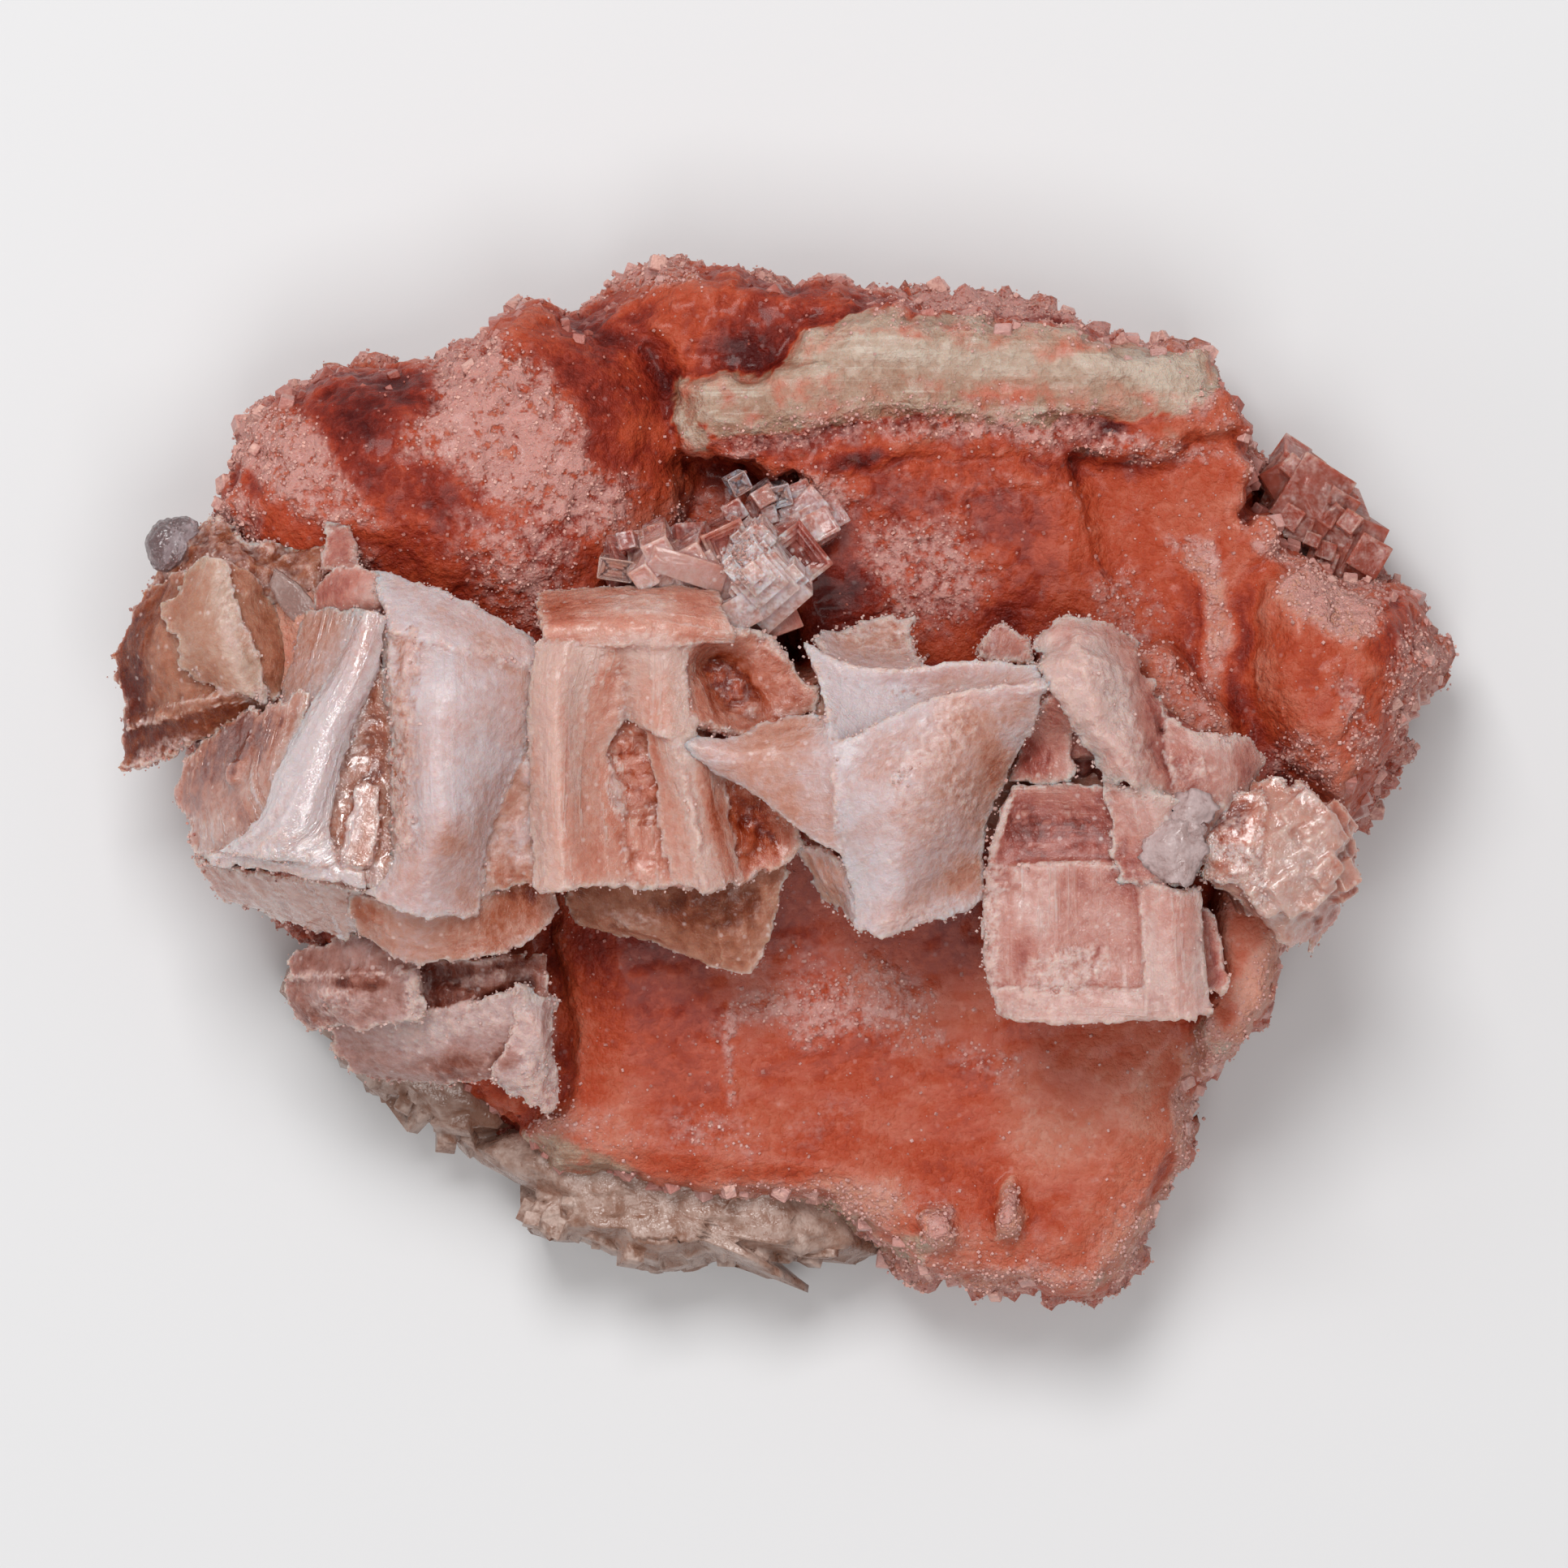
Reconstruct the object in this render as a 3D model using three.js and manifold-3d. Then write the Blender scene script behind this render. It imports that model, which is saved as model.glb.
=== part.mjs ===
// A cluster of pink halite: thin-walled hopper crystals grown in a row across a flat slab of
// orange-red salt. Millimetres, +Z up. The slab lies on its flat back at z = 0, the hopper ridge
// runs along X, and the origin is at the middle of the footprint.
import * as THREE from "three";
import { mergeVertices } from "three/addons/utils/BufferGeometryUtils.js";
import Module from "manifold-3d";

const wasm = await Module();
wasm.setup();

// Driving dimensions.
const SPAN = 120; // length of the cluster along X
const GAP = 0.3; // clearance between neighbouring crystals
const WALL = 1.8; // thickness of a hopper wall
const THIN_WALL = 1.2; // thickness of a free blade or a rim
const CORE = 3.2; // thickness of a wall that closes a crystal against the ridge
const REST_LIMIT = SPAN; // half-size of the block that trims everything below z = 0
const ROOT_SINK = 8; // height at which a crystal's root ends inside the slab
const ROOT_STEPS = [[0.7, 0], [0.92, 1.5], [1, 5]]; // a root's shoulder: outline scale, drop
const LUMP_FACES = [12, 8]; // faces round a rounded lump, and from its top to its bottom
const MERGE_DISTANCE = 1e-4; // points closer than this are one point
const SATIN = 0.35; // surface roughness of salt

const COLOURS = {
  salt: 0xb5503a,
  frosted: 0xc77a68,
  amber: 0xb98a6e,
  milky: 0xd8b5a8,
  peach: 0xd9a38c,
  clear: 0xc9c4c2,
};

// ---------------------------------------------------------------- solids from three.js shapes

// Turns a closed three.js geometry into a solid whose faces point outwards.
function toSolid(geometry) {
  geometry.deleteAttribute("normal");
  geometry.deleteAttribute("uv");
  const merged = mergeVertices(geometry, MERGE_DISTANCE);
  const triVerts = new Uint32Array(merged.index.array);
  const vertProperties = new Float32Array(merged.attributes.position.array);
  const solid = new wasm.Manifold(new wasm.Mesh({ numProp: 3, vertProperties, triVerts }));
  if (solid.volume() > 0) return solid;
  return new wasm.Manifold(
    new wasm.Mesh({ numProp: 3, vertProperties, triVerts: triVerts.reverse() }),
  );
}

function union(solids) {
  return solids.reduce((whole, solid) => whole.add(solid));
}

// The largest body of a solid: a cut can leave loose chips beside it.
function largestBody(solid) {
  const bodies = solid.decompose();
  return bodies.reduce((best, body) => (body.volume() > best.volume() ? body : best));
}

function toGeometry(solid) {
  const mesh = solid.getMesh();
  const positions = new Float32Array(mesh.numVert * 3);
  for (let i = 0; i < mesh.numVert; i += 1) {
    const start = i * mesh.numProp;
    positions.set(mesh.vertProperties.subarray(start, start + 3), i * 3);
  }
  const geometry = new THREE.BufferGeometry();
  geometry.setAttribute("position", new THREE.BufferAttribute(positions, 3));
  geometry.setIndex(new THREE.BufferAttribute(mesh.triVerts, 1));
  geometry.computeVertexNormals();
  return geometry;
}

// Every maker below returns a function of a margin, so that the same shape can be made at its
// own size and again a little larger, to cut its neighbours clear of it.

// A curved wall through rows of points. The rows run from the top edge to the bottom edge, each
// from left to right, on the outer face; the wall's thickness lies behind that face.
function wall(rows, thickness = WALL) {
  const points = rows.map((row) => row.map((point) => new THREE.Vector3(...point)));
  const lastRow = points.length - 1;
  const lastColumn = points[0].length - 1;
  return (margin = 0) => {
    const geometry = new THREE.BoxGeometry(1, 1, 1, lastColumn, lastRow, 1);
    const position = geometry.attributes.position;
    for (let i = 0; i < position.count; i += 1) {
      const column = Math.round((position.getX(i) + 0.5) * lastColumn);
      const row = Math.round((0.5 - position.getY(i)) * lastRow);
      const right = points[row][Math.min(column + 1, lastColumn)]
        .clone()
        .sub(points[row][Math.max(column - 1, 0)])
        .normalize();
      const up = points[Math.max(row - 1, 0)][column]
        .clone()
        .sub(points[Math.min(row + 1, lastRow)][column])
        .normalize();
      const outward = right.clone().cross(up).normalize();
      const depth = position.getZ(i) > 0 ? margin : -thickness - margin;
      const sideways = column === 0 ? -margin : column === lastColumn ? margin : 0;
      const upwards = row === 0 ? margin : row === lastRow ? -margin : 0;
      const place = points[row][column]
        .clone()
        .addScaledVector(outward, depth)
        .addScaledVector(right, sideways)
        .addScaledVector(up, upwards);
      position.setXYZ(i, place.x, place.y, place.z);
    }
    return toSolid(geometry);
  };
}

// A rounded mass with an irregular outline. The profile runs from the crown to the underside as
// pairs of outline scale and height, and the top can slope along X and Y.
function mound({ outline, centre, profile, slope = [0, 0] }) {
  const [centreX, centreY] = centre;
  return (margin = 0) => {
    const rings = profile.length - 1;
    const geometry = new THREE.SphereGeometry(1, outline.length, rings);
    const position = geometry.attributes.position;
    const columns = outline.length + 1;
    for (let i = 0; i < position.count; i += 1) {
      const [scale, height] = profile[Math.floor(i / columns)];
      const [x, y] = outline[(i % columns) % outline.length];
      const offsetX = x - centreX;
      const offsetY = y - centreY;
      const reach = Math.hypot(offsetX, offsetY);
      const stretch = scale === 0 ? 0 : scale * (1 + margin / reach);
      const rise = offsetX * scale * slope[0] + offsetY * scale * slope[1];
      const isTop = Math.floor(i / columns) < rings - 1;
      const z = isTop ? height + rise + margin : height - margin;
      position.setXYZ(i, centreX + offsetX * stretch, centreY + offsetY * stretch, z);
    }
    return toSolid(geometry);
  };
}

// A cube-shaped crystal, turned in degrees about X, Y and Z.
function cube(size, turn, place) {
  return (margin = 0) => {
    const [width, depth, height] = size.map((side) => side + 2 * margin);
    const geometry = new THREE.BoxGeometry(width, depth, height);
    const angles = turn.map(THREE.MathUtils.degToRad);
    geometry.applyMatrix4(
      new THREE.Matrix4().makeRotationFromEuler(new THREE.Euler(...angles, "XYZ")),
    );
    geometry.translate(...place);
    return toSolid(geometry);
  };
}

// A smooth rounded lump.
function lump(radii, place) {
  return (margin = 0) => {
    const geometry = new THREE.SphereGeometry(1, ...LUMP_FACES);
    geometry.scale(...radii.map((radius) => radius + margin));
    geometry.translate(...place);
    return toSolid(geometry);
  };
}

// A crystal's root: the mass that ties its walls to the slab under them.
function root(outline, centre, top) {
  const shoulder = ROOT_STEPS.map(([scale, drop]) => [scale, top - drop]);
  const profile = [[0, top], ...shoulder, [1, ROOT_SINK], [0, ROOT_SINK]];
  return mound({ outline, centre, profile });
}

// ---------------------------------------------------------------- the slab of salt

const FOOTPRINT = [
  [-53.5, 19.5], [-51.2, 25.5], [-49.3, 30.4], [-47, 34.4], [-41.1, 37.6], [-35.6, 37.8],
  [-30.7, 38.6], [-25.8, 41.8], [-22.8, 44.2], [-18.3, 42.3], [-12.3, 47.2], [-4, 46.9],
  [0.6, 45.1], [3.2, 46.1], [7.7, 44.2], [17, 43.6], [24.3, 43], [33.9, 38.8], [38.5, 38.6],
  [39.5, 35.3], [43.4, 28.6], [47, 25], [51, 21], [54.2, 18.4], [57, 17.4], [60, 11], [58.1, 8],
  [56.4, 4], [53.7, -0.4], [50.7, -5], [48, -10], [44.5, -14.8], [44.2, -19.3], [39.3, -26],
  [36.8, -28.1], [37.2, -33], [34.6, -37], [31.4, -44.2], [28.6, -47.2], [19.2, -45.9],
  [12.2, -44.7], [8.5, -41.5], [-2, -38.5], [-12, -37.6], [-21, -35.5], [-28, -30.5],
  [-35, -24.5], [-39, -18], [-46, -12], [-51, -6], [-53.5, 2], [-54.5, 11],
];

const BASE = mound({
  outline: FOOTPRINT,
  centre: [0, 0],
  profile: [[0, 18], [0.8, 18], [0.93, 15.5], [1, 9], [0.97, 4], [0.9, 0], [0, 0]],
});

const FROSTY_MOUND = mound({
  outline: [
    [-52, 24.5], [-49.5, 30], [-47.2, 34], [-41.2, 37.3], [-35.6, 37.5], [-30.7, 38.3],
    [-25.8, 41.5], [-22.8, 43.8], [-18.5, 42], [-12, 40], [-8.5, 33], [-9, 26], [-12, 19],
    [-18, 15.5], [-24, 14.5], [-30, 16.5], [-36, 19], [-44, 21], [-49, 22.5],
  ],
  centre: [-29, 29],
  profile: [[0, 31], [0.45, 30.3], [0.75, 27], [0.93, 21], [1, 13], [0.97, 6], [0, 6]],
});

const BACK_STEP = mound({
  outline: [
    [-20, 41], [-16.4, 43.6], [-12.3, 46.8], [-4, 46.7], [0.6, 44.9], [3.2, 45.9], [7.7, 44],
    [17, 43.4], [24.3, 42.8], [31, 40.4], [20, 37], [0, 34], [-14, 34],
  ],
  centre: [2, 41],
  profile: [[0, 24], [0.6, 23.5], [0.88, 21], [1, 14], [1, 6], [0, 6]],
});

const BANDED_LEDGE = mound({
  outline: [
    [-8, 35.5], [1, 38], [2.5, 41], [8, 41.5], [16, 41.2], [24, 41.4], [31, 39.2],
    [38.4, 38.3], [39.4, 35], [37.5, 31.5], [30, 30.8], [20, 31.3], [10, 30.6], [2, 31.2], [-6, 31],
  ],
  centre: [17, 36],
  profile: [[0, 31.5], [0.8, 31.5], [0.94, 30.5], [1, 27], [1, 10], [0, 10]],
});

const RED_PLATE = mound({
  outline: [
    [0.5, 30], [3, 28.8], [10, 30.2], [25.6, 30.2], [26.7, 26.5], [28, 23], [28.3, 19.6],
    [31, 17.8], [33.5, 13.5], [37, 7.5], [30, 7], [14, 9], [2, 11], [-1, 20],
  ],
  centre: [15, 20],
  profile: [[0, 26.5], [0.75, 26.5], [0.95, 26], [1, 23], [1, 10], [0, 10]],
  slope: [0, 0.18],
});

const SALMON_PLATE = mound({
  outline: [
    [25, 30.5], [38, 32.8], [43.1, 28.6], [43.8, 24.8], [44.6, 22.4], [40, 22], [39.4, 18],
    [39.5, 14], [40, 8], [42.5, 3], [36, 6], [33, 12], [30, 18], [27, 20],
  ],
  centre: [36.5, 18],
  profile: [[0, 25], [0.75, 25.5], [0.94, 26], [1, 23.5], [1, 10], [0, 10]],
  slope: [0.15, 0.05],
});

const RIGHT_BULGE = mound({
  outline: [
    [40.8, 22], [45.5, 22.2], [50.8, 18.9], [54.2, 18.2], [56.8, 17.3], [59.8, 11],
    [58, 8.2], [56.2, 4], [53.5, -0.4], [50.4, -4.6], [45, -2], [43, 1.5], [41.2, 5.5],
    [40.2, 11], [40.4, 17],
  ],
  centre: [48.5, 10],
  profile: [[0, 31], [0.4, 30.5], [0.7, 28], [0.9, 22.5], [1, 14], [0.97, 7], [0, 7]],
});

const LOWER_DISH = mound({
  outline: [
    [-22, -9], [-20.5, -20], [-20.8, -29], [-24, -32], [-21, -35], [-9, -37], [4, -38],
    [9.1, -41.5], [12.2, -44.3], [19.2, -45.6], [28.4, -47], [31.2, -44], [34.4, -37],
    [37, -33], [36.6, -28], [39.2, -25.8], [44, -19.3], [44.4, -14.8], [47, -8], [36, -4],
    [20, -2], [0, -1], [-14, -2],
  ],
  centre: [10, -22],
  profile: [[0, 21], [0.5, 21.2], [0.8, 21.6], [0.94, 20], [1, 15], [0.97, 8], [0, 8]],
  slope: [0, 0.17],
});

const DISH_RIM = mound({
  outline: [
    [40, -7], [46, -10], [44.5, -14.6], [44.1, -19.1], [40.5, -24.5], [37.6, -27], [36, -23],
    [39.5, -18], [38.5, -12],
  ],
  centre: [41.2, -17],
  profile: [[0, 28], [0.6, 28], [0.9, 26], [1, 20], [1, 10], [0, 10]],
});

const RIDGE_CORE = mound({
  outline: [
    [-53, 2], [-53.5, 11], [-51, 18], [-44, 19], [-36, 16.5], [-24, 12.5], [-12, 14],
    [0, 11], [10, 9.5], [22, 9.5], [34, 6.5], [43, 2], [49, -4], [46, -9], [38, -7],
    [28, -5.5], [20, -5], [10, -5], [0, -4], [-14, -6], [-24, -7], [-38, -7], [-49, -5],
  ],
  centre: [-3, 3],
  profile: [[0, 31], [0.75, 30.5], [0.92, 27], [1, 20], [1, 8], [0, 8]],
});

const SLAB = [
  BASE, FROSTY_MOUND, BACK_STEP, BANDED_LEDGE, RED_PLATE, SALMON_PLATE, RIGHT_BULGE,
  LOWER_DISH, DISH_RIM, RIDGE_CORE,
];

// ---------------------------------------------------------------- the crystals

const LEFT_HOPPER = [
  wall([
    [[-56, 19.2, 24], [-53.5, 21, 27], [-50.8, 20.6, 31], [-48.6, 20, 33]],
    [[-59, 16.2, 23], [-55, 16.5, 28], [-51, 16, 34], [-47.3, 16, 34]],
    [[-60, 12, 22], [-56, 11.5, 28], [-50.5, 11.5, 34.5], [-46.9, 11.5, 34]],
    [[-59.5, 6.5, 22], [-55.5, 6.5, 28], [-50, 7.5, 33], [-46, 7, 33.5]],
    [[-59.8, 1.3, 22], [-56, 3, 26], [-51.5, 5.3, 30], [-46.2, 6.6, 31.5]],
  ], CORE),
  wall([
    [[-48.8, 20, 33], [-46.5, 18, 31.5], [-45.2, 15.6, 30]],
    [[-47.6, 14, 34.5], [-45.5, 12.5, 31], [-44, 11, 29]],
    [[-46.6, 7, 33], [-45.3, 7, 30.5], [-44.6, 7.2, 28.5]],
  ], CORE),
  wall([
    [[-53.2, 23, 22], [-50.2, 23.6, 24], [-47.5, 21.8, 25], [-42.5, 21.3, 25]],
    [[-56, 18.6, 22], [-52, 19.6, 26], [-48.3, 19.2, 28], [-43, 18, 27]],
  ], CORE),
  root([[-57, 15], [-54, 20], [-47, 20], [-45, 14], [-46, 8], [-52, 7], [-57, 8]], [-51, 13], 27),
];

const LEFT_CLEAR_KNOB = [lump([2.3, 2.8, 2.4], [-55.2, 21.2, 24])];

const LEFT_CLEAR_BLADE = [
  wall([
    [[-46.4, 17.8, 31.5], [-45.6, 19.3, 31.5]],
    [[-44.6, 15.4, 31.5], [-43.2, 17.6, 31.5]],
    [[-43.1, 13.2, 31], [-41.3, 15.2, 31]],
  ], 2.4),
];

const PINK_NUB = [
  wall([
    [[-41.6, 18.6, 32], [-38.2, 19.4, 34.5], [-35.9, 18.4, 36]],
    [[-42, 15.8, 32], [-38.4, 16, 35.5], [-36.4, 16.4, 36.5]],
  ], 6),
  wall([
    [[-40.2, 23.3, 30], [-38.4, 22.9, 30]],
    [[-40, 19, 32.5], [-37.8, 19, 33.5]],
  ], 3),
];

const BLADE_HOPPER = [
  wall([
    [[-38.3, 13.6, 38], [-36.8, 14.8, 42], [-35.5, 15.2, 41]],
    [[-40.6, 9.2, 37], [-38.4, 9.5, 43], [-37.0, 9.8, 40]],
    [[-43.2, 6.4, 36], [-40.6, 4.5, 43], [-39, 4, 39.5]],
    [[-45.6, 0.6, 35], [-42.3, -0.5, 42.5], [-40, -0.5, 39]],
    [[-48.7, -3.4, 34], [-44.5, -4.2, 41], [-40.6, -4.2, 39.5]],
    [[-51, -6.7, 33], [-44.1, -7.8, 40], [-37.5, -8.4, 40.5]],
  ], CORE),
  wall([
    [[-53.8, 2.3, 27], [-49.5, 5.6, 30], [-44.6, 5.8, 34]],
    [[-54.6, -1.5, 26], [-50.6, 1, 30], [-45.8, 0.5, 34]],
    [[-53.9, -4.2, 27], [-51.5, -3, 30.5], [-47.8, -3.6, 33.5]],
    [[-54, -5.8, 28], [-52.5, -6, 31], [-49.6, -6.8, 33]],
  ], CORE),
  wall([
    [[-53.8, -6, 28], [-49.5, -7, 31], [-44, -7.9, 36], [-38, -9.2, 37]],
    [[-51.4, -9.8, 27], [-48.8, -10, 29], [-43.5, -10.8, 32], [-38.8, -12, 34]],
    [[-51.3, -10.2, 25], [-48, -11.8, 25], [-43, -13, 27], [-40.2, -14.2, 30]],
  ]),
  wall([
    [[-37.5, 0.5, 39.5], [-36.2, 0.1, 39.5]],
    [[-39.8, -6.5, 39.5], [-37, -6.5, 39.5]],
  ], CORE),
  root([[-50, 3], [-47, 6], [-42, 8], [-38, 10], [-38, 4], [-39.5, -5], [-44, -6], [-50, -4]],
    [-44, 2], 35),
];

const COLUMN_HOPPER = [
  wall([
    [[-36.6, 19.3, 36], [-31.5, 17.2, 38], [-26.5, 14.9, 39], [-22.6, 12.4, 38]],
    [[-35.4, 14.5, 40], [-31, 12.8, 42.5], [-26, 11.5, 42], [-22.4, 9.5, 39]],
    [[-34.9, 8.5, 42], [-31, 7, 44.5], [-26.2, 6, 42.5], [-22.9, 4, 38]],
    [[-34.2, 0.5, 42], [-31, 0.5, 44.8], [-27.5, 0.5, 42.5], [-24.8, 0.5, 37]],
    [[-34.4, -5.5, 41], [-31.2, -5.5, 44], [-28.8, -5.5, 41.5], [-27, -5, 37]],
    [[-36.4, -9.2, 39], [-33.6, -11.2, 41], [-30.2, -11.8, 40], [-27.3, -9.5, 36]],
  ], CORE),
  wall([
    [[-38, -9.5, 36], [-33, -10, 38], [-28.5, -9, 37], [-25, -7.5, 35], [-22.8, -7, 34]],
    [[-38.2, -12, 34.5], [-33, -13.5, 36.5], [-28, -12.8, 36], [-24, -11, 34.5], [-21, -9.5, 33.5]],
    [[-37.6, -13.8, 33], [-33, -16.1, 35], [-27, -15.5, 35], [-22, -13.8, 34], [-20.4, -11, 33]],
  ]),
  wall([
    [[-25.2, 3, 36], [-22.9, 3.4, 37]],
    [[-27.4, -8.5, 34], [-22.8, -8, 34]],
  ], CORE),
  root([[-35, 14], [-30, 14], [-25, 11], [-24, 3], [-26, -5], [-30, -7], [-34, -6], [-35, 4]],
    [-30, 4], 38),
];

const MIDDLE_HOPPER = [
  wall([
    [[-22, 17.2, 35], [-17.3, 17.9, 36], [-12, 17.9, 37], [-6.5, 17.4, 37.5]],
    [[-22.1, 14.6, 38], [-17.2, 15, 39.5], [-12, 15.2, 40.5], [-6, 14.9, 40]],
    [[-21.4, 12.9, 40], [-17, 12.7, 41.5], [-12, 12.8, 42], [-4.5, 13.2, 40.5]],
  ], CORE),
  wall([
    [[-21.4, 12.9, 40], [-19.6, 12.7, 41], [-17.5, 12.7, 41], [-14.5, 12.7, 41]],
    [[-22.2, 8.2, 39.5], [-20.3, 8.2, 41.5], [-17.8, 8.2, 40], [-14.2, 8, 39]],
    [[-22.2, 3.5, 39], [-20.2, 3.5, 41.2], [-18.2, 3.5, 39.2], [-15.3, 3, 37.5]],
    [[-22, -3, 38.5], [-20, -3, 41], [-17.8, -3, 39], [-14.4, -2.8, 37]],
    [[-22, -9.6, 38.5], [-19.5, -9.6, 40], [-17, -9.3, 39], [-13.8, -9, 37.5]],
  ]),
  wall([
    [[-14.8, 12.7, 41], [-11.5, 12.8, 41.5], [-8.6, 12.9, 41]],
    [[-14.2, 8.5, 39], [-11.5, 8, 41], [-8.8, 8, 40]],
    [[-13, 5.5, 38], [-10.9, 4, 41], [-8.2, 4.3, 40]],
  ]),
  wall([
    [[-15, 8, 36.5], [-12, 8, 37], [-10.2, 5, 38]],
    [[-16, 1, 35], [-12.5, 1, 34], [-9.8, 0, 36]],
    [[-15, -8.8, 37], [-12, -9.2, 36.5], [-8.2, -9.5, 37.5]],
  ], CORE),
  wall([
    [[-12.6, 6, 38.5], [-10, 4.4, 41]],
    [[-11.2, 0.5, 37.5], [-9, -0.2, 40.5]],
    [[-10.4, -5.5, 37.5], [-7.8, -5, 40.3]],
    [[-9.8, -9.2, 38], [-6.9, -9.8, 39.8]],
  ]),
  wall([
    [[-10.2, 4.2, 41], [-8, 4.4, 40.5], [-6.4, 2.2, 38]],
    [[-9.1, -1, 40], [-7.2, -1, 39.8], [-5.2, -1.8, 36.5]],
    [[-7.1, -9.8, 39.8], [-5.6, -9.3, 39], [-4, -8.6, 36.5]],
  ]),
  wall([
    [[-6.8, 2.4, 38], [-4.5, 1, 36.5], [-2, -1.5, 36.5]],
    [[-5.4, -3.5, 36], [-2.5, -4, 34], [0.8, -4.2, 35]],
    [[-4.4, -8.8, 37], [-1.5, -7.6, 35.5], [1.2, -6.2, 35]],
  ]),
  wall([
    [[-8.8, 12.9, 41], [-5, 13.4, 40], [-1.2, 13.2, 38]],
    [[-8.6, 9.5, 39.8], [-4, 9.5, 33.5], [0.6, 9.2, 35]],
    [[-8, 5.5, 40], [-4.5, 4.6, 37], [2.4, 7.2, 36]],
  ]),
  root([[-21, 15], [-12, 16], [-3, 13], [-1, 8], [-3, 1], [-8, -4], [-15, -6], [-21, -5]],
    [-12, 5], 33.5),
];

const UNDER_HOPPER = [
  wall([
    [[-19.6, -8.5, 32], [-14, -7.5, 34], [-7, -7.8, 34.5], [0.8, -7, 33.5]],
    [[-18.7, -12.2, 29.5], [-12, -13.4, 31], [-5.5, -14, 32.5], [-1, -13.5, 32]],
    [[-17.5, -12.9, 28], [-10, -15.2, 29.5], [-4.2, -17.2, 31], [-2.6, -16.4, 31]],
  ], CORE),
  root([[-18, -5], [-10, -4], [-2, -4], [-1, -9], [-5, -12], [-12, -11.5], [-18, -9.5]],
    [-10, -7.5], 31),
];

const STAR_HOPPER = [
  wall([
    [[1.5, 13, 34], [5, 13.8, 32], [8.5, 14.9, 31], [11.5, 14.7, 31]],
    [[3, 11, 37], [6, 11.5, 34], [9, 11.8, 33], [12, 11.8, 33]],
    [[4, 9.6, 39.5], [7, 9.8, 39], [9.5, 9.9, 38.5], [12.8, 9.9, 38.5]],
  ]),
  wall([
    [[1.6, 12.8, 38], [6.5, 10.4, 39.5], [12, 10.3, 39.5], [17.5, 11, 39.5], [22.2, 10.7, 41]],
    [[3.4, 8.8, 40.5], [7.5, 8.2, 39], [12, 8.6, 38.5], [17, 9.6, 39.5], [22.6, 9.8, 42]],
    [[4.2, 5.4, 42], [7, 5, 40], [11, 6.3, 39.5], [16.5, 8.3, 41], [23, 9.2, 43]],
    [[4.4, 3, 42.5], [6.3, 2.8, 41], [9, 5.2, 41], [15, 7.6, 42.5], [23.4, 8.6, 43.5]],
  ]),
  wall([
    [[4.4, 3.2, 42.5], [9, 5.6, 41.8], [15, 7.9, 43], [23.6, 8.8, 43.5]],
    [[4.6, -1, 42.5], [9.5, 0.5, 44], [15.5, 2.5, 43.5], [21.4, 3.4, 40]],
    [[4.9, -5.5, 41], [9.5, -4.5, 43.5], [14.5, -3, 42], [18.7, -2, 37.5]],
    [[6.1, -9.5, 40], [10, -9.2, 42], [14, -8.5, 39.5], [17.6, -6.5, 36.5]],
    [[6.3, -12.8, 39.5], [8.5, -13.6, 41], [13.5, -12.2, 39.5], [17.4, -10.4, 37]],
  ]),
  wall([
    [[-6.2, 4.4, 40], [-3.4, 4.7, 39], [0.2, 6.7, 38.5], [4.2, 6.3, 41]],
    [[-6.3, 3.4, 40.5], [-3.2, 2.6, 41.5], [0.8, 3, 42], [4.5, 3, 42.8]],
    [[-5.9, 2.6, 40], [-2.6, -0.4, 41], [1.2, -2.6, 41.5], [4.8, -2.6, 42]],
    [[-4.6, 1.2, 39], [-1.3, -1.6, 40], [2, -5, 40.5], [5.2, -7, 41]],
  ]),
  wall([
    [[1.4, -6.4, 35], [3.6, -6.2, 37], [5.6, -8, 39.5]],
    [[2, -8.6, 33.5], [4, -9, 36], [6, -10.4, 39]],
    [[3.2, -10.2, 33], [4.6, -11.6, 34], [6.4, -12.2, 38]],
  ], THIN_WALL),
  root([[2, 9], [12, 10], [21, 9], [20, 3], [17, -3], [12, -5], [6, -4], [2, 1]], [12, 3], 37.5),
];

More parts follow.
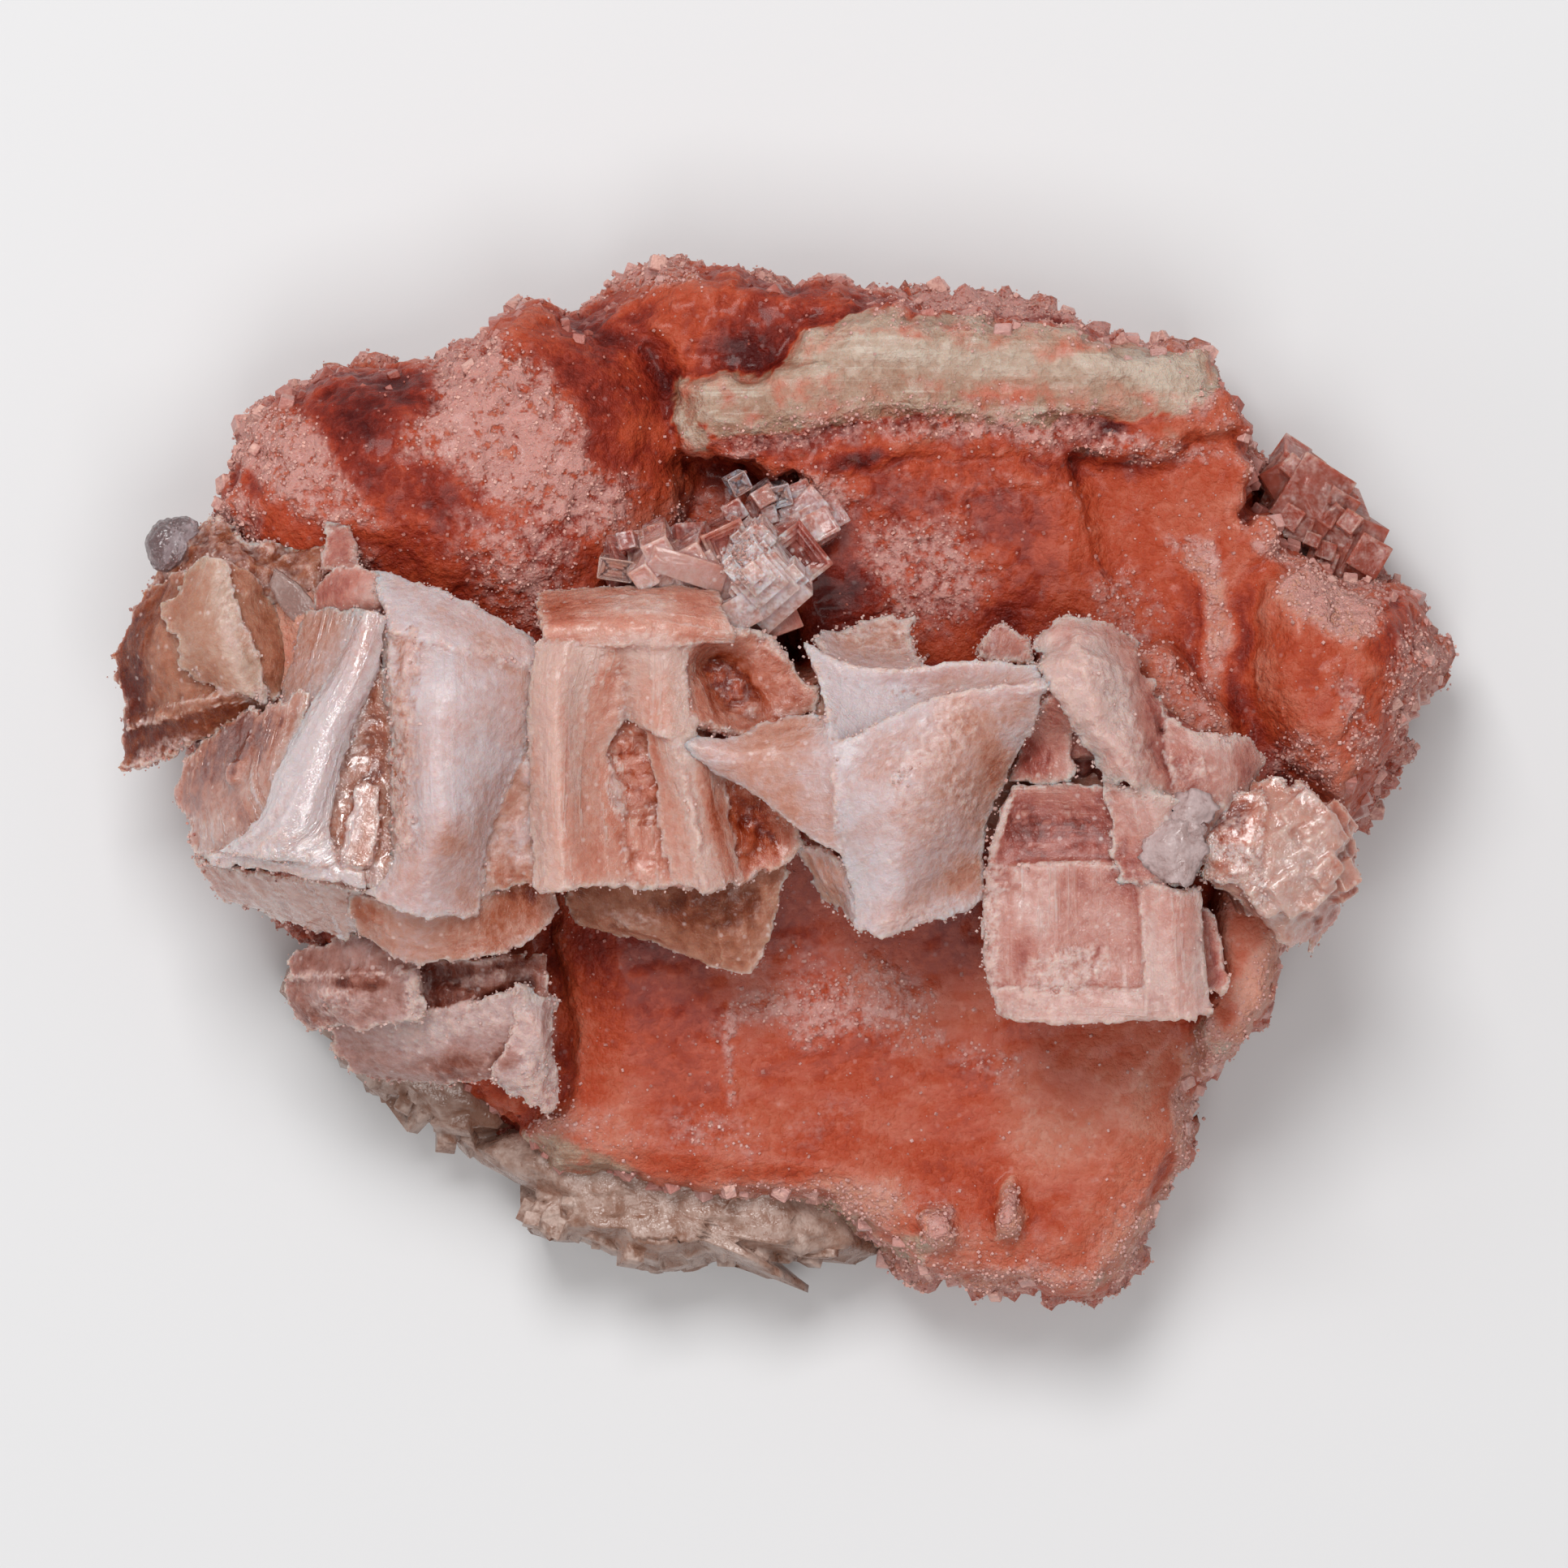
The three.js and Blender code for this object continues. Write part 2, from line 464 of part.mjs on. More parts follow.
const PEAK_HOPPER = [
  wall([
    [[22.9, 13.6, 37], [24.9, 14.7, 36], [28.5, 14.5, 36], [30.6, 13.3, 36]],
    [[23.2, 11, 41], [25.6, 11, 42], [29, 10.8, 41], [32.2, 10.4, 38]],
    [[24.2, 8, 43.5], [26.6, 7, 43], [30, 6.8, 42], [34, 7, 38]],
    [[26.4, 3.8, 41.5], [28.6, 3, 42], [31.5, 2.6, 41], [34.6, 2.5, 38]],
    [[28.8, 0.4, 40], [30.5, 0.2, 41], [33, 0, 40.5], [35.5, -0.8, 38]],
  ], CORE),
  wall([
    [[34, 5.2, 37], [37.5, 4.7, 37], [40, 4.3, 35.5], [42.2, 4.3, 33]],
    [[34.2, 2, 38.5], [37.5, 1.8, 38], [40.3, 1.8, 36], [43, 2.4, 32.5]],
    [[35.3, -1.5, 39], [38, -1.5, 38.5], [40.5, -0.8, 36], [42, 0.4, 33]],
  ], CORE),
  wall([
    [[24, 7.6, 42.5], [25, 7.4, 42.5], [26.3, 5.4, 41.8]],
    [[21.8, 3.6, 36.5], [23.6, 3.8, 38], [25.6, 3.6, 38.5]],
    [[20.8, 0.5, 36.5], [23.2, 0.5, 38], [25.6, 0.5, 38.5]],
  ]),
  wall([
    [[29, 0.4, 40], [32, -0.6, 40.5], [36, -1.5, 39.5], [40.2, -0.8, 36.5]],
    [[29.6, -4.6, 39], [31.8, -5, 39.5], [35, -5.5, 39.5], [38.4, -4.5, 37]],
    [[30.6, -8, 38.6], [32.6, -8.4, 39], [34.6, -8.5, 39.5], [36.8, -7.6, 38]],
  ], CORE),
  wall([
    [[17.3, 13.8, 32], [19.4, 14.2, 32], [21.8, 13, 33]],
    [[16.8, 11.6, 33], [19.4, 11.6, 33], [22.4, 11.4, 36]],
  ], CORE),
  root([[22.5, 13], [29, 13], [33, 7], [41, 3], [39, -4], [33, -6], [27, 0], [22, 2]],
    [30, 4], 34),
];

const BLOCK_HOPPER = [
  wall([
    [[20.8, -0.2, 38], [23.8, -0.2, 38.5], [27, -0.4, 39], [28.4, -0.5, 39.3]],
    [[18.9, -4, 37.5], [23.2, -3.5, 36.5], [27, -3.8, 37], [29, -4.5, 38.5]],
    [[18.2, -8.5, 38.5], [22.5, -7.5, 39], [26.8, -8, 39], [30.2, -8.6, 39]],
  ]),
  wall([
    [[18.1, -8.2, 38.5], [22.5, -7.2, 39], [27, -7.8, 39], [32.5, -8.9, 39.6], [37, -9.2, 39]],
    [[18, -12, 38.5], [22.5, -11.5, 39.3], [27, -11.5, 39], [32.8, -12, 40.2], [37.2, -12, 39]],
    [[18.2, -16.5, 38.5], [22.5, -15.5, 39.5], [28, -15.5, 39], [33, -15.5, 40.5], [37.3, -15, 39]],
    [[19.2, -20.6, 38.5], [23, -21.2, 40], [28, -21.2, 40], [33, -20.9, 40.5], [38.2, -20.6, 39]],
  ]),
  wall([
    [[19.6, -2, 27], [19.4, -8, 27], [19.6, -14, 28], [20.5, -18.5, 30]],
    [[19.8, -2, 38], [18.4, -8, 38.2], [18.2, -14, 38.2], [19, -19.8, 38.2]],
  ]),
  wall([
    [[37.2, -9.4, 38.6], [37.4, -14, 38.6], [38, -20, 38.6]],
    [[36.2, -9.4, 29], [36.4, -13, 29], [36.8, -17, 31]],
  ]),
  wall([
    [[20.5, -13, 30], [28, -12.5, 29], [36, -12.5, 30]],
    [[20.6, -17, 35], [28, -17.2, 35], [36.6, -17, 35]],
    [[19.8, -20, 38.6], [28, -20.4, 39], [37.4, -20, 38.8]],
  ]),
  wall([
    [[36.9, -11, 33], [38.6, -12, 33]],
    [[36.7, -14.5, 33], [39, -15, 33]],
    [[37.1, -17.6, 33.5], [38.6, -18.4, 33.5]],
  ], THIN_WALL),
  root([[20.8, -1], [28, -1], [34, -7], [36.2, -10], [36.4, -15.6], [28, -15.8], [20.8, -15.6]],
    [28, -9], 37.2),
];

const RIGHT_CLEAR_KNOB = [
  lump([2.6, 1.9, 1.6], [36.2, -2.2, 40.4]),
  lump([2.8, 3, 1.8], [34.6, -6.3, 40.8]),
];

const FAR_RIGHT_HOPPER = [
  wall([
    [[40.4, 0.2, 35], [43, 0.4, 36], [46.2, 0.4, 35], [48.4, -1.4, 32]],
    [[38.4, -4.5, 37], [42, -4, 38], [46.5, -3.6, 36], [50.4, -3.6, 30]],
    [[37.2, -8.2, 37], [42, -8, 38], [47, -7.8, 35], [51.3, -7.4, 28]],
    [[40.6, -10.8, 35.5], [43.5, -11.2, 36], [46.8, -11.5, 33], [49.8, -11.8, 28]],
    [[43.8, -13.6, 33], [44.8, -14.8, 32], [46, -15, 31], [47.8, -14.6, 28]],
  ], CORE),
  root([[40, 0], [45, 0], [49, -5], [48.5, -9], [44, -11], [40.5, -8]], [44.5, -5], 33),
];

const STEPPED_CUBES = [
  cube([6.6, 6.6, 8], [12, -8, 40], [-2.2, 18.2, 37.5]),
  cube([4.2, 4.2, 5], [20, 10, 38], [-3.4, 20.4, 38]),
  cube([7.6, 3.2, 8], [0, 0, -14], [-9, 19.8, 35]),
  cube([3.4, 2.2, 7], [0, 0, -8], [-14.6, 19.3, 33]),
  cube([4.4, 4.4, 8], [8, 6, 25], [-5.4, 22, 33]),
  root([[-15, 21], [-6, 23.5], [0, 23], [2.5, 18.5], [-1, 14], [-6, 16], [-14, 17.5]], [-5, 19], 32),
];

const CORNER_HOPPER = [
  wall([
    [[-43.6, -15.2, 22], [-39.5, -14.8, 27], [-36, -15.2, 29], [-32.9, -16, 30]],
    [[-45, -18, 20], [-40, -18, 26], [-36, -18, 28.5], [-32.6, -18.5, 29.5]],
    [[-42.6, -21.6, 20], [-39.5, -21.8, 25], [-36, -21.5, 27.5], [-32.4, -21, 28.5]],
  ], CORE),
  wall([
    [[-41.4, -21, 21], [-36, -20.4, 25], [-30, -19.9, 28], [-23.3, -18.3, 31]],
    [[-40.6, -24, 19], [-36, -23.2, 23], [-30, -22.8, 27], [-22.6, -21.6, 30]],
    [[-39.8, -25.8, 18], [-35, -25.4, 21.5], [-29.5, -25, 25], [-23.8, -24.4, 28]],
  ], CORE),
  wall([
    [[-23.9, -18.4, 30], [-21.6, -19, 30], [-20.2, -19.2, 28]],
    [[-24, -22.5, 30], [-21.8, -22.5, 30.5], [-20.9, -23, 28]],
    [[-26, -26.5, 28], [-22.5, -26.5, 29.5], [-20.4, -27, 28]],
    [[-24.2, -28.2, 26.5], [-22.2, -29.2, 27.5], [-20.9, -29, 27]],
  ]),
  root([[-43, -15], [-34, -15.5], [-33, -20], [-24, -19.5], [-22.5, -24], [-30, -25], [-38, -24],
    [-42, -20]], [-33, -21.5], 22),
];

const BACK_CRYSTALS = [
  cube([6.2, 7.4, 13], [-6, 5, -38], [47.2, 25.6, 12]),
  cube([5.2, 8, 12], [4, 8, -20], [51, 20.8, 11.5]),
  cube([3.4, 3.4, 10], [0, 6, 30], [44.9, 27.4, 11]),
];

const CLEAR_FRINGE = [
  mound({
    outline: [
      [-30, -32.6], [-27.5, -34.6], [-23.4, -37], [-22.9, -40.8], [-20.1, -41.5], [-16.4, -41.7],
      [-14.6, -43.8], [-11.5, -44.3], [-8.3, -43.9], [-6.6, -43.1], [-4.5, -43.8], [-0.9, -43.4],
      [1.8, -43.1], [3.9, -46.9], [5.9, -44.2], [9.1, -42.4], [6, -36], [-12, -33], [-24, -30],
    ],
    centre: [-11, -38],
    profile: [[0, 14], [0.6, 14], [0.85, 12], [1, 6], [0.96, 2.5], [0, 2.5]],
  }),
  mound({
    outline: [
      [-45.5, -19.1], [-43.4, -21.9], [-41.5, -22.4], [-40.1, -25.8], [-38.5, -25.8],
      [-37.7, -28.3], [-34.5, -28.7], [-32.4, -30.5], [-29, -33], [-24, -32], [-30, -22],
      [-38, -14], [-44.5, -15.8],
    ],
    centre: [-35.5, -23.5],
    profile: [[0, 14], [0.6, 14], [0.85, 12.5], [1, 7], [0.96, 3], [0, 3]],
  }),
];

// ---------------------------------------------------------------- the finished cluster

const PIECES = [
  ["halite_matrix", SLAB, COLOURS.salt],
  ["column_hopper", COLUMN_HOPPER, COLOURS.milky],
  ["blade_hopper", BLADE_HOPPER, COLOURS.milky],
  ["star_hopper", STAR_HOPPER, COLOURS.milky],
  ["peak_hopper", PEAK_HOPPER, COLOURS.milky],
  ["middle_hopper", MIDDLE_HOPPER, COLOURS.peach],
  ["left_hopper", LEFT_HOPPER, COLOURS.amber],
  ["block_hopper", BLOCK_HOPPER, COLOURS.milky],
  ["right_clear_knob", RIGHT_CLEAR_KNOB, COLOURS.clear],
  ["far_right_hopper", FAR_RIGHT_HOPPER, COLOURS.amber],
  ["under_hopper", UNDER_HOPPER, COLOURS.amber],
  ["corner_hopper", CORNER_HOPPER, COLOURS.milky],
  ["stepped_cubes", STEPPED_CUBES, COLOURS.frosted],
  ["left_clear_knob", LEFT_CLEAR_KNOB, COLOURS.clear],
  ["left_clear_blade", LEFT_CLEAR_BLADE, COLOURS.clear],
  ["pink_nub", PINK_NUB, COLOURS.peach],
  ["back_crystals", BACK_CRYSTALS, COLOURS.salt],
  ["clear_fringe", CLEAR_FRINGE, COLOURS.clear],
];

// Everything below z = 0, where the cluster is flat and rests.
function belowRest() {
  const geometry = new THREE.BoxGeometry(2 * REST_LIMIT, 2 * REST_LIMIT, REST_LIMIT);
  geometry.translate(0, 0, -REST_LIMIT / 2);
  return toSolid(geometry);
}

const cluster = new THREE.Group();
let occupied = belowRest();
for (const [name, makers, colour] of PIECES) {
  const solid = largestBody(union(makers.map((make) => make())).subtract(occupied));
  occupied = occupied.add(solid).add(union(makers.map((make) => make(GAP))));
  const material = new THREE.MeshStandardMaterial({ color: colour, roughness: SATIN, metalness: 0 });
  const mesh = new THREE.Mesh(toGeometry(solid), material);
  mesh.name = name;
  cluster.add(mesh);
}

export default cluster;
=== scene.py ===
"""The looks of a pink halite cluster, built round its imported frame.

The cluster lies on its flat back with its hopper crystals up. Sizes are in millimetres until a
mesh is written, and the X axis runs along the ridge of hopper crystals.
"""

import logging
import math
from collections.abc import Callable
from dataclasses import dataclass, fields
from enum import Enum
from functools import partial
from itertools import product

import bmesh
import bpy
import numpy as np
from mathutils import Euler, Matrix, Vector
from mathutils.kdtree import KDTree


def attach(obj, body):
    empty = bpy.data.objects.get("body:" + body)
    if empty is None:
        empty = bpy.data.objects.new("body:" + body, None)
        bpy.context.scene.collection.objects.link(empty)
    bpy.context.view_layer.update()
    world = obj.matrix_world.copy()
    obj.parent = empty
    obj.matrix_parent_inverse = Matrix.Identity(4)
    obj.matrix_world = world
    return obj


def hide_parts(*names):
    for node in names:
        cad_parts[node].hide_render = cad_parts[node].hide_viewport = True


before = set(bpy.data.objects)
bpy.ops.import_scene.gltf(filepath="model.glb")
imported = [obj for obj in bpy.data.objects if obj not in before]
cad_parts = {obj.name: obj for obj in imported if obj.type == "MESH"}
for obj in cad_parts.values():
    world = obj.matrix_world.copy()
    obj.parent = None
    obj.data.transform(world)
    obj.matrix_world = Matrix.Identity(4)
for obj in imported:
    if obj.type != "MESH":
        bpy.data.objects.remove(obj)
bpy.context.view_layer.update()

LOG = logging.getLogger("halite")
MM = 0.001  # metres in a millimetre
SEED = 20
BODY = "root"

SHEET_STEP = 0.42  # spacing of the points on a crystal wall
MASS_STEP = 0.6  # spacing of the points on a crystal's root
SLAB_STEP = 0.6  # spacing of the points on the slab before it is remeshed
SLAB_VOXEL = 0.56  # voxel of the slab's remesh
FUSING_VOXEL = 0.3  # voxel of the crystals' remesh
ROOT_SINK = 8.0  # height at which a crystal's root ends inside the slab
ROOT_WARMTH = 0.6
FAR_BELOW = -50.0  # height of what is not there
REST_BAND = 0.45  # slab points lower than this lie on the flat back
BAND_SHIFT = 17.3  # sets the growth bands of neighbouring forms apart
HALITE_IOR = 1.544

Rows = list[list[list[float]]]
Outline = list[list[float]]
Colour = tuple[float, float, float]
Triple = tuple[float, float, float]
Stops = tuple[tuple[float, Colour], ...]
Array = np.ndarray
Mesh = bpy.types.Mesh
Thing = bpy.types.Object
Node = bpy.types.Node
Socket = bpy.types.NodeSocket
Tree = bpy.types.NodeTree
Value = Socket | float | Colour


# ------------------------------------------------------------------ noise and curves


class Noise:
    """Smooth seeded noise in space, worked out for many points at once."""

    TABLE = 1024
    LIFT = 1.7  # brings gradient noise to about -1 to 1
    SUM_LIFT = 1.3  # does the same for a sum of layers
    LAYER_SHIFT = 31.7  # sets the layers of a sum apart
    STRAY = 0.35  # how far a block's heart strays from the middle of its cell

    def __init__(self, seed: int) -> None:
        """Shuffles the lattice.

        Args:
            seed: number that fixes the pattern.
        """
        dice = np.random.default_rng(seed)
        self._order = dice.permutation(self.TABLE)
        ways = dice.normal(size=(self.TABLE, 3))
        self._ways = ways / np.linalg.norm(ways, axis=1)[:, None]
        self._levels = dice.random(self.TABLE)

    def _index(self, cell: Array) -> Array:
        """Returns the table entry of each lattice cell."""
        index = self._order[cell[..., 0] % self.TABLE]
        index = self._order[(index + cell[..., 1]) % self.TABLE]
        return self._order[(index + cell[..., 2]) % self.TABLE]

    def smooth(self, points: Array, size: float | Triple) -> Array:
        """Gradient noise.

        Args:
            points: places, in an array whose last axis is x, y, z.
            size: feature size, the same in all directions or one for each.

        Returns:
            One value for each point, about -1 to 1.
        """
        place = points / np.asarray(size, float)
        cell = np.floor(place).astype(int)
        part = place - cell
        eased = part**3 * (part * (part * 6 - 15) + 10)
        total = np.zeros(points.shape[:-1])
        for corner in product((0, 1), repeat=3):
            offset = np.array(corner)
            pull = ((part - offset) * self._ways[self._index(cell + offset)]).sum(-1)
            total += pull * np.prod(np.where(offset, eased, 1 - eased), axis=-1)
        return total * self.LIFT

    def layered(self, points: Array, size: float | Triple, layers: int = 3, fade: float = 0.5) -> Array:
        """Sum of smooth noise at halving sizes.

        Args:
            points: places to work out.
            size: largest feature size.
            layers: how many sizes are summed.
            fade: strength of each size against the one before.

        Returns:
            One value for each point, about -1 to 1.
        """
        total = np.zeros(points.shape[:-1])
        reach = np.asarray(size, float)
        strength, whole = 1.0, 0.0
        for layer in range(layers):
            total += strength * self.smooth(points + self.LAYER_SHIFT * layer, reach / 2**layer)
            whole += strength
            strength *= fade
        return total / whole * self.SUM_LIFT

    def blocks(self, points: Array, size: float) -> Array:
        """Blocky steps, as cubic crystals grown into each other leave.

        Args:
            points: places to work out.
            size: edge of a block.

        Returns:
            Level of the block that each point is in, from -1 to 1.
        """
        place = points / size
        home = np.floor(place).astype(int)
        nearest = np.full(points.shape[:-1], np.inf)
        level = np.zeros(points.shape[:-1])
        for step in product((-1, 0, 1), repeat=3):
            cell = home + np.array(step)
            index = self._index(cell)
            heart = cell + 0.5 + self.STRAY * self._ways[index]
            gap = np.abs(place - heart).max(-1)
            closer = gap < nearest
            nearest = np.where(closer, gap, nearest)
            level = np.where(closer, self._levels[index] * 2 - 1, level)
        return level


NOISE = Noise(SEED)


def spline(samples: Array, count: int) -> Array:
    """Smooth curve through samples, along their first axis.

    Args:
        samples: points or rows of points.
        count: how many points the curve has.

    Returns:
        The curve's points, evenly spread over the samples.
    """
    before = 2 * samples[:1] - samples[1:2]
    after = 2 * samples[-1:] - samples[-2:-1]
    padded = np.concatenate([before, samples, after])
    place = np.linspace(0, len(samples) - 1, count)
    start = np.minimum(place.astype(int), len(samples) - 2)
    part = (place - start).reshape(-1, *[1] * (samples.ndim - 1))
    first, second, third, fourth = (padded[start + shift] for shift in range(4))
    bend = 2 * first - 5 * second + 4 * third - fourth
    twist = 3 * second - first - 3 * third + fourth
    return 0.5 * (2 * second + (third - first) * part + bend * part**2 + twist * part**3)


def lengths(points: Array, axis: int) -> Array:
    """Distance travelled along one axis of a grid of points, from its start."""
    steps = np.linalg.norm(np.diff(points, axis=axis), axis=-1)
    zero = np.zeros_like(np.take(steps, [0], axis=axis))
    return np.concatenate([zero, np.cumsum(steps, axis=axis)], axis=axis)


def unit(vectors: Array) -> Array:
    """Vectors of length one."""
    return vectors / np.maximum(np.linalg.norm(vectors, axis=-1, keepdims=True), 1e-9)


def ease(value: Array, low: float, high: float) -> Array:
    """Smooth rise from 0 at low to 1 at high."""
    part = np.clip((value - low) / (high - low), 0, 1)
    return part * part * (3 - 2 * part)


def outline_towards(outline: Outline, centre: tuple[float, float], turn: Array) -> Array:
    """Point of an outline in each direction from a centre.

    Args:
        outline: the outline's corners.
        centre: a point inside it.
        turn: directions, in radians.

    Returns:
        The points, measured from the centre.
    """
    corners = np.array(outline, float) - np.array(centre)
    angles = np.arctan2(corners[:, 1], corners[:, 0])
    order = np.argsort(angles)
    corners, angles = corners[order], angles[order]
    after = np.searchsorted(angles, turn) % len(angles)
    start, end = corners[after - 1], corners[after]
    side = end - start
    way = np.column_stack([np.cos(turn), np.sin(turn)])
    crossing = way[:, 0] * side[:, 1] - way[:, 1] * side[:, 0]
    far = (start[:, 0] * side[:, 1] - start[:, 1] * side[:, 0]) / crossing
    return way * far[:, None]


# ------------------------------------------------------------------ meshes


def write_points(mesh: Mesh, points: Array) -> None:
    """Moves a mesh's vertices to points given in millimetres."""
    mesh.vertices.foreach_set("co", (points * MM).astype(np.float32).ravel())
    mesh.update()


def read_points(mesh: Mesh) -> Array:
    """Returns a mesh's vertices in millimetres."""
    flat = np.empty(len(mesh.vertices) * 3, np.float32)
    mesh.vertices.foreach_get("co", flat)
    return flat.reshape(-1, 3).astype(float) / MM


def read_values(mesh: Mesh, name: str) -> Array:
    """Returns the number that each vertex keeps under a name."""
    values = np.empty(len(mesh.vertices), np.float32)
    mesh.attributes[name].data.foreach_get("value", values)
    return values


def read_normals(mesh: Mesh) -> Array:
    """Returns the normal at each vertex."""
    flat = np.empty(len(mesh.vertices) * 3, np.float32)
    mesh.vertex_normals.foreach_get("vector", flat)
    return flat.reshape(-1, 3).astype(float)


def standing(mesh: Mesh, rounds: int) -> Array:
    """How far each point stands out over its surroundings, less than 0 in a hollow.

    Args:
        mesh: the mesh to measure.
        rounds: how many edges away the surroundings reach.

    Returns:
        The distance of each point along its normal from its smoothed place, in millimetres.
    """
    points = read_points(mesh)
    ends = np.empty(len(mesh.edges) * 2, np.int32)
    mesh.edges.foreach_get("vertices", ends)
    pairs = np.concatenate([ends.reshape(-1, 2), ends.reshape(-1, 2)[:, ::-1]])
    neighbours = np.bincount(pairs[:, 0], minlength=len(points))
    smooth = points.copy()
    for _ in range(rounds):
        total = [np.bincount(pairs[:, 0], smooth[pairs[:, 1], axis], len(points)) for axis in range(3)]
        smooth = (smooth + np.column_stack(total) / neighbours[:, None]) / 2
    return ((points - smooth) * read_normals(mesh)).sum(axis=1)


def store(mesh: Mesh, name: str, values: Array) -> None:
    """Keeps a number, or three numbers, for every point of a mesh under a name."""
    kind, field_name = ("FLOAT", "value") if values.ndim == 1 else ("FLOAT_VECTOR", "vector")
    layer = mesh.attributes.new(name, kind, "POINT")
    layer.data.foreach_set(field_name, values.astype(np.float32).ravel())


@dataclass
class Skin:
    """What a surface's points know about themselves, for their finish.

    Growth is the place on the crystal face, across and along its growth bands. Warmth goes from
    the palest salt to the darkest, painted shade and painted highlight included, and frost from
    bare to covered.
    """

    growth: Array
    warmth: Array
    frost: Array

    def write(self, mesh: Mesh) -> None:
        """Stores the values on a mesh's points."""
        for name, values in vars(self).items():
            store(mesh, name, values)

    def picked(self, index: Array) -> "Skin":
        """Returns the values of some of the points."""
        return Skin(*(values[index] for values in vars(self).values()))

    @staticmethod
    def joined(skins: list["Skin"]) -> "Skin":
        """Returns the values of several skins, one after another."""
        return Skin(*map(np.concatenate, zip(*(vars(skin).values() for skin in skins))))


@dataclass
class Shell:
    """A closed mesh with the skin of its points."""

    mesh: Mesh
    points: Array
    skin: Skin

    @staticmethod
    def even(mesh: Mesh, points: Array, growth: Array, warmth: float, frost: float) -> "Shell":
        """Moves a mesh to its points and gives all of them the same salt.

        Args:
            mesh: the closed mesh.
            points: where its vertices go.
            growth: place of each point on the growth bands.
            warmth: how dark the salt is.
            frost: how much frost covers it.

        Returns:
            The shell.
        """
        write_points(mesh, points)
        level = np.ones(len(points))
        return Shell(mesh, points, Skin(growth, warmth * level, frost * level))


def banded(across: Array, along: Array, number: int) -> Array:
    """Places across and along the growth bands of the form with a number."""
    return np.column_stack([across, along, np.full(len(across), number * BAND_SHIFT)])


def finished_mesh(shape: bmesh.types.BMesh, name: str) -> Mesh:
    """Turns a bmesh into a mesh with its faces outwards, and frees it."""
    bmesh.ops.recalc_face_normals(shape, faces=shape.faces[:])
    mesh = bpy.data.meshes.new(name)
    shape.to_mesh(mesh)
    shape.free()
    return mesh


def thicken(shape: bmesh.types.BMesh) -> None:
    """Closes a flat sheet into a solid, with its copy one unit above it."""
    raised = bmesh.ops.extrude_face_region(shape, geom=shape.faces[:], use_keep_orig=True)
    top = [part for part in raised["geom"] if isinstance(part, bmesh.types.BMVert)]
    bmesh.ops.translate(shape, verts=top, vec=(0, 0, 1))


def flat_pad(columns: int, rows: int) -> tuple[Mesh, Array]:
    """Closed pad of two grids, one above the other.

    Args:
        columns: points across.
        rows: points down.

    Returns:
        The mesh, and the row, column and layer of each point: layer 1 is the front.
    """
    shape = bmesh.new()
    bmesh.ops.create_grid(shape, x_segments=columns - 1, y_segments=rows - 1, size=1)
    thicken(shape)
    mesh = finished_mesh(shape, "pad")
    flat = read_points(mesh) * MM
    column = np.rint((flat[:, 0] + 1) / 2 * (columns - 1))
    row = np.rint((1 - flat[:, 1]) / 2 * (rows - 1))
    return mesh, np.stack([row, column, np.rint(flat[:, 2])], axis=1).astype(int)


def grid_solid(low: Array, cells: Array, step: float,
               kept: Callable[[Array], Array]) -> tuple[Mesh, Array, Array]:
    """Closed flat solid over the kept cells of a grid.

    Args:
        low: the grid's lower left corner.
        cells: how many cells it has each way.
        step: size of a cell.
        kept: says of the middles of some cells which are kept.

    Returns:
        The mesh, its points seen from above, and which of them are on its upper side.
    """
    shape = bmesh.new()
    bmesh.ops.create_grid(shape, x_segments=int(cells[0]), y_segments=int(cells[1]), size=1)
    bmesh.ops.scale(shape, vec=(cells[0] * step / 2, cells[1] * step / 2, 1), verts=shape.verts)
    bmesh.ops.translate(shape, vec=(*(low + cells * step / 2), 0), verts=shape.verts)
    shape.faces.ensure_lookup_table()
    middles = np.array([face.calc_center_median()[:2] for face in shape.faces])
    spare = [face for face, keep in zip(shape.faces, kept(middles)) if not keep]
    bmesh.ops.delete(shape, geom=spare, context="FACES")
    thicken(shape)
    mesh = finished_mesh(shape, "solid")
    points = read_points(mesh) * MM
    return mesh, points[:, :2], points[:, 2] > 0.5


def new_object(mesh: Mesh, name: str) -> Thing:
    """Puts a mesh in the scene at the origin."""
    thing = bpy.data.objects.new(name, mesh)
    bpy.context.scene.collection.objects.link(thing)
    return thing


def apply_modifiers(thing: Thing) -> None:
    """Makes what an object's modifiers show its own mesh."""
    graph = bpy.context.evaluated_depsgraph_get()
    graph.update()
    baked = bpy.data.meshes.new_from_object(thing.evaluated_get(graph))
    spent = thing.data
    thing.modifiers.clear()
    thing.data = baked
    bpy.data.meshes.remove(spent)


def remesh(thing: Thing, voxel: float, smoothing: int = 0) -> None:
    """Rebuilds an object's mesh in even voxels of a size in millimetres, and smooths it."""
    even = thing.modifiers.new("even", "REMESH")
    even.mode = "VOXEL"
    even.voxel_size = voxel * MM
    if smoothing:
        soften = thing.modifiers.new("soften", "SMOOTH")
        soften.iterations = smoothing
    apply_modifiers(thing)


def united(shells: list[Shell], name: str) -> Thing:
    """Joins closed shells in one solid with crisp edges."""
    whole = new_object(shells[0].mesh, name)
    for number, shell in enumerate(shells[1:]):
        part = new_object(shell.mesh, f"{name}_part_{number}")
        join = whole.modifiers.new("join", "BOOLEAN")
        join.operation = "UNION"
        join.solver = "MANIFOLD"
        join.object = part
        apply_modifiers(whole)
        bpy.data.objects.remove(part)
        bpy.data.meshes.remove(shell.mesh)
    return whole


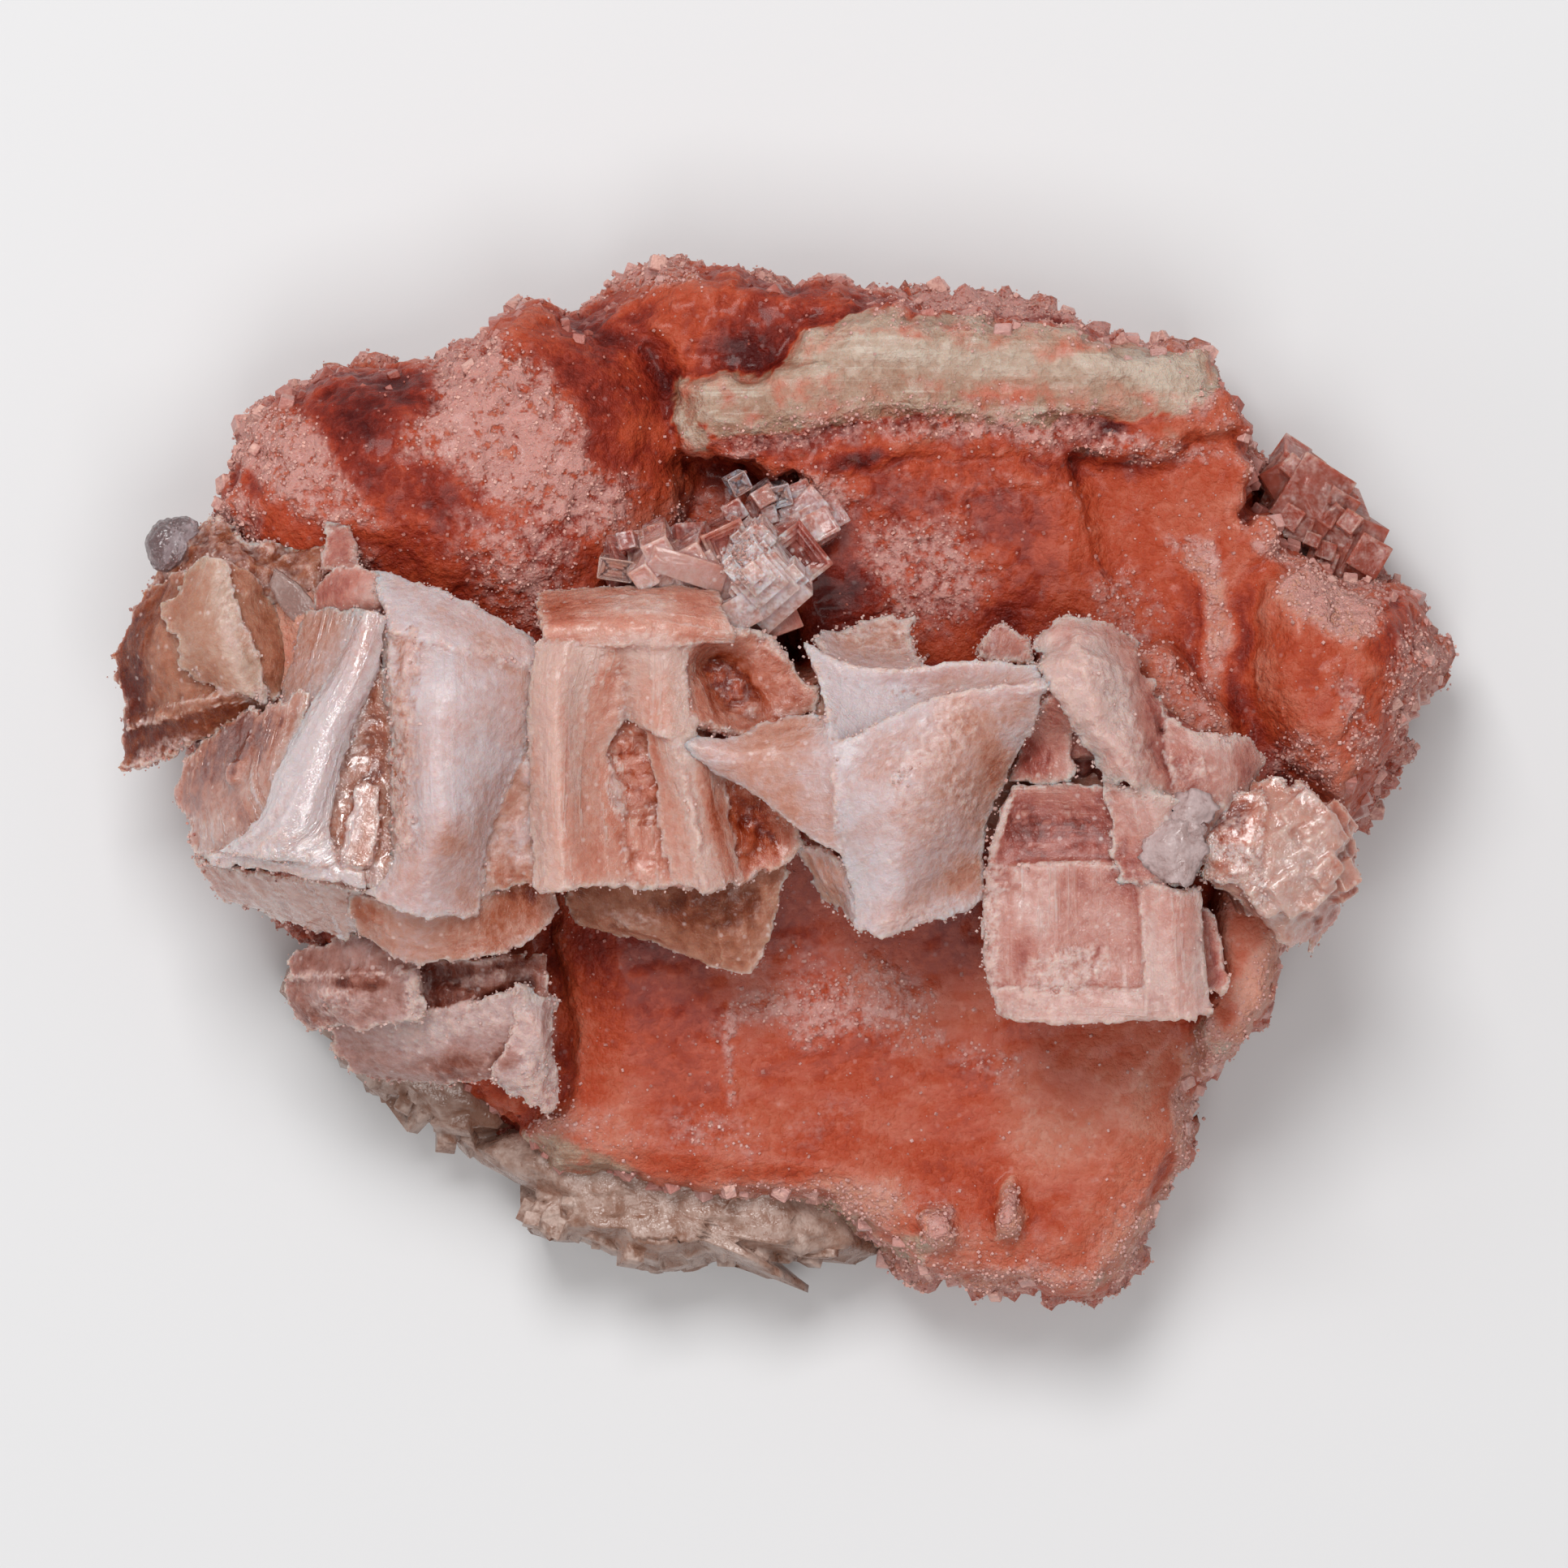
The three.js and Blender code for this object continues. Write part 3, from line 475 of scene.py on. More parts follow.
def fused(shells: list[Shell], name: str) -> Thing:
    """Joins closed shells in one solid that has grown together where they touch."""
    shape = bmesh.new()
    for shell in shells:
        shape.from_mesh(shell.mesh)
        bpy.data.meshes.remove(shell.mesh)
    mesh = bpy.data.meshes.new(name)
    shape.to_mesh(mesh)
    shape.free()
    whole = new_object(mesh, name)
    remesh(whole, FUSING_VOXEL, smoothing=1)
    return whole


def dress(piece: Thing, finish: "Finish", node: str = "") -> None:
    """Gives a piece its finish and its place in the frame.

    Args:
        piece: the finished object.
        finish: the look of its salt.
        node: the node it replaces, if it stands in for one.
    """
    piece.data.materials.clear()
    piece.data.materials.append(finish.material())
    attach(piece, BODY)
    if node:
        piece.data.shade_smooth()
        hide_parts(node)


def nearest_skin(shells: list[Shell], points: Array) -> Skin:
    """Skin of some points, each taken from the nearest point of the shells."""
    found = np.concatenate([shell.points for shell in shells])
    tree = KDTree(len(found))
    for index, point in enumerate(found):
        tree.insert(point, index)
    tree.balance()
    nearest = np.array([tree.find(point)[1] for point in points])
    return Skin.joined([shell.skin for shell in shells]).picked(nearest)


# ------------------------------------------------------------------ the forms of a crystal


class Streaks(Enum):
    """Which way the fine growth bands of a crystal face run."""

    DOWN = "down"
    ACROSS = "across"


@dataclass(frozen=True)
class Patch:
    """A soft-edged area, seen from above, where the salt changes.

    Warmth and frost are added where the patch lies.
    """

    x: float
    y: float
    reach: tuple[float, float]
    turn: float = 0.0
    warmth: float = 0.0
    frost: float = 0.0

    def share(self, points: Array) -> Array:
        """How much of the patch each point has, from 0 to 1."""
        angle = math.radians(self.turn)
        east = points[:, 0] - self.x
        north = points[:, 1] - self.y
        major = (east * math.cos(angle) + north * math.sin(angle)) / self.reach[0]
        minor = (north * math.cos(angle) - east * math.sin(angle)) / self.reach[1]
        return 1 - ease(np.hypot(major, minor), 0.45, 1.25)


class Form:
    """A closed shape that a crystal is partly made of."""

    def shell(self, number: int) -> Shell:
        """Builds the shape. The number sets its growth bands apart from its neighbours'."""
        raise NotImplementedError


@dataclass(frozen=True)
class Wall(Form):
    """A curved crystal wall through rows of points.

    The rows run from the top edge to the bottom edge, each from left to right, on the outer
    face. Warmth is given at the top left, top right, bottom left and bottom right corners, and
    raggedness, in millimetres, at the top, right, bottom and left edges.
    """

    rows: Rows
    thickness: float = 1.8
    warmth: tuple[float, float, float, float] = (0.4, 0.4, 0.4, 0.4)
    streaks: Streaks = Streaks.DOWN
    depth: float = 0.14  # of its growth bands
    ragged: tuple[float, float, float, float] = (0.3, 0.4, 0.5, 0.4)
    frost: float = 0.0
    crumple: float = 0.0
    creases: float = 0.0  # how sharply it is crinkled
    rim: float = 0.7  # the edge's thickness

    RIM_BAND = (0.3, 3.5)  # distances from the edge between which the rim thickens
    TOOTH, CHIP = 2.6, 1.1  # sizes of the teeth and the blocky chips at an edge
    TOOTH_REACH = 1.6  # how far in from the edge the teeth fade
    BAND_SIZE = (1.9, 26.0, 1.0)  # growth bands: narrow across, long along
    SWELL_SIZE, SWELL = 7.0, 0.3  # broad swelling of the face
    RIM_PALENESS, RIM_REACH = 0.16, 0.9  # painted glow of light through the thin edge: how much paler the salt is there, and how far in
    RIM_FROST, FROST_REACH = 0.5, 0.5
    GRAIN_SIZE, CRUMPLE_SIZES, FOLD_SIZES = 1.3, (3.0, 1.4), (3.4, 1.7)

    def shell(self, number: int) -> Shell:
        """Builds the wall."""
        control = np.array(self.rows, float)
        width = lengths(control, 1)[:, -1].max()
        height = lengths(control, 0)[-1].max()
        columns = max(8, round(width / SHEET_STEP) + 1)
        rows = max(8, round(height / SHEET_STEP) + 1)
        face = spline(spline(control, rows).swapaxes(0, 1), columns).swapaxes(0, 1)
        right = unit(np.gradient(face, axis=1))
        up = unit(-np.gradient(face, axis=0))
        outward = unit(np.cross(right, up))
        across = lengths(face, 1)
        along = lengths(face, 0)
        edges = np.stack([along, across[:, -1:] - across, along[-1:] - along, across])
        shift = number * BAND_SHIFT
        teeth = self._teeth(face, edges, right, up, shift)
        growth = self._growth(across, along, shift)
        relief = self._relief(face, growth)
        near = edges.min(axis=0)
        depth = self.rim + (self.thickness - self.rim) * ease(near, *self.RIM_BAND)
        front = face + teeth + outward * relief[..., None]
        back = face + teeth - outward * (depth + 0.3 * relief)[..., None]
        mesh, place = flat_pad(columns, rows)
        row, column, layer = place.T
        points = np.where(layer[:, None] == 1, front[row, column], back[row, column])
        write_points(mesh, points)
        warmth = self._warmth(rows, columns, near)[row, column]
        frost = (self.frost + self.RIM_FROST * np.exp(-near / self.FROST_REACH))[row, column]
        return Shell(mesh, points, Skin(growth[row, column], warmth, frost))

    def _teeth(self, face: Array, edges: Array, right: Array, up: Array, shift: float) -> Array:
        """Ragged shift of the points near each edge, within the face."""
        ways = (up, right, -up, -right)
        coarse = NOISE.layered(face + shift, self.TOOTH, layers=3, fade=0.7)
        coarse = coarse + 0.8 * NOISE.blocks(face + shift, self.CHIP)
        total = np.zeros_like(face)
        for amount, edge, way in zip(self.ragged, edges, ways):
            total += way * (amount * coarse * np.exp(-edge / self.TOOTH_REACH))[..., None]
        return total

    def _growth(self, across: Array, along: Array, shift: float) -> Array:
        """Place of each point across and along the growth bands."""
        pair = (across, along) if self.streaks is Streaks.DOWN else (along, across)
        return np.stack([*pair, np.full_like(across, shift)], axis=-1)

    def _relief(self, face: Array, growth: Array) -> Array:
        """Height of the growth bands, grain and crumples above the smooth face."""
        bands = NOISE.layered(growth, self.BAND_SIZE, layers=3, fade=0.7)
        swell = NOISE.smooth(face, self.SWELL_SIZE) * self.SWELL
        grain = NOISE.layered(face, self.GRAIN_SIZE, layers=2) * (0.05 + 0.3 * self.frost)
        large, small = (NOISE.blocks(face, size) for size in self.CRUMPLE_SIZES)
        crumples = (large + 0.5 * small) * self.crumple
        broad, narrow = self.FOLD_SIZES
        folds = np.abs(NOISE.smooth(face, broad)) + 0.5 * np.abs(NOISE.smooth(face + 40, narrow))
        return self.depth * bands + swell + grain + crumples - self.creases * folds

    def _warmth(self, rows: int, columns: int, near: Array) -> Array:
        """Warmth of each point, blended from the corners, and paler at the rim as painted glow of light
        through the thin edge.
        """
        down = np.linspace(0, 1, rows)[:, None]
        side = np.linspace(0, 1, columns)[None, :]
        top_left, top_right, bottom_left, bottom_right = self.warmth
        top = top_left * (1 - side) + top_right * side
        bottom = bottom_left * (1 - side) + bottom_right * side
        # painted glow: paler salt near the thin edge, where light would shine through
        rim = self.RIM_PALENESS * np.exp(-near / self.RIM_REACH)
        return top * (1 - down) + bottom * down - rim


@dataclass(frozen=True)
class Mass(Form):
    """A rounded mass with an irregular outline.

    The profile runs from the crown to the underside as pairs of outline scale and height.
    """

    outline: Outline
    centre: tuple[float, float]
    profile: list[list[float]]
    warmth: float = 0.8
    frost: float = 0.1

    LUMP_SIZE, LUMPS = 4.5, 0.5  # size of its lumps across, and their height
    STEP_SIZE, STEPS = 2.3, 0.6

    def shell(self, number: int) -> Shell:
        """Builds the mass."""
        centre = np.array(self.centre, float)
        loop = np.array(self.outline + self.outline[:1], float) - centre
        reach = lengths(loop, 0)[-1]
        segments = max(24, round(reach / MASS_STEP))
        profile = np.array(self.profile, float)
        scale_steps = np.abs(np.diff(profile[:, 0])) * reach / (2 * math.pi)
        travelled = np.concatenate([[0], np.cumsum(np.hypot(scale_steps, np.diff(profile[:, 1])))])
        rings = max(12, round(travelled[-1] / MASS_STEP))
        shape = bmesh.new()
        bmesh.ops.create_uvsphere(shape, u_segments=segments, v_segments=rings, radius=1)
        mesh = finished_mesh(shape, "mass")
        ball = read_points(mesh) * MM
        turn = np.arctan2(ball[:, 1], ball[:, 0])
        down = np.arccos(np.clip(ball[:, 2], -1, 1)) / math.pi * travelled[-1]
        scale = np.interp(down, travelled, profile[:, 0])
        height = np.interp(down, travelled, profile[:, 1])
        edge = outline_towards(self.outline, self.centre, turn)
        flat = centre + edge * scale[:, None]
        points = np.column_stack([flat, height])
        outward = unit(np.column_stack([edge, np.zeros(len(edge))])) * scale[:, None]
        outward[:, 2] += 1 - scale
        lumps = NOISE.layered(points, self.LUMP_SIZE, layers=4, fade=0.6) * self.LUMPS
        steps = NOISE.blocks(points, self.STEP_SIZE) * self.STEPS
        points = points + outward * (lumps + steps)[:, None]
        return Shell.even(mesh, points, banded(points[:, 2], turn * 4, number), self.warmth, self.frost)


def root(outline: Outline, centre: tuple[float, float], top: float) -> Mass:
    """The mass that ties a crystal's walls to the slab under them.

    Args:
        outline: its outline seen from above.
        centre: a point well inside the outline.
        top: height of its crown.

    Returns:
        A stepped mass that narrows towards its crown and ends inside the slab.
    """
    profile = [[0, top], [0.7, top], [0.92, top - 1.5], [1, top - 5], [1, ROOT_SINK], [0, ROOT_SINK]]
    return Mass(outline, centre, profile, warmth=ROOT_WARMTH)


@dataclass(frozen=True)
class Cube(Form):
    """A cubic crystal with stepped faces, turned in degrees about X, Y and Z."""

    size: Triple
    turn: Triple
    place: Triple
    warmth: float = 0.2
    frost: float = 0.3
    steps: int = 3
    sink: float = 0.3  # depth of each growth step

    BEVEL = 0.06
    GRAIN_SIZE, GRAIN = 1.6, 0.12

    def shell(self, number: int) -> Shell:
        """Builds the cube, its faces sunk in steps as a hopper's are."""
        shape = bmesh.new()
        bmesh.ops.create_cube(shape, size=1)
        bmesh.ops.scale(shape, vec=self.size, verts=shape.verts)
        step = min(self.size) / (2 * self.steps + 3)
        faces = shape.faces[:]
        for _ in range(self.steps):
            bmesh.ops.inset_individual(shape, faces=faces, thickness=step, depth=0)
            bmesh.ops.inset_individual(shape, faces=faces, thickness=step * 0.12, depth=-self.sink)
        bmesh.ops.bevel(shape, geom=shape.edges[:], offset=self.BEVEL, offset_type="OFFSET",
                        segments=1, profile=0.5, affect="EDGES", material=-1, clamp_overlap=True)
        angles = Euler([math.radians(angle) for angle in self.turn]).to_matrix()
        bmesh.ops.transform(shape, matrix=Matrix.LocRotScale(self.place, angles, None), verts=shape.verts)
        mesh = finished_mesh(shape, "cube")
        points = read_points(mesh) * MM
        points = points + self.GRAIN * NOISE.layered(points, self.GRAIN_SIZE)[:, None]
        return Shell.even(mesh, points, banded(points[:, 0], points[:, 1], number), self.warmth, self.frost)


@dataclass(frozen=True)
class Swarm:
    """Many small cubes grown into each other over an oval area.

    Sizes and heights are drawn between two ends, and each cube is turned from the common turn
    by up to the spread, in degrees.
    """

    count: int
    place: tuple[float, float]
    reach: tuple[float, float]
    angle: float
    heights: tuple[float, float]
    sizes: tuple[float, float]
    turn: Triple
    spread: float
    warmth: float = 0.2
    frost: float = 0.3
    steps: int = 1

    TALLNESS = 2.2  # height of a cube against its width
    SINK = 0.08  # depth of a cube's growth steps

    def forms(self) -> list[Cube]:
        """The cubes of the swarm."""
        dice = np.random.default_rng(SEED + self.count)
        slant = math.radians(self.angle)
        cubes = []
        for _ in range(self.count):
            way, far = dice.uniform(0, 2 * math.pi), math.sqrt(dice.random())
            east, north = math.cos(way) * far * self.reach[0], math.sin(way) * far * self.reach[1]
            x = self.place[0] + east * math.cos(slant) - north * math.sin(slant)
            y = self.place[1] + east * math.sin(slant) + north * math.cos(slant)
            top = dice.uniform(*self.heights)
            size = dice.uniform(*self.sizes)
            turn = tuple(angle + dice.uniform(-1, 1) * self.spread for angle in self.turn)
            warmth = self.warmth + dice.uniform(-0.12, 0.12)
            tall = size * self.TALLNESS
            cubes.append(Cube((size, size * dice.uniform(0.8, 1.25), tall), turn, (x, y, top - tall / 2),
                              warmth=warmth, frost=self.frost, steps=self.steps, sink=self.SINK))
        return cubes


@dataclass(frozen=True)
class Lump(Form):
    """A rounded glassy lump with broad flats."""

    radii: Triple
    place: Triple
    warmth: float = 0.2
    frost: float = 0.0

    def shell(self, number: int) -> Shell:
        """Builds the lump."""
        shape = bmesh.new()
        bmesh.ops.create_icosphere(shape, subdivisions=5, radius=1)
        mesh = finished_mesh(shape, "lump")
        ball = read_points(mesh) * MM
        flats = 1 + 0.1 * NOISE.smooth(ball * 2.5 + number, 1.0) + 0.035 * NOISE.blocks(ball * 3, 1.6)
        points = np.array(self.place) + ball * flats[:, None] * np.array(self.radii)
        return Shell.even(mesh, points, banded(points[:, 0], points[:, 1], number), self.warmth, self.frost)


def spread(grid: Array, reach: int, pick: np.ufunc) -> Array:
    """Largest or smallest value, as picked, within some cells of each cell of a grid."""
    for axis in (0, 1):
        grid = pick.reduce([np.roll(grid, shift, axis) for shift in range(-reach, reach + 1)])
    return grid


@dataclass(frozen=True)
class Infill:
    """Salt that fills the cracks between a crystal's walls, a little below their faces."""

    warmth: float = 0.5
    crack: int = 3  # cells that a crack may reach to each side
    margin: int = 3  # cells kept clear of the crystal's outer edge
    drop: float = 0.9  # how far it stays below the faces

    BORDER = 4  # width of the empty band round the walls
    DEPTH = 6.5
    CELL = 0.5
    VOXEL = 0.45
    FROST = 0.18

    def shell(self, walls: Array) -> Shell:
        """Builds the infill under the given points of the walls."""
        low = walls[:, :2].min(axis=0) - self.BORDER
        cells = np.ceil((walls[:, :2].max(axis=0) + self.BORDER - low) / self.CELL).astype(int)
        tops = np.full(cells, FAR_BELOW)
        index = ((walls[:, :2] - low) / self.CELL).astype(int)
        np.maximum.at(tops, (index[:, 0], index[:, 1]), walls[:, 2])
        tops = spread(spread(tops, self.crack, np.maximum), self.crack + self.margin, np.minimum)
        inside = tops > 0
        ways = list(product((-1, 0, 1), repeat=2))
        for _ in range(2):
            total = sum(np.roll(np.where(inside, tops, 0), way, (0, 1)) for way in ways)
            share = sum(np.roll(inside, way, (0, 1)).astype(int) for way in ways)
            tops = np.where(inside, total / np.maximum(share, 1), FAR_BELOW)
        mesh, flat, upper = grid_solid(
            low, cells, self.CELL,
            lambda middles: inside[tuple(((middles - low) / self.CELL).astype(int).T)])
        corner = np.rint((flat - low) / self.CELL).astype(int)
        beside = [tops[tuple((corner - way).T)] for way in product((0, 1), repeat=2)]
        height = np.max(beside, axis=0) - self.drop - np.where(upper, 0, self.DEPTH)
        write_points(mesh, np.column_stack([flat, height]))
        block = new_object(mesh, "infill")
        remesh(block, self.VOXEL)
        mesh = block.data
        bpy.data.objects.remove(block)
        points = read_points(mesh)
        rough = 0.3 * NOISE.layered(points, 2.4, layers=3) + 0.25 * NOISE.blocks(points, 1.7)
        points = points + read_normals(mesh) * rough[:, None]
        return Shell.even(mesh, points, points[:, [0, 2, 1]], self.warmth, self.FROST)


# ------------------------------------------------------------------ finishes


class Wiring:
    """Makes and links the nodes of one tree."""

    def __init__(self, tree: Tree) -> None:
        """Keeps the tree.

        Args:
            tree: the node tree to work in.
        """
        self.tree = tree

    def node(self, kind: str, **settings: object) -> Node:
        """Adds a node and sets its properties."""
        made = self.tree.nodes.new(kind)
        for name, value in settings.items():
            setattr(made, name, value)
        return made

    def feed(self, socket: Socket, value: Value) -> None:
        """Links a socket to another, or gives it a plain value."""
        if isinstance(value, Socket):
            self.tree.links.new(value, socket)
        elif isinstance(value, tuple) and len(socket.default_value) == 4:
            socket.default_value = (*value, 1.0)
        else:
            socket.default_value = value

    def math(self, operation: str, *values: Value) -> Socket:
        """Result of an operation on two or three values."""
        made = self.node("ShaderNodeMath", operation=operation)
        for socket, value in zip(made.inputs, values):
            self.feed(socket, value)
        return made.outputs[0]

    def times(self, first: Value, second: Value) -> Socket:
        """Product of two values."""
        return self.math("MULTIPLY", first, second)

    def centred(self, value: Value) -> Socket:
        """A value from 0 to 1 moved to the same distance about 0."""
        return self.math("SUBTRACT", value, 0.5)

    def rise(self, value: Value, low: float, high: float) -> Socket:
        """Smooth rise from 0 at low to 1 at high."""
        made = self.node("ShaderNodeMapRange", interpolation_type="SMOOTHSTEP")
        self.feed(made.inputs["Value"], value)
        made.inputs["From Min"].default_value = low
        made.inputs["From Max"].default_value = high
        return made.outputs["Result"]

    def blend(self, share: Value, first: Value, second: Value) -> Socket:
        """Colour between two colours."""
        made = self.node("ShaderNodeMix", data_type="RGBA")
        self.feed(made.inputs[0], share)
        self.feed(made.inputs[6], first)
        self.feed(made.inputs[7], second)
        return made.outputs[2]

    def noise(self, place: Value, scale: Value, detail: float = 3.0,
              rough: float = 0.55) -> Socket:
        """Noise value, about 0.3 to 0.7."""
        made = self.node("ShaderNodeTexNoise")
        self.feed(made.inputs["Vector"], place)
        self.feed(made.inputs["Scale"], scale)
        made.inputs["Detail"].default_value = detail
        made.inputs["Roughness"].default_value = rough
        return made.outputs["Fac"]

    def stretched(self, place: Value, scale: Triple) -> Socket:
        """Place scaled by a different amount along each axis."""
        made = self.node("ShaderNodeMapping")
        self.feed(made.inputs["Vector"], place)
        made.inputs["Scale"].default_value = scale
        return made.outputs["Vector"]

    def bump(self, height: Value, millimetres: float, strength: float) -> Socket:
        """Surface direction over a relief of some depth."""
        made = self.node("ShaderNodeBump")
        made.inputs["Distance"].default_value = millimetres * MM
        made.inputs["Strength"].default_value = strength
        self.feed(made.inputs["Height"], height)
        return made.outputs[0]

    def ramp(self, value: Value, stops: Stops) -> Socket:
        """Colour looked up from stops of place and colour."""
        made = self.node("ShaderNodeValToRGB")
        band = made.color_ramp
        while len(band.elements) < len(stops):
            band.elements.new(0.5)
        for element, (place, colour) in zip(band.elements, stops):
            element.position = place
            element.color = (*colour, 1.0)
        self.feed(made.inputs["Fac"], value)
        return made.outputs["Color"]

    def attribute(self, name: str, output: str = "Fac") -> Socket:
        """A value stored on the mesh."""
        return self.node("ShaderNodeAttribute", attribute_name=name).outputs[output]

    def group(self, tree: Tree, **inputs: Value) -> Node:
        """Places a node group and feeds its inputs by name."""
        made = self.node("ShaderNodeGroup", node_tree=tree)
        for name, value in inputs.items():
            self.feed(made.inputs[name.capitalize()], value)
        return made


class Effects:
    """The node groups that the finishes share, each built once."""

    def __init__(self) -> None:
        """Builds the groups."""
        self.streaks = self._streaks()
        self.grain = self._grain()
        self.frost = self._frost()

    @staticmethod
    def _start(name: str, takes: dict[str, str], gives: tuple[str, ...]) -> tuple[Wiring, Node, Node]:
        """Opens a group.

        Args:
            name: the group's name.
            takes: input names and the last part of their socket types.
            gives: names of its value outputs.

        Returns:
            The group's wiring, its input node and its output node.
        """
        tree = bpy.data.node_groups.new(name, "ShaderNodeTree")
        for title, kind in takes.items():
            tree.interface.new_socket(title, in_out="INPUT", socket_type=f"NodeSocket{kind}")
        for title in gives:
            tree.interface.new_socket(title, in_out="OUTPUT", socket_type="NodeSocketFloat")
        wiring = Wiring(tree)
        return wiring, wiring.node("NodeGroupInput"), wiring.node("NodeGroupOutput")

    def _streaks(self) -> Tree:
        """Growth bands that run along a crystal face, broad and fine, fading in and out."""
        wiring, given, result = self._start("growth_streaks", {"Growth": "Vector"}, ("Broad", "Fine"))
        growth = given.outputs[0]
        broad = wiring.noise(wiring.stretched(growth, (0.42, 0.04, 1.0)), 1.0, 3.0, 0.5)
        fine = wiring.noise(wiring.stretched(growth, (2.0, 0.07, 1.0)), 1.0, 2.0, 0.5)
        shown = wiring.math("ADD", wiring.rise(wiring.noise(growth, 0.16, 2.0), 0.38, 0.62), 0.2)
        faded = wiring.times(wiring.centred(wiring.rise(broad, 0.3, 0.7)), shown)
        wiring.feed(result.inputs["Broad"], wiring.math("ADD", faded, 0.5))
        wiring.feed(result.inputs["Fine"], wiring.times(wiring.rise(fine, 0.5, 0.74), shown))
        return wiring.tree

    def _grain(self) -> Tree:
        """Sugary grain and sparse bright specks, which stand for tiny white salt crystals and painted
        glints.
        """
        wiring, given, result = self._start(
            "salt_grain", {"Place": "Vector", "Scale": "Float"}, ("Grain", "Speck"))
        place, scale = given.outputs[0], given.outputs[1]
        cells = wiring.node("ShaderNodeTexVoronoi")
        wiring.feed(cells.inputs["Vector"], place)
        wiring.feed(cells.inputs["Scale"], wiring.times(scale, 0.8))
        dot = wiring.math("SUBTRACT", 1.0, wiring.rise(cells.outputs["Distance"], 0.1, 0.3))
        chosen = wiring.rise(cells.outputs["Color"], 0.62, 0.75)
        grain = wiring.noise(place, scale, 3.0, 0.65)
        wiring.feed(result.inputs["Grain"], wiring.rise(grain, 0.28, 0.72))
        wiring.feed(result.inputs["Speck"], wiring.times(dot, chosen))
        return wiring.tree

    def _frost(self) -> Tree:
        """Patchy cover of fine white salt over an amount given from 0 to 1."""
        wiring, given, result = self._start(
            "frost_cover", {"Amount": "Float", "Place": "Vector"}, ("Cover",))
        amount, place = given.outputs[0], given.outputs[1]
        cloud = wiring.centred(wiring.noise(place, 300.0, 4.0, 0.7))
        sugar = wiring.centred(wiring.noise(place, 1100.0, 2.0, 0.7))
        patchy = wiring.math("ADD", wiring.times(cloud, 3.2), wiring.times(sugar, 4.4))
        patchy = wiring.times(amount, wiring.math("ADD", patchy, 1.0))
        wiring.feed(result.inputs["Cover"], wiring.rise(patchy, 0.08, 0.96))
        return wiring.tree


EFFECTS = Effects()


@dataclass(frozen=True)
class Finish:
    """The look of one kind of salt."""

    name: str

    def material(self) -> bpy.types.Material:
        """Builds the material, or returns the one already built."""
        name = f"{self.name}_look"
        if name not in bpy.data.materials:
            made = bpy.data.materials.new(name)
            made.use_nodes = True
            wiring = Wiring(made.node_tree)
            place = wiring.node("ShaderNodeTexCoord").outputs["Object"]
            cover = wiring.group(EFFECTS.frost, amount=wiring.attribute("frost"), place=place).outputs[0]
            shader = made.node_tree.nodes["Principled BSDF"]
            shader.inputs["IOR"].default_value = HALITE_IOR
            self.wire(wiring, shader, place, cover)
        return bpy.data.materials[name]

    def wire(self, wiring: Wiring, shader: Node, place: Socket, cover: Socket) -> None:
        """Feeds the shader.

        Args:
            wiring: the material's wiring.
            shader: its shader.
            place: the place on the object.
            cover: how much frost covers the salt there.
        """
        raise NotImplementedError


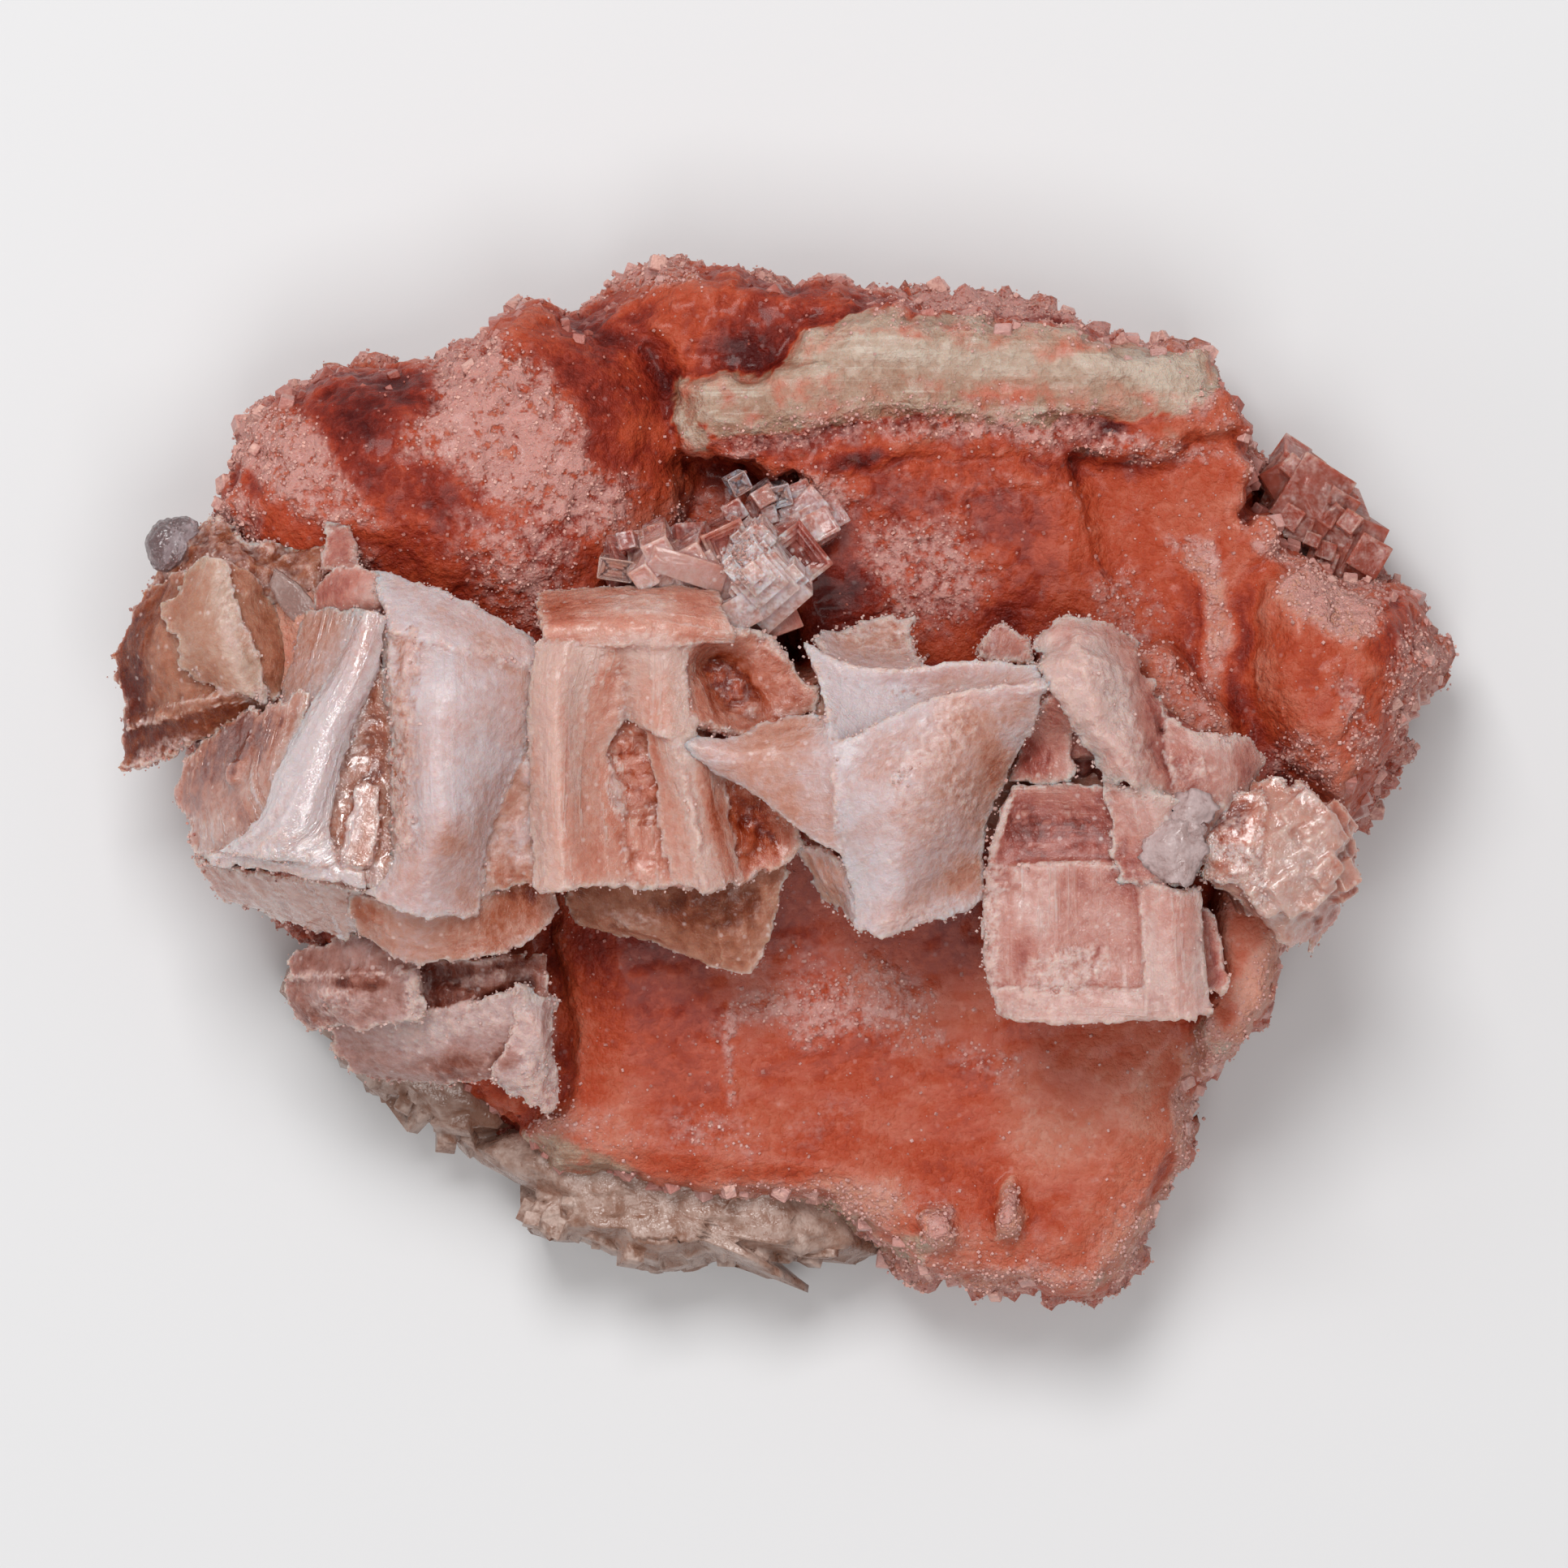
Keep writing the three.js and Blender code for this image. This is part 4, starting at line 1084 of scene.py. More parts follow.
@dataclass(frozen=True)
class SaltFinish(Finish):
    """Milky salt whose colour follows its warmth, growth bands, grain and frost."""

    stops: Stops
    frost: Colour = (0.62, 0.43, 0.39)
    streak: float = 0.18
    grain: float = 0.16
    mottle: float = 0.26
    specks: float = 0.4
    roughness: float = 0.27
    coat: float = 0.12
    subsurface: float = 0.75
    reach: float = 3.2  # how far light travels in the salt
    spread: Colour = (1.0, 0.45, 0.3)  # how far each colour travels against the reach
    bump: float = 0.55
    banding: float = 0.5  # how much the growth bands stand out in the surface
    gloss: float = 0.24  # strength of the surface's own reflection

    GRAIN_SCALE = 1300.0
    MOTTLE_SCALE = 150.0
    RELIEF = 0.26  # depth of the fine relief
    # colour of the bright specks: tiny white salt crystals and painted glints
    SPECK = (0.76, 0.62, 0.6)
    COAT_ROUGHNESS = 0.12

    def wire(self, wiring: Wiring, shader: Node, place: Socket, cover: Socket) -> None:
        """Feeds the shader with milky salt."""
        streaks = wiring.group(EFFECTS.streaks, growth=wiring.attribute("growth", "Vector"))
        grain = wiring.group(EFFECTS.grain, place=place, scale=self.GRAIN_SCALE)
        wiring.feed(shader.inputs["Base Color"], self.colour(wiring, place, streaks, grain, cover))
        dull = wiring.math("MULTIPLY_ADD", grain.outputs["Grain"], 0.18, self.roughness - 0.08)
        wiring.feed(shader.inputs["Roughness"], wiring.math("MULTIPLY_ADD", cover, 0.22, dull))
        fine = wiring.times(grain.outputs["Grain"], 0.7)
        relief = wiring.math("MULTIPLY_ADD", streaks.outputs["Fine"], self.banding, fine)
        crust = wiring.math("MULTIPLY_ADD", cover, 0.8, relief)
        wiring.feed(shader.inputs["Normal"], wiring.bump(crust, self.RELIEF, self.bump))
        shader.inputs["Specular IOR Level"].default_value = self.gloss
        shader.inputs["Coat Weight"].default_value = self.coat
        shader.inputs["Coat Roughness"].default_value = self.COAT_ROUGHNESS
        shader.inputs["Subsurface Weight"].default_value = self.subsurface
        shader.inputs["Subsurface Scale"].default_value = self.reach * MM
        shader.inputs["Subsurface Radius"].default_value = self.spread

    def colour(self, wiring: Wiring, place: Socket, streaks: Node, grain: Node, cover: Socket) -> Socket:
        """Colour of the salt, from its warmth to its bright specks, which are partly painted glints."""
        warmth = wiring.attribute("warmth")
        changes = (
            (streaks.outputs["Broad"], self.streak),
            (grain.outputs["Grain"], self.grain),
            (wiring.rise(wiring.noise(place, self.MOTTLE_SCALE, 3.0), 0.3, 0.7), self.mottle),
        )
        for source, amount in changes:
            warmth = wiring.math("ADD", warmth, wiring.times(wiring.centred(source), amount))
        lines = wiring.times(streaks.outputs["Fine"], self.streak)
        colour = wiring.ramp(wiring.math("SUBTRACT", warmth, lines), self.stops)
        colour = wiring.blend(cover, colour, self.frost)
        return wiring.blend(wiring.times(grain.outputs["Speck"], self.specks), colour, self.SPECK)


@dataclass(frozen=True)
class GlassFinish(Finish):
    """Clear salt: see-through, a little rough, and tinted by its depth."""

    tint: Colour
    density: float  # absorption, for each metre
    deep: Colour
    pale: Colour
    roughness: float = 0.18
    transmission: float = 0.8

    GRAIN_SCALE = 700.0
    CLOUD_SCALE = 240.0
    RELIEF, BUMP = 0.2, 0.5  # depth and strength of the fine relief

    def wire(self, wiring: Wiring, shader: Node, place: Socket, cover: Socket) -> None:
        """Feeds the shader with clear salt, and its inside with absorption."""
        grain = wiring.group(EFFECTS.grain, place=place, scale=self.GRAIN_SCALE).outputs["Grain"]
        cloud = wiring.rise(wiring.noise(place, self.CLOUD_SCALE, 4.0), 0.35, 0.65)
        body = wiring.blend(wiring.times(grain, cloud), self.deep, self.pale)
        wiring.feed(shader.inputs["Base Color"], wiring.blend(cover, body, self.pale))
        wiring.feed(shader.inputs["Roughness"], wiring.math("MULTIPLY_ADD", cover, 0.4, self.roughness))
        wiring.feed(shader.inputs["Normal"], wiring.bump(grain, self.RELIEF, self.BUMP))
        shader.inputs["Transmission Weight"].default_value = self.transmission
        depth = wiring.node("ShaderNodeVolumeAbsorption")
        wiring.feed(depth.inputs["Color"], self.tint)
        depth.inputs["Density"].default_value = self.density
        wiring.feed(wiring.tree.nodes["Material Output"].inputs["Volume"], depth.outputs[0])


def evenly(*colours: Colour) -> Stops:
    """Colours spread evenly from the palest salt to the darkest."""
    return tuple((number / (len(colours) - 1), colour) for number, colour in enumerate(colours))


MILKY_STOPS = evenly(
    (0.58, 0.48, 0.49), (0.54, 0.37, 0.35), (0.49, 0.25, 0.19), (0.38, 0.115, 0.06), (0.18, 0.022, 0.006),
)
# Paler at the pale end than the milky salt's, as painted highlight of the blade's bright streaks.
SILVERY_HIGHLIGHT_STOPS = evenly(
    (0.6, 0.5, 0.51), (0.55, 0.39, 0.37), (0.49, 0.25, 0.19), (0.38, 0.115, 0.06), (0.18, 0.022, 0.006),
)
ROSY_STOPS = evenly(
    (0.58, 0.396, 0.361), (0.53, 0.288, 0.249), (0.46, 0.189, 0.15), (0.34, 0.09, 0.069),
    (0.15, 0.016, 0.007),
)
PEACH_STOPS = evenly(
    (0.58, 0.378, 0.328), (0.55, 0.273, 0.21), (0.49, 0.176, 0.118), (0.34, 0.062, 0.021),
    (0.16, 0.012, 0.002),
)
AMBER_STOPS = evenly(
    (0.49, 0.331, 0.267), (0.42, 0.212, 0.146), (0.36, 0.138, 0.082), (0.21, 0.046, 0.015),
    (0.1, 0.009, 0.002),
)
MAUVE_STOPS = evenly(
    (0.53, 0.39, 0.375), (0.45, 0.28, 0.26), (0.36, 0.175, 0.145), (0.23, 0.07, 0.045),
    (0.11, 0.015, 0.006),
)
RED_STOPS = (
    (0.0, (0.5, 0.27, 0.24)), (0.35, (0.42, 0.13, 0.1)), (0.7, (0.3, 0.06, 0.035)),
    (1.0, (0.13, 0.015, 0.008)),
)
FROSTY_RED_STOPS = (
    (0.0, (0.6, 0.34, 0.31)), (0.3, (0.5, 0.22, 0.19)), (0.6, (0.42, 0.13, 0.1)),
    (1.0, (0.25, 0.04, 0.025)),
)

SILVERY = SaltFinish(
    "silvery", SILVERY_HIGHLIGHT_STOPS, roughness=0.12, coat=1.0, streak=0.36, gloss=1.0, banding=1.3)
BANDED_ROSY = SaltFinish("banded_rosy", ROSY_STOPS, streak=0.36, banding=1.1)
MILKY = SaltFinish("milky", MILKY_STOPS, roughness=0.3, coat=0.15, streak=0.12)
ROSY = SaltFinish("rosy", ROSY_STOPS, streak=0.14)
PEACH = SaltFinish("peach", PEACH_STOPS, roughness=0.24, coat=0.25, streak=0.42, banding=1.3)
AMBER = SaltFinish("amber", AMBER_STOPS, roughness=0.28, coat=0.15, streak=0.14)
GLOSSY_AMBER = SaltFinish(
    "glossy_amber", PEACH_STOPS, roughness=0.12, coat=0.8, streak=0.24, gloss=0.9, mottle=0.5)
# Its frost is paler than the other salts': white crust, brightened partly as painted highlight.
FROSTED = SaltFinish(
    "frosted", ROSY_STOPS, frost=(0.76, 0.62, 0.62), roughness=0.22, coat=0.5, specks=0.6, mottle=0.4)
MAUVE = SaltFinish("mauve", MAUVE_STOPS, roughness=0.35, streak=0.14)
DARK_RED = SaltFinish("dark_red", RED_STOPS, roughness=0.35, streak=0.06)
SUGAR = SaltFinish("sugar", ROSY_STOPS, roughness=0.3, streak=0.0, subsurface=0.0)
RED_SUGAR = SaltFinish(
    "red_sugar", FROSTY_RED_STOPS, frost=(0.74, 0.43, 0.36), roughness=0.3, streak=0.0, subsurface=0.0)
CLEAR = GlassFinish("clear", (0.8, 0.74, 0.75), 40.0, deep=(0.36, 0.27, 0.28), pale=(0.68, 0.6, 0.62))
FROSTED_CLEAR = GlassFinish(
    "frosted_clear", (0.85, 0.76, 0.75), 40.0, deep=(0.46, 0.3, 0.28), pale=(0.66, 0.5, 0.49),
    roughness=0.2, transmission=0.35,
)
ROSY_CLEAR = GlassFinish(
    "rosy_clear", (0.8, 0.6, 0.56), 60.0, deep=(0.52, 0.33, 0.29), pale=(0.7, 0.54, 0.5),
    transmission=0.6,
)
CREAMY_CLEAR = GlassFinish(
    "creamy_clear", (0.85, 0.66, 0.56), 40.0, deep=(0.36, 0.17, 0.11), pale=(0.76, 0.56, 0.48),
    roughness=0.26, transmission=0.35,
)


@dataclass
class Crystal:
    """One crystal of the cluster: forms grown into one solid, with one finish."""

    node: str = ""
    slot: str = ""
    finish: Finish = MILKY
    patches: tuple[Patch, ...] = ()
    infill: Infill | None = None
    fuses: bool = True  # whether its forms have grown together, or keep crisp edges

    CREST = 38.0  # height under which painted shade deepens with depth
    SINK_WARMTH = 0.03  # warmth of the painted shade added for each millimetre of that depth
    SINK_DEPTH = 14  # depth past which nothing more is added

    def build(self) -> Thing:
        """Builds the crystal, dresses it and puts it in its node's place.

        Returns:
            The finished piece.
        """
        shells = self._shells()
        for shell in shells:
            self._weather(shell)
        piece = (fused if self.fuses else united)(shells, f"{self.node}_crystal")
        points = read_points(piece.data)
        skin = nearest_skin(shells, points)
        if self.fuses:
            self._roughen(piece, points, skin)
        skin.write(piece.data)
        dress(piece, self.finish, self.node)
        return piece

    def _shells(self) -> list[Shell]:
        """Builds every form of the crystal, and the salt between its walls."""
        forms: list[Form] = []
        for part in fields(self):
            value = getattr(self, part.name)
            if isinstance(value, Form):
                forms.append(value)
            elif isinstance(value, Swarm):
                forms.extend(value.forms())
        shells = [form.shell(number) for number, form in enumerate(forms)]
        if self.infill:
            walls = [shell.points for form, shell in zip(forms, shells) if isinstance(form, Wall)]
            shells.append(self.infill.shell(np.concatenate(walls)))
        return shells

    def _weather(self, shell: Shell) -> None:
        """Darkens the salt with depth below the crest as painted shade, and adds the patches."""
        depth = np.clip(self.CREST - shell.points[:, 2], 0, self.SINK_DEPTH)
        shell.skin.warmth = shell.skin.warmth + self.SINK_WARMTH * depth
        for patch in self.patches:
            share = patch.share(shell.points)
            shell.skin.warmth = shell.skin.warmth + patch.warmth * share
            shell.skin.frost = shell.skin.frost + patch.frost * share

    @staticmethod
    def _roughen(piece: Thing, points: Array, skin: Skin) -> None:
        """Adds grain and crust to the surface, darkens hollows as painted shade, and pales and frosts what
        stands out, the paleness a painted highlight.
        """
        grain = 0.07 * NOISE.layered(points, 0.9, layers=2)
        grain += 0.22 * np.clip(skin.frost, 0, 1) * NOISE.blocks(points, 0.75)
        write_points(piece.data, points + read_normals(piece.data) * grain[:, None])
        stand = standing(piece.data, 10)
        # painted shade darkens the hollows and painted highlight pales what stands out; frost gathers on
        # what stands out
        skin.warmth = skin.warmth - 1.1 * np.clip(stand, -0.25, 0.2)
        skin.frost = skin.frost + 1.4 * np.clip(stand - 0.03, 0, 0.2)


# ------------------------------------------------------------------ the crystals


@dataclass
class LeftHopper(Crystal):
    """The brown-amber hopper at the far left, with glassy flats."""

    node: str = "left_hopper"
    slot: str = "amber_salt"
    finish: Finish = AMBER
    infill: Infill | None = Infill(warmth=0.45)
    outer_face: Wall = Wall([
        [[-57.4, 17.6, 24.6], [-54.6, 18.8, 27.6], [-52, 19.6, 30], [-49.8, 19.8, 31.6]],
        [[-59.2, 14.6, 24], [-56, 14.8, 28], [-53, 15.4, 30.6], [-49.9, 15.6, 32.4]],
        [[-60, 11.8, 23], [-56.5, 11.5, 28], [-53, 11.5, 31], [-49.2, 12, 32.8]],
        [[-59.6, 8, 23], [-56, 8.4, 27.6], [-52, 8.8, 30.8], [-48, 9, 32.8]],
        [[-59.4, 5, 23], [-55.5, 5.8, 28], [-51.5, 6.8, 31.4], [-47.2, 7.6, 32.6]],
    ], thickness=3.2, warmth=(0.5, 0.3, 0.4, 0.2), depth=0.06, crumple=0.25, ragged=(0.7, 0.1, 0.2, 1.0))
    shard: Wall = Wall([
        [[-54, 19.2, 30.2], [-51.6, 20.6, 32.2], [-49.8, 20, 32.8]],
        [[-55.4, 14.8, 30.4], [-51.8, 15.2, 33.4], [-48.4, 15, 34]],
        [[-53.6, 10.8, 31.2], [-50.2, 11.2, 34], [-46.8, 11.2, 33.8]],
        [[-51.4, 8.4, 31.6], [-48.8, 8, 33.4], [-46, 7, 33]],
    ], warmth=(0.2, 0.1, 0.15, 0.1), depth=0.1, ragged=(0.6, 0.2, 0.5, 1.5), rim=0.5)
    lower_face: Wall = Wall([
        [[-59.4, 6, 22.4], [-55.5, 7, 28], [-51.5, 7.6, 32], [-46.6, 8.2, 33.6]],
        [[-59.5, 3.4, 22], [-56, 4.4, 26.5], [-52, 5.8, 30], [-46.4, 7, 32]],
        [[-59.9, 1.2, 21.5], [-56.6, 1.8, 25], [-52.4, 4, 28.5], [-46.2, 6.2, 31]],
    ], thickness=3.2, warmth=(0.6, 0.3, 0.55, 0.45), depth=0.1, crumple=0.15, ragged=(0.2, 0.3, 0.7, 0.9))
    right_flat: Wall = Wall([
        [[-50, 20.2, 32.2], [-48.4, 19.6, 31.6], [-46.4, 17.6, 30]],
        [[-48.8, 15, 33.4], [-46.8, 14.8, 32], [-44.6, 14.2, 30]],
        [[-47.2, 11.2, 33.4], [-45.4, 11, 32], [-43.4, 10.4, 30]],
        [[-46.4, 7, 32.6], [-44.8, 7.4, 31.5], [-42.8, 7.6, 30.6]],
    ], thickness=3.2, warmth=(0.3, 0.45, 0.4, 0.6), depth=0.06, crumple=0.25)
    top_shelf: Wall = Wall([
        [[-53.4, 23, 23], [-50.2, 23.7, 25], [-47.5, 22, 26], [-42.6, 21.6, 26.6], [-38.6, 23, 27]],
        [[-56.4, 18.8, 23], [-52, 19.8, 27], [-48.3, 19.4, 29], [-43.6, 18.6, 29], [-38, 19.4, 29.6]],
        [[-57, 16.6, 23], [-52, 17, 28], [-47, 16, 29], [-43, 14.6, 29.6], [-39, 16, 31]],
    ], thickness=3.2, warmth=(0.4, 0.45, 0.45, 0.5), depth=0.08, crumple=0.45, frost=0.25,
       ragged=(0.8, 0.5, 0.4, 0.5))
    base: Mass = root([
        [-57, 15], [-54, 20], [-47, 20], [-43, 14], [-43, 7], [-46, 6.5], [-52, 6.5], [-57, 7],
    ], (-51, 13), 27)
    patches: tuple[Patch, ...] = (
        Patch(-49.4, 13, (1, 5), 15, warmth=-0.25, frost=0.3),
        Patch(-58.6, 10, (1.6, 7), warmth=0.18),
        # The darker band at the foot of the outer face is painted shadow.
        Patch(-53, 5, (6, 1.6), 20, warmth=0.14),
        Patch(-55, 11, (2.4, 5), warmth=-0.12),
        Patch(-56, 3, (4, 1.2), 25, frost=0.35),
        Patch(-47, 8, (1.4, 1.2), frost=0.4),
    )


@dataclass
class LeftClearKnob(Crystal):
    """The small grey clear knob on the left hopper."""

    node: str = "left_clear_knob"
    slot: str = "clear_salt"
    finish: Finish = CLEAR
    fuses: bool = False
    knob: Lump = Lump((1.9, 2.5, 2.2), (-55.5, 21.4, 24))
    shoulder: Lump = Lump((1.6, 1.3, 1.7), (-54.2, 22.8, 23.6))


@dataclass
class LeftClearBlade(Crystal):
    """The thin clear blade beside the left hopper."""

    node: str = "left_clear_blade"
    slot: str = "clear_salt"
    finish: Finish = ROSY_CLEAR
    fuses: bool = False
    blade: Wall = Wall([
        [[-46.2, 17.8, 31.5], [-45.6, 19.2, 31.8]],
        [[-44.8, 15.6, 31.8], [-43.4, 17.7, 32.2]],
        [[-42.9, 13.6, 31.5], [-41.3, 15, 31.8]],
    ], thickness=2.4, ragged=(0.1, 0.1, 0.1, 0.1), depth=0.05)


@dataclass
class PinkNub(Crystal):
    """The rounded pink crystal with a tab, left of the column."""

    node: str = "pink_nub"
    slot: str = "peach_salt"
    finish: Finish = ROSY
    infill: Infill | None = Infill()
    cap: Wall = Wall([
        [[-41.8, 18, 32], [-39.6, 19.5, 34], [-37, 19.4, 35.6], [-34.8, 17.6, 36]],
        [[-42, 15.6, 32], [-39.6, 16.6, 35], [-37, 16.8, 36.6], [-35, 16.6, 36.8]],
        [[-41.6, 14.2, 32], [-39.4, 15, 34.6], [-37, 15, 36], [-35.4, 15.6, 36.2]],
    ], thickness=5, warmth=(0.5, 0.35, 0.45, 0.5), depth=0.05)
    tab: Wall = Wall([
        [[-41, 23.3, 29], [-39, 23.2, 29.4], [-38.2, 21.6, 30]],
        [[-41.6, 19, 31], [-39.8, 19, 32.5], [-37.8, 18.8, 33.5]],
    ], thickness=3, warmth=(0.6, 0.5, 0.5, 0.45), frost=0.15)
    patches: tuple[Patch, ...] = (Patch(-37.2, 17.2, (2, 1.2), 10, warmth=-0.25),)


@dataclass
class BladeHopper(Crystal):
    """The bright silvery blade, its base rim and the striated skirts beside it."""

    node: str = "blade_hopper"
    slot: str = "milky_salt"
    finish: Finish = SILVERY
    infill: Infill | None = Infill()
    blade: Wall = Wall([
        [[-38.6, 13.2, 39.4], [-37, 15.4, 41.2], [-35.3, 14.8, 40.6]],
        [[-40.9, 9.6, 39.4], [-38.2, 9.8, 41.8], [-36.2, 9.6, 40.4]],
        [[-43.2, 6, 39.4], [-40.6, 5, 42], [-38.3, 4.5, 40.2]],
        [[-45.3, 1, 39], [-42.4, 0.2, 41.8], [-39.6, -0.5, 40.2]],
        [[-46.9, -3, 38.2], [-44.2, -3.6, 41], [-40.3, -4, 40.2]],
        [[-50.6, -6, 35], [-45.6, -6.8, 39.8], [-39.6, -7.6, 40.4]],
    ], thickness=3.2, warmth=(0.3, 0.2, 0.1, 0.08), depth=0.3, ragged=(0.2, 0.2, 0.05, 0.1))
    base_rim: Wall = Wall([
        [[-51.6, -6, 33], [-47, -6.5, 37.6], [-43, -7, 39.6], [-37.2, -7.9, 41]],
        [[-51.6, -7.2, 32.6], [-47, -7.7, 37.2], [-43, -8.3, 39.2], [-37, -9.1, 40.6]],
    ], thickness=1.4, warmth=(0.25, 0.0, 0.3, 0.05), streaks=Streaks.ACROSS, depth=0.1)
    upper_flank: Wall = Wall([
        [[-43, 15.6, 31.6], [-40, 15.8, 34.5], [-36.4, 15.6, 38]],
        [[-44, 11.6, 32], [-41.2, 12, 35], [-38, 12, 38]],
        [[-45.4, 7, 32], [-43.6, 7.4, 34], [-40.8, 7, 37]],
    ], thickness=3.2, warmth=(0.6, 0.35, 0.55, 0.4), depth=0.08)
    left_skirt: Wall = Wall([
        [[-54, 2.3, 27], [-50, 5.6, 30.4], [-46.6, 6.8, 34.4], [-42.2, 8.6, 38.4]],
        [[-54.9, -1, 26], [-51, 0.6, 30.6], [-47.6, 0.6, 35.4], [-44.4, 0.8, 38.4]],
        [[-53.4, -3.6, 28], [-51.8, -3.2, 31], [-49.4, -3.4, 34], [-46.2, -3.6, 37.4]],
        [[-53.9, -6.2, 28], [-52.2, -6.6, 30], [-50.6, -6.8, 31.6], [-49, -6.4, 34.4]],
    ], thickness=3.6, warmth=(0.55, 0.7, 0.4, 0.5), depth=0.16, frost=0.06, ragged=(0.6, 0.3, 0.6, 0.7))
    right_strip: Wall = Wall([
        [[-37, 10, 39], [-35.6, 10.5, 39.8], [-34.4, 9.6, 40]],
        [[-39.2, 3, 38.4], [-36.8, 3, 37.8], [-34.2, 3, 38.8]],
        [[-40.8, -3, 38.4], [-37.4, -3, 37.8], [-33.8, -3, 38.8]],
        [[-40.4, -8, 39], [-38, -8.8, 38.6], [-35, -9.8, 38.6]],
    ], thickness=3.2, warmth=(0.5, 0.45, 0.6, 0.5), depth=0.2, crumple=0.3, frost=0.1)
    pale_bar: Wall = Wall([
        [[-37.6, 0.6, 39.6], [-35.9, 0, 39.6]],
        [[-38.8, -3, 39.6], [-36.2, -3.4, 39.8]],
        [[-40, -7, 39.4], [-36.8, -7.2, 39.6]],
    ], thickness=3.2, warmth=(0.55, 0.5, 0.5, 0.4))
    lower_skirt: Wall = Wall([
        [[-53.4, -6.8, 28], [-49.5, -7.8, 31], [-44, -8.6, 35], [-37.6, -9.4, 36.6]],
        [[-52, -8.6, 27], [-48.8, -9.6, 29], [-43.5, -10.8, 31.6], [-37.8, -12, 34]],
        [[-51.2, -10.2, 25], [-47.6, -11.6, 26], [-43, -13, 27.6], [-39.2, -14.4, 30]],
    ], warmth=(0.6, 0.5, 0.35, 0.4), depth=0.2, frost=0.1)
    base: Mass = root([
        [-50, 3], [-47, 6], [-42, 9], [-37, 12], [-35, 4], [-35.5, -6], [-44, -7], [-50, -5],
    ], (-43, 2), 35)
    patches: tuple[Patch, ...] = (
        # The paler strip down the blade is a painted highlight.
        Patch(-41.4, 1, (1.2, 4), -14, warmth=-0.2),
        Patch(-36.2, 4.5, (1.5, 6), -8, warmth=0.32),
        Patch(-35, -4, (1.2, 4), warmth=0.26),
        Patch(-42.5, 3, (2.2, 9), -22, warmth=-0.12),
        Patch(-44, -5.2, (5, 1.6), -8, frost=0.35, warmth=-0.1),
        Patch(-50, 2, (2.4, 5), -35, warmth=0.12),
        Patch(-48, 4, (5, 2.6), 35, warmth=0.14),
        Patch(-46, -8, (4, 0.8), -6, warmth=0.3),
        Patch(-53, -5, (1.6, 3), frost=0.2),
        Patch(-48, -11.5, (5, 1.2), -20, warmth=-0.12, frost=0.2),
    )


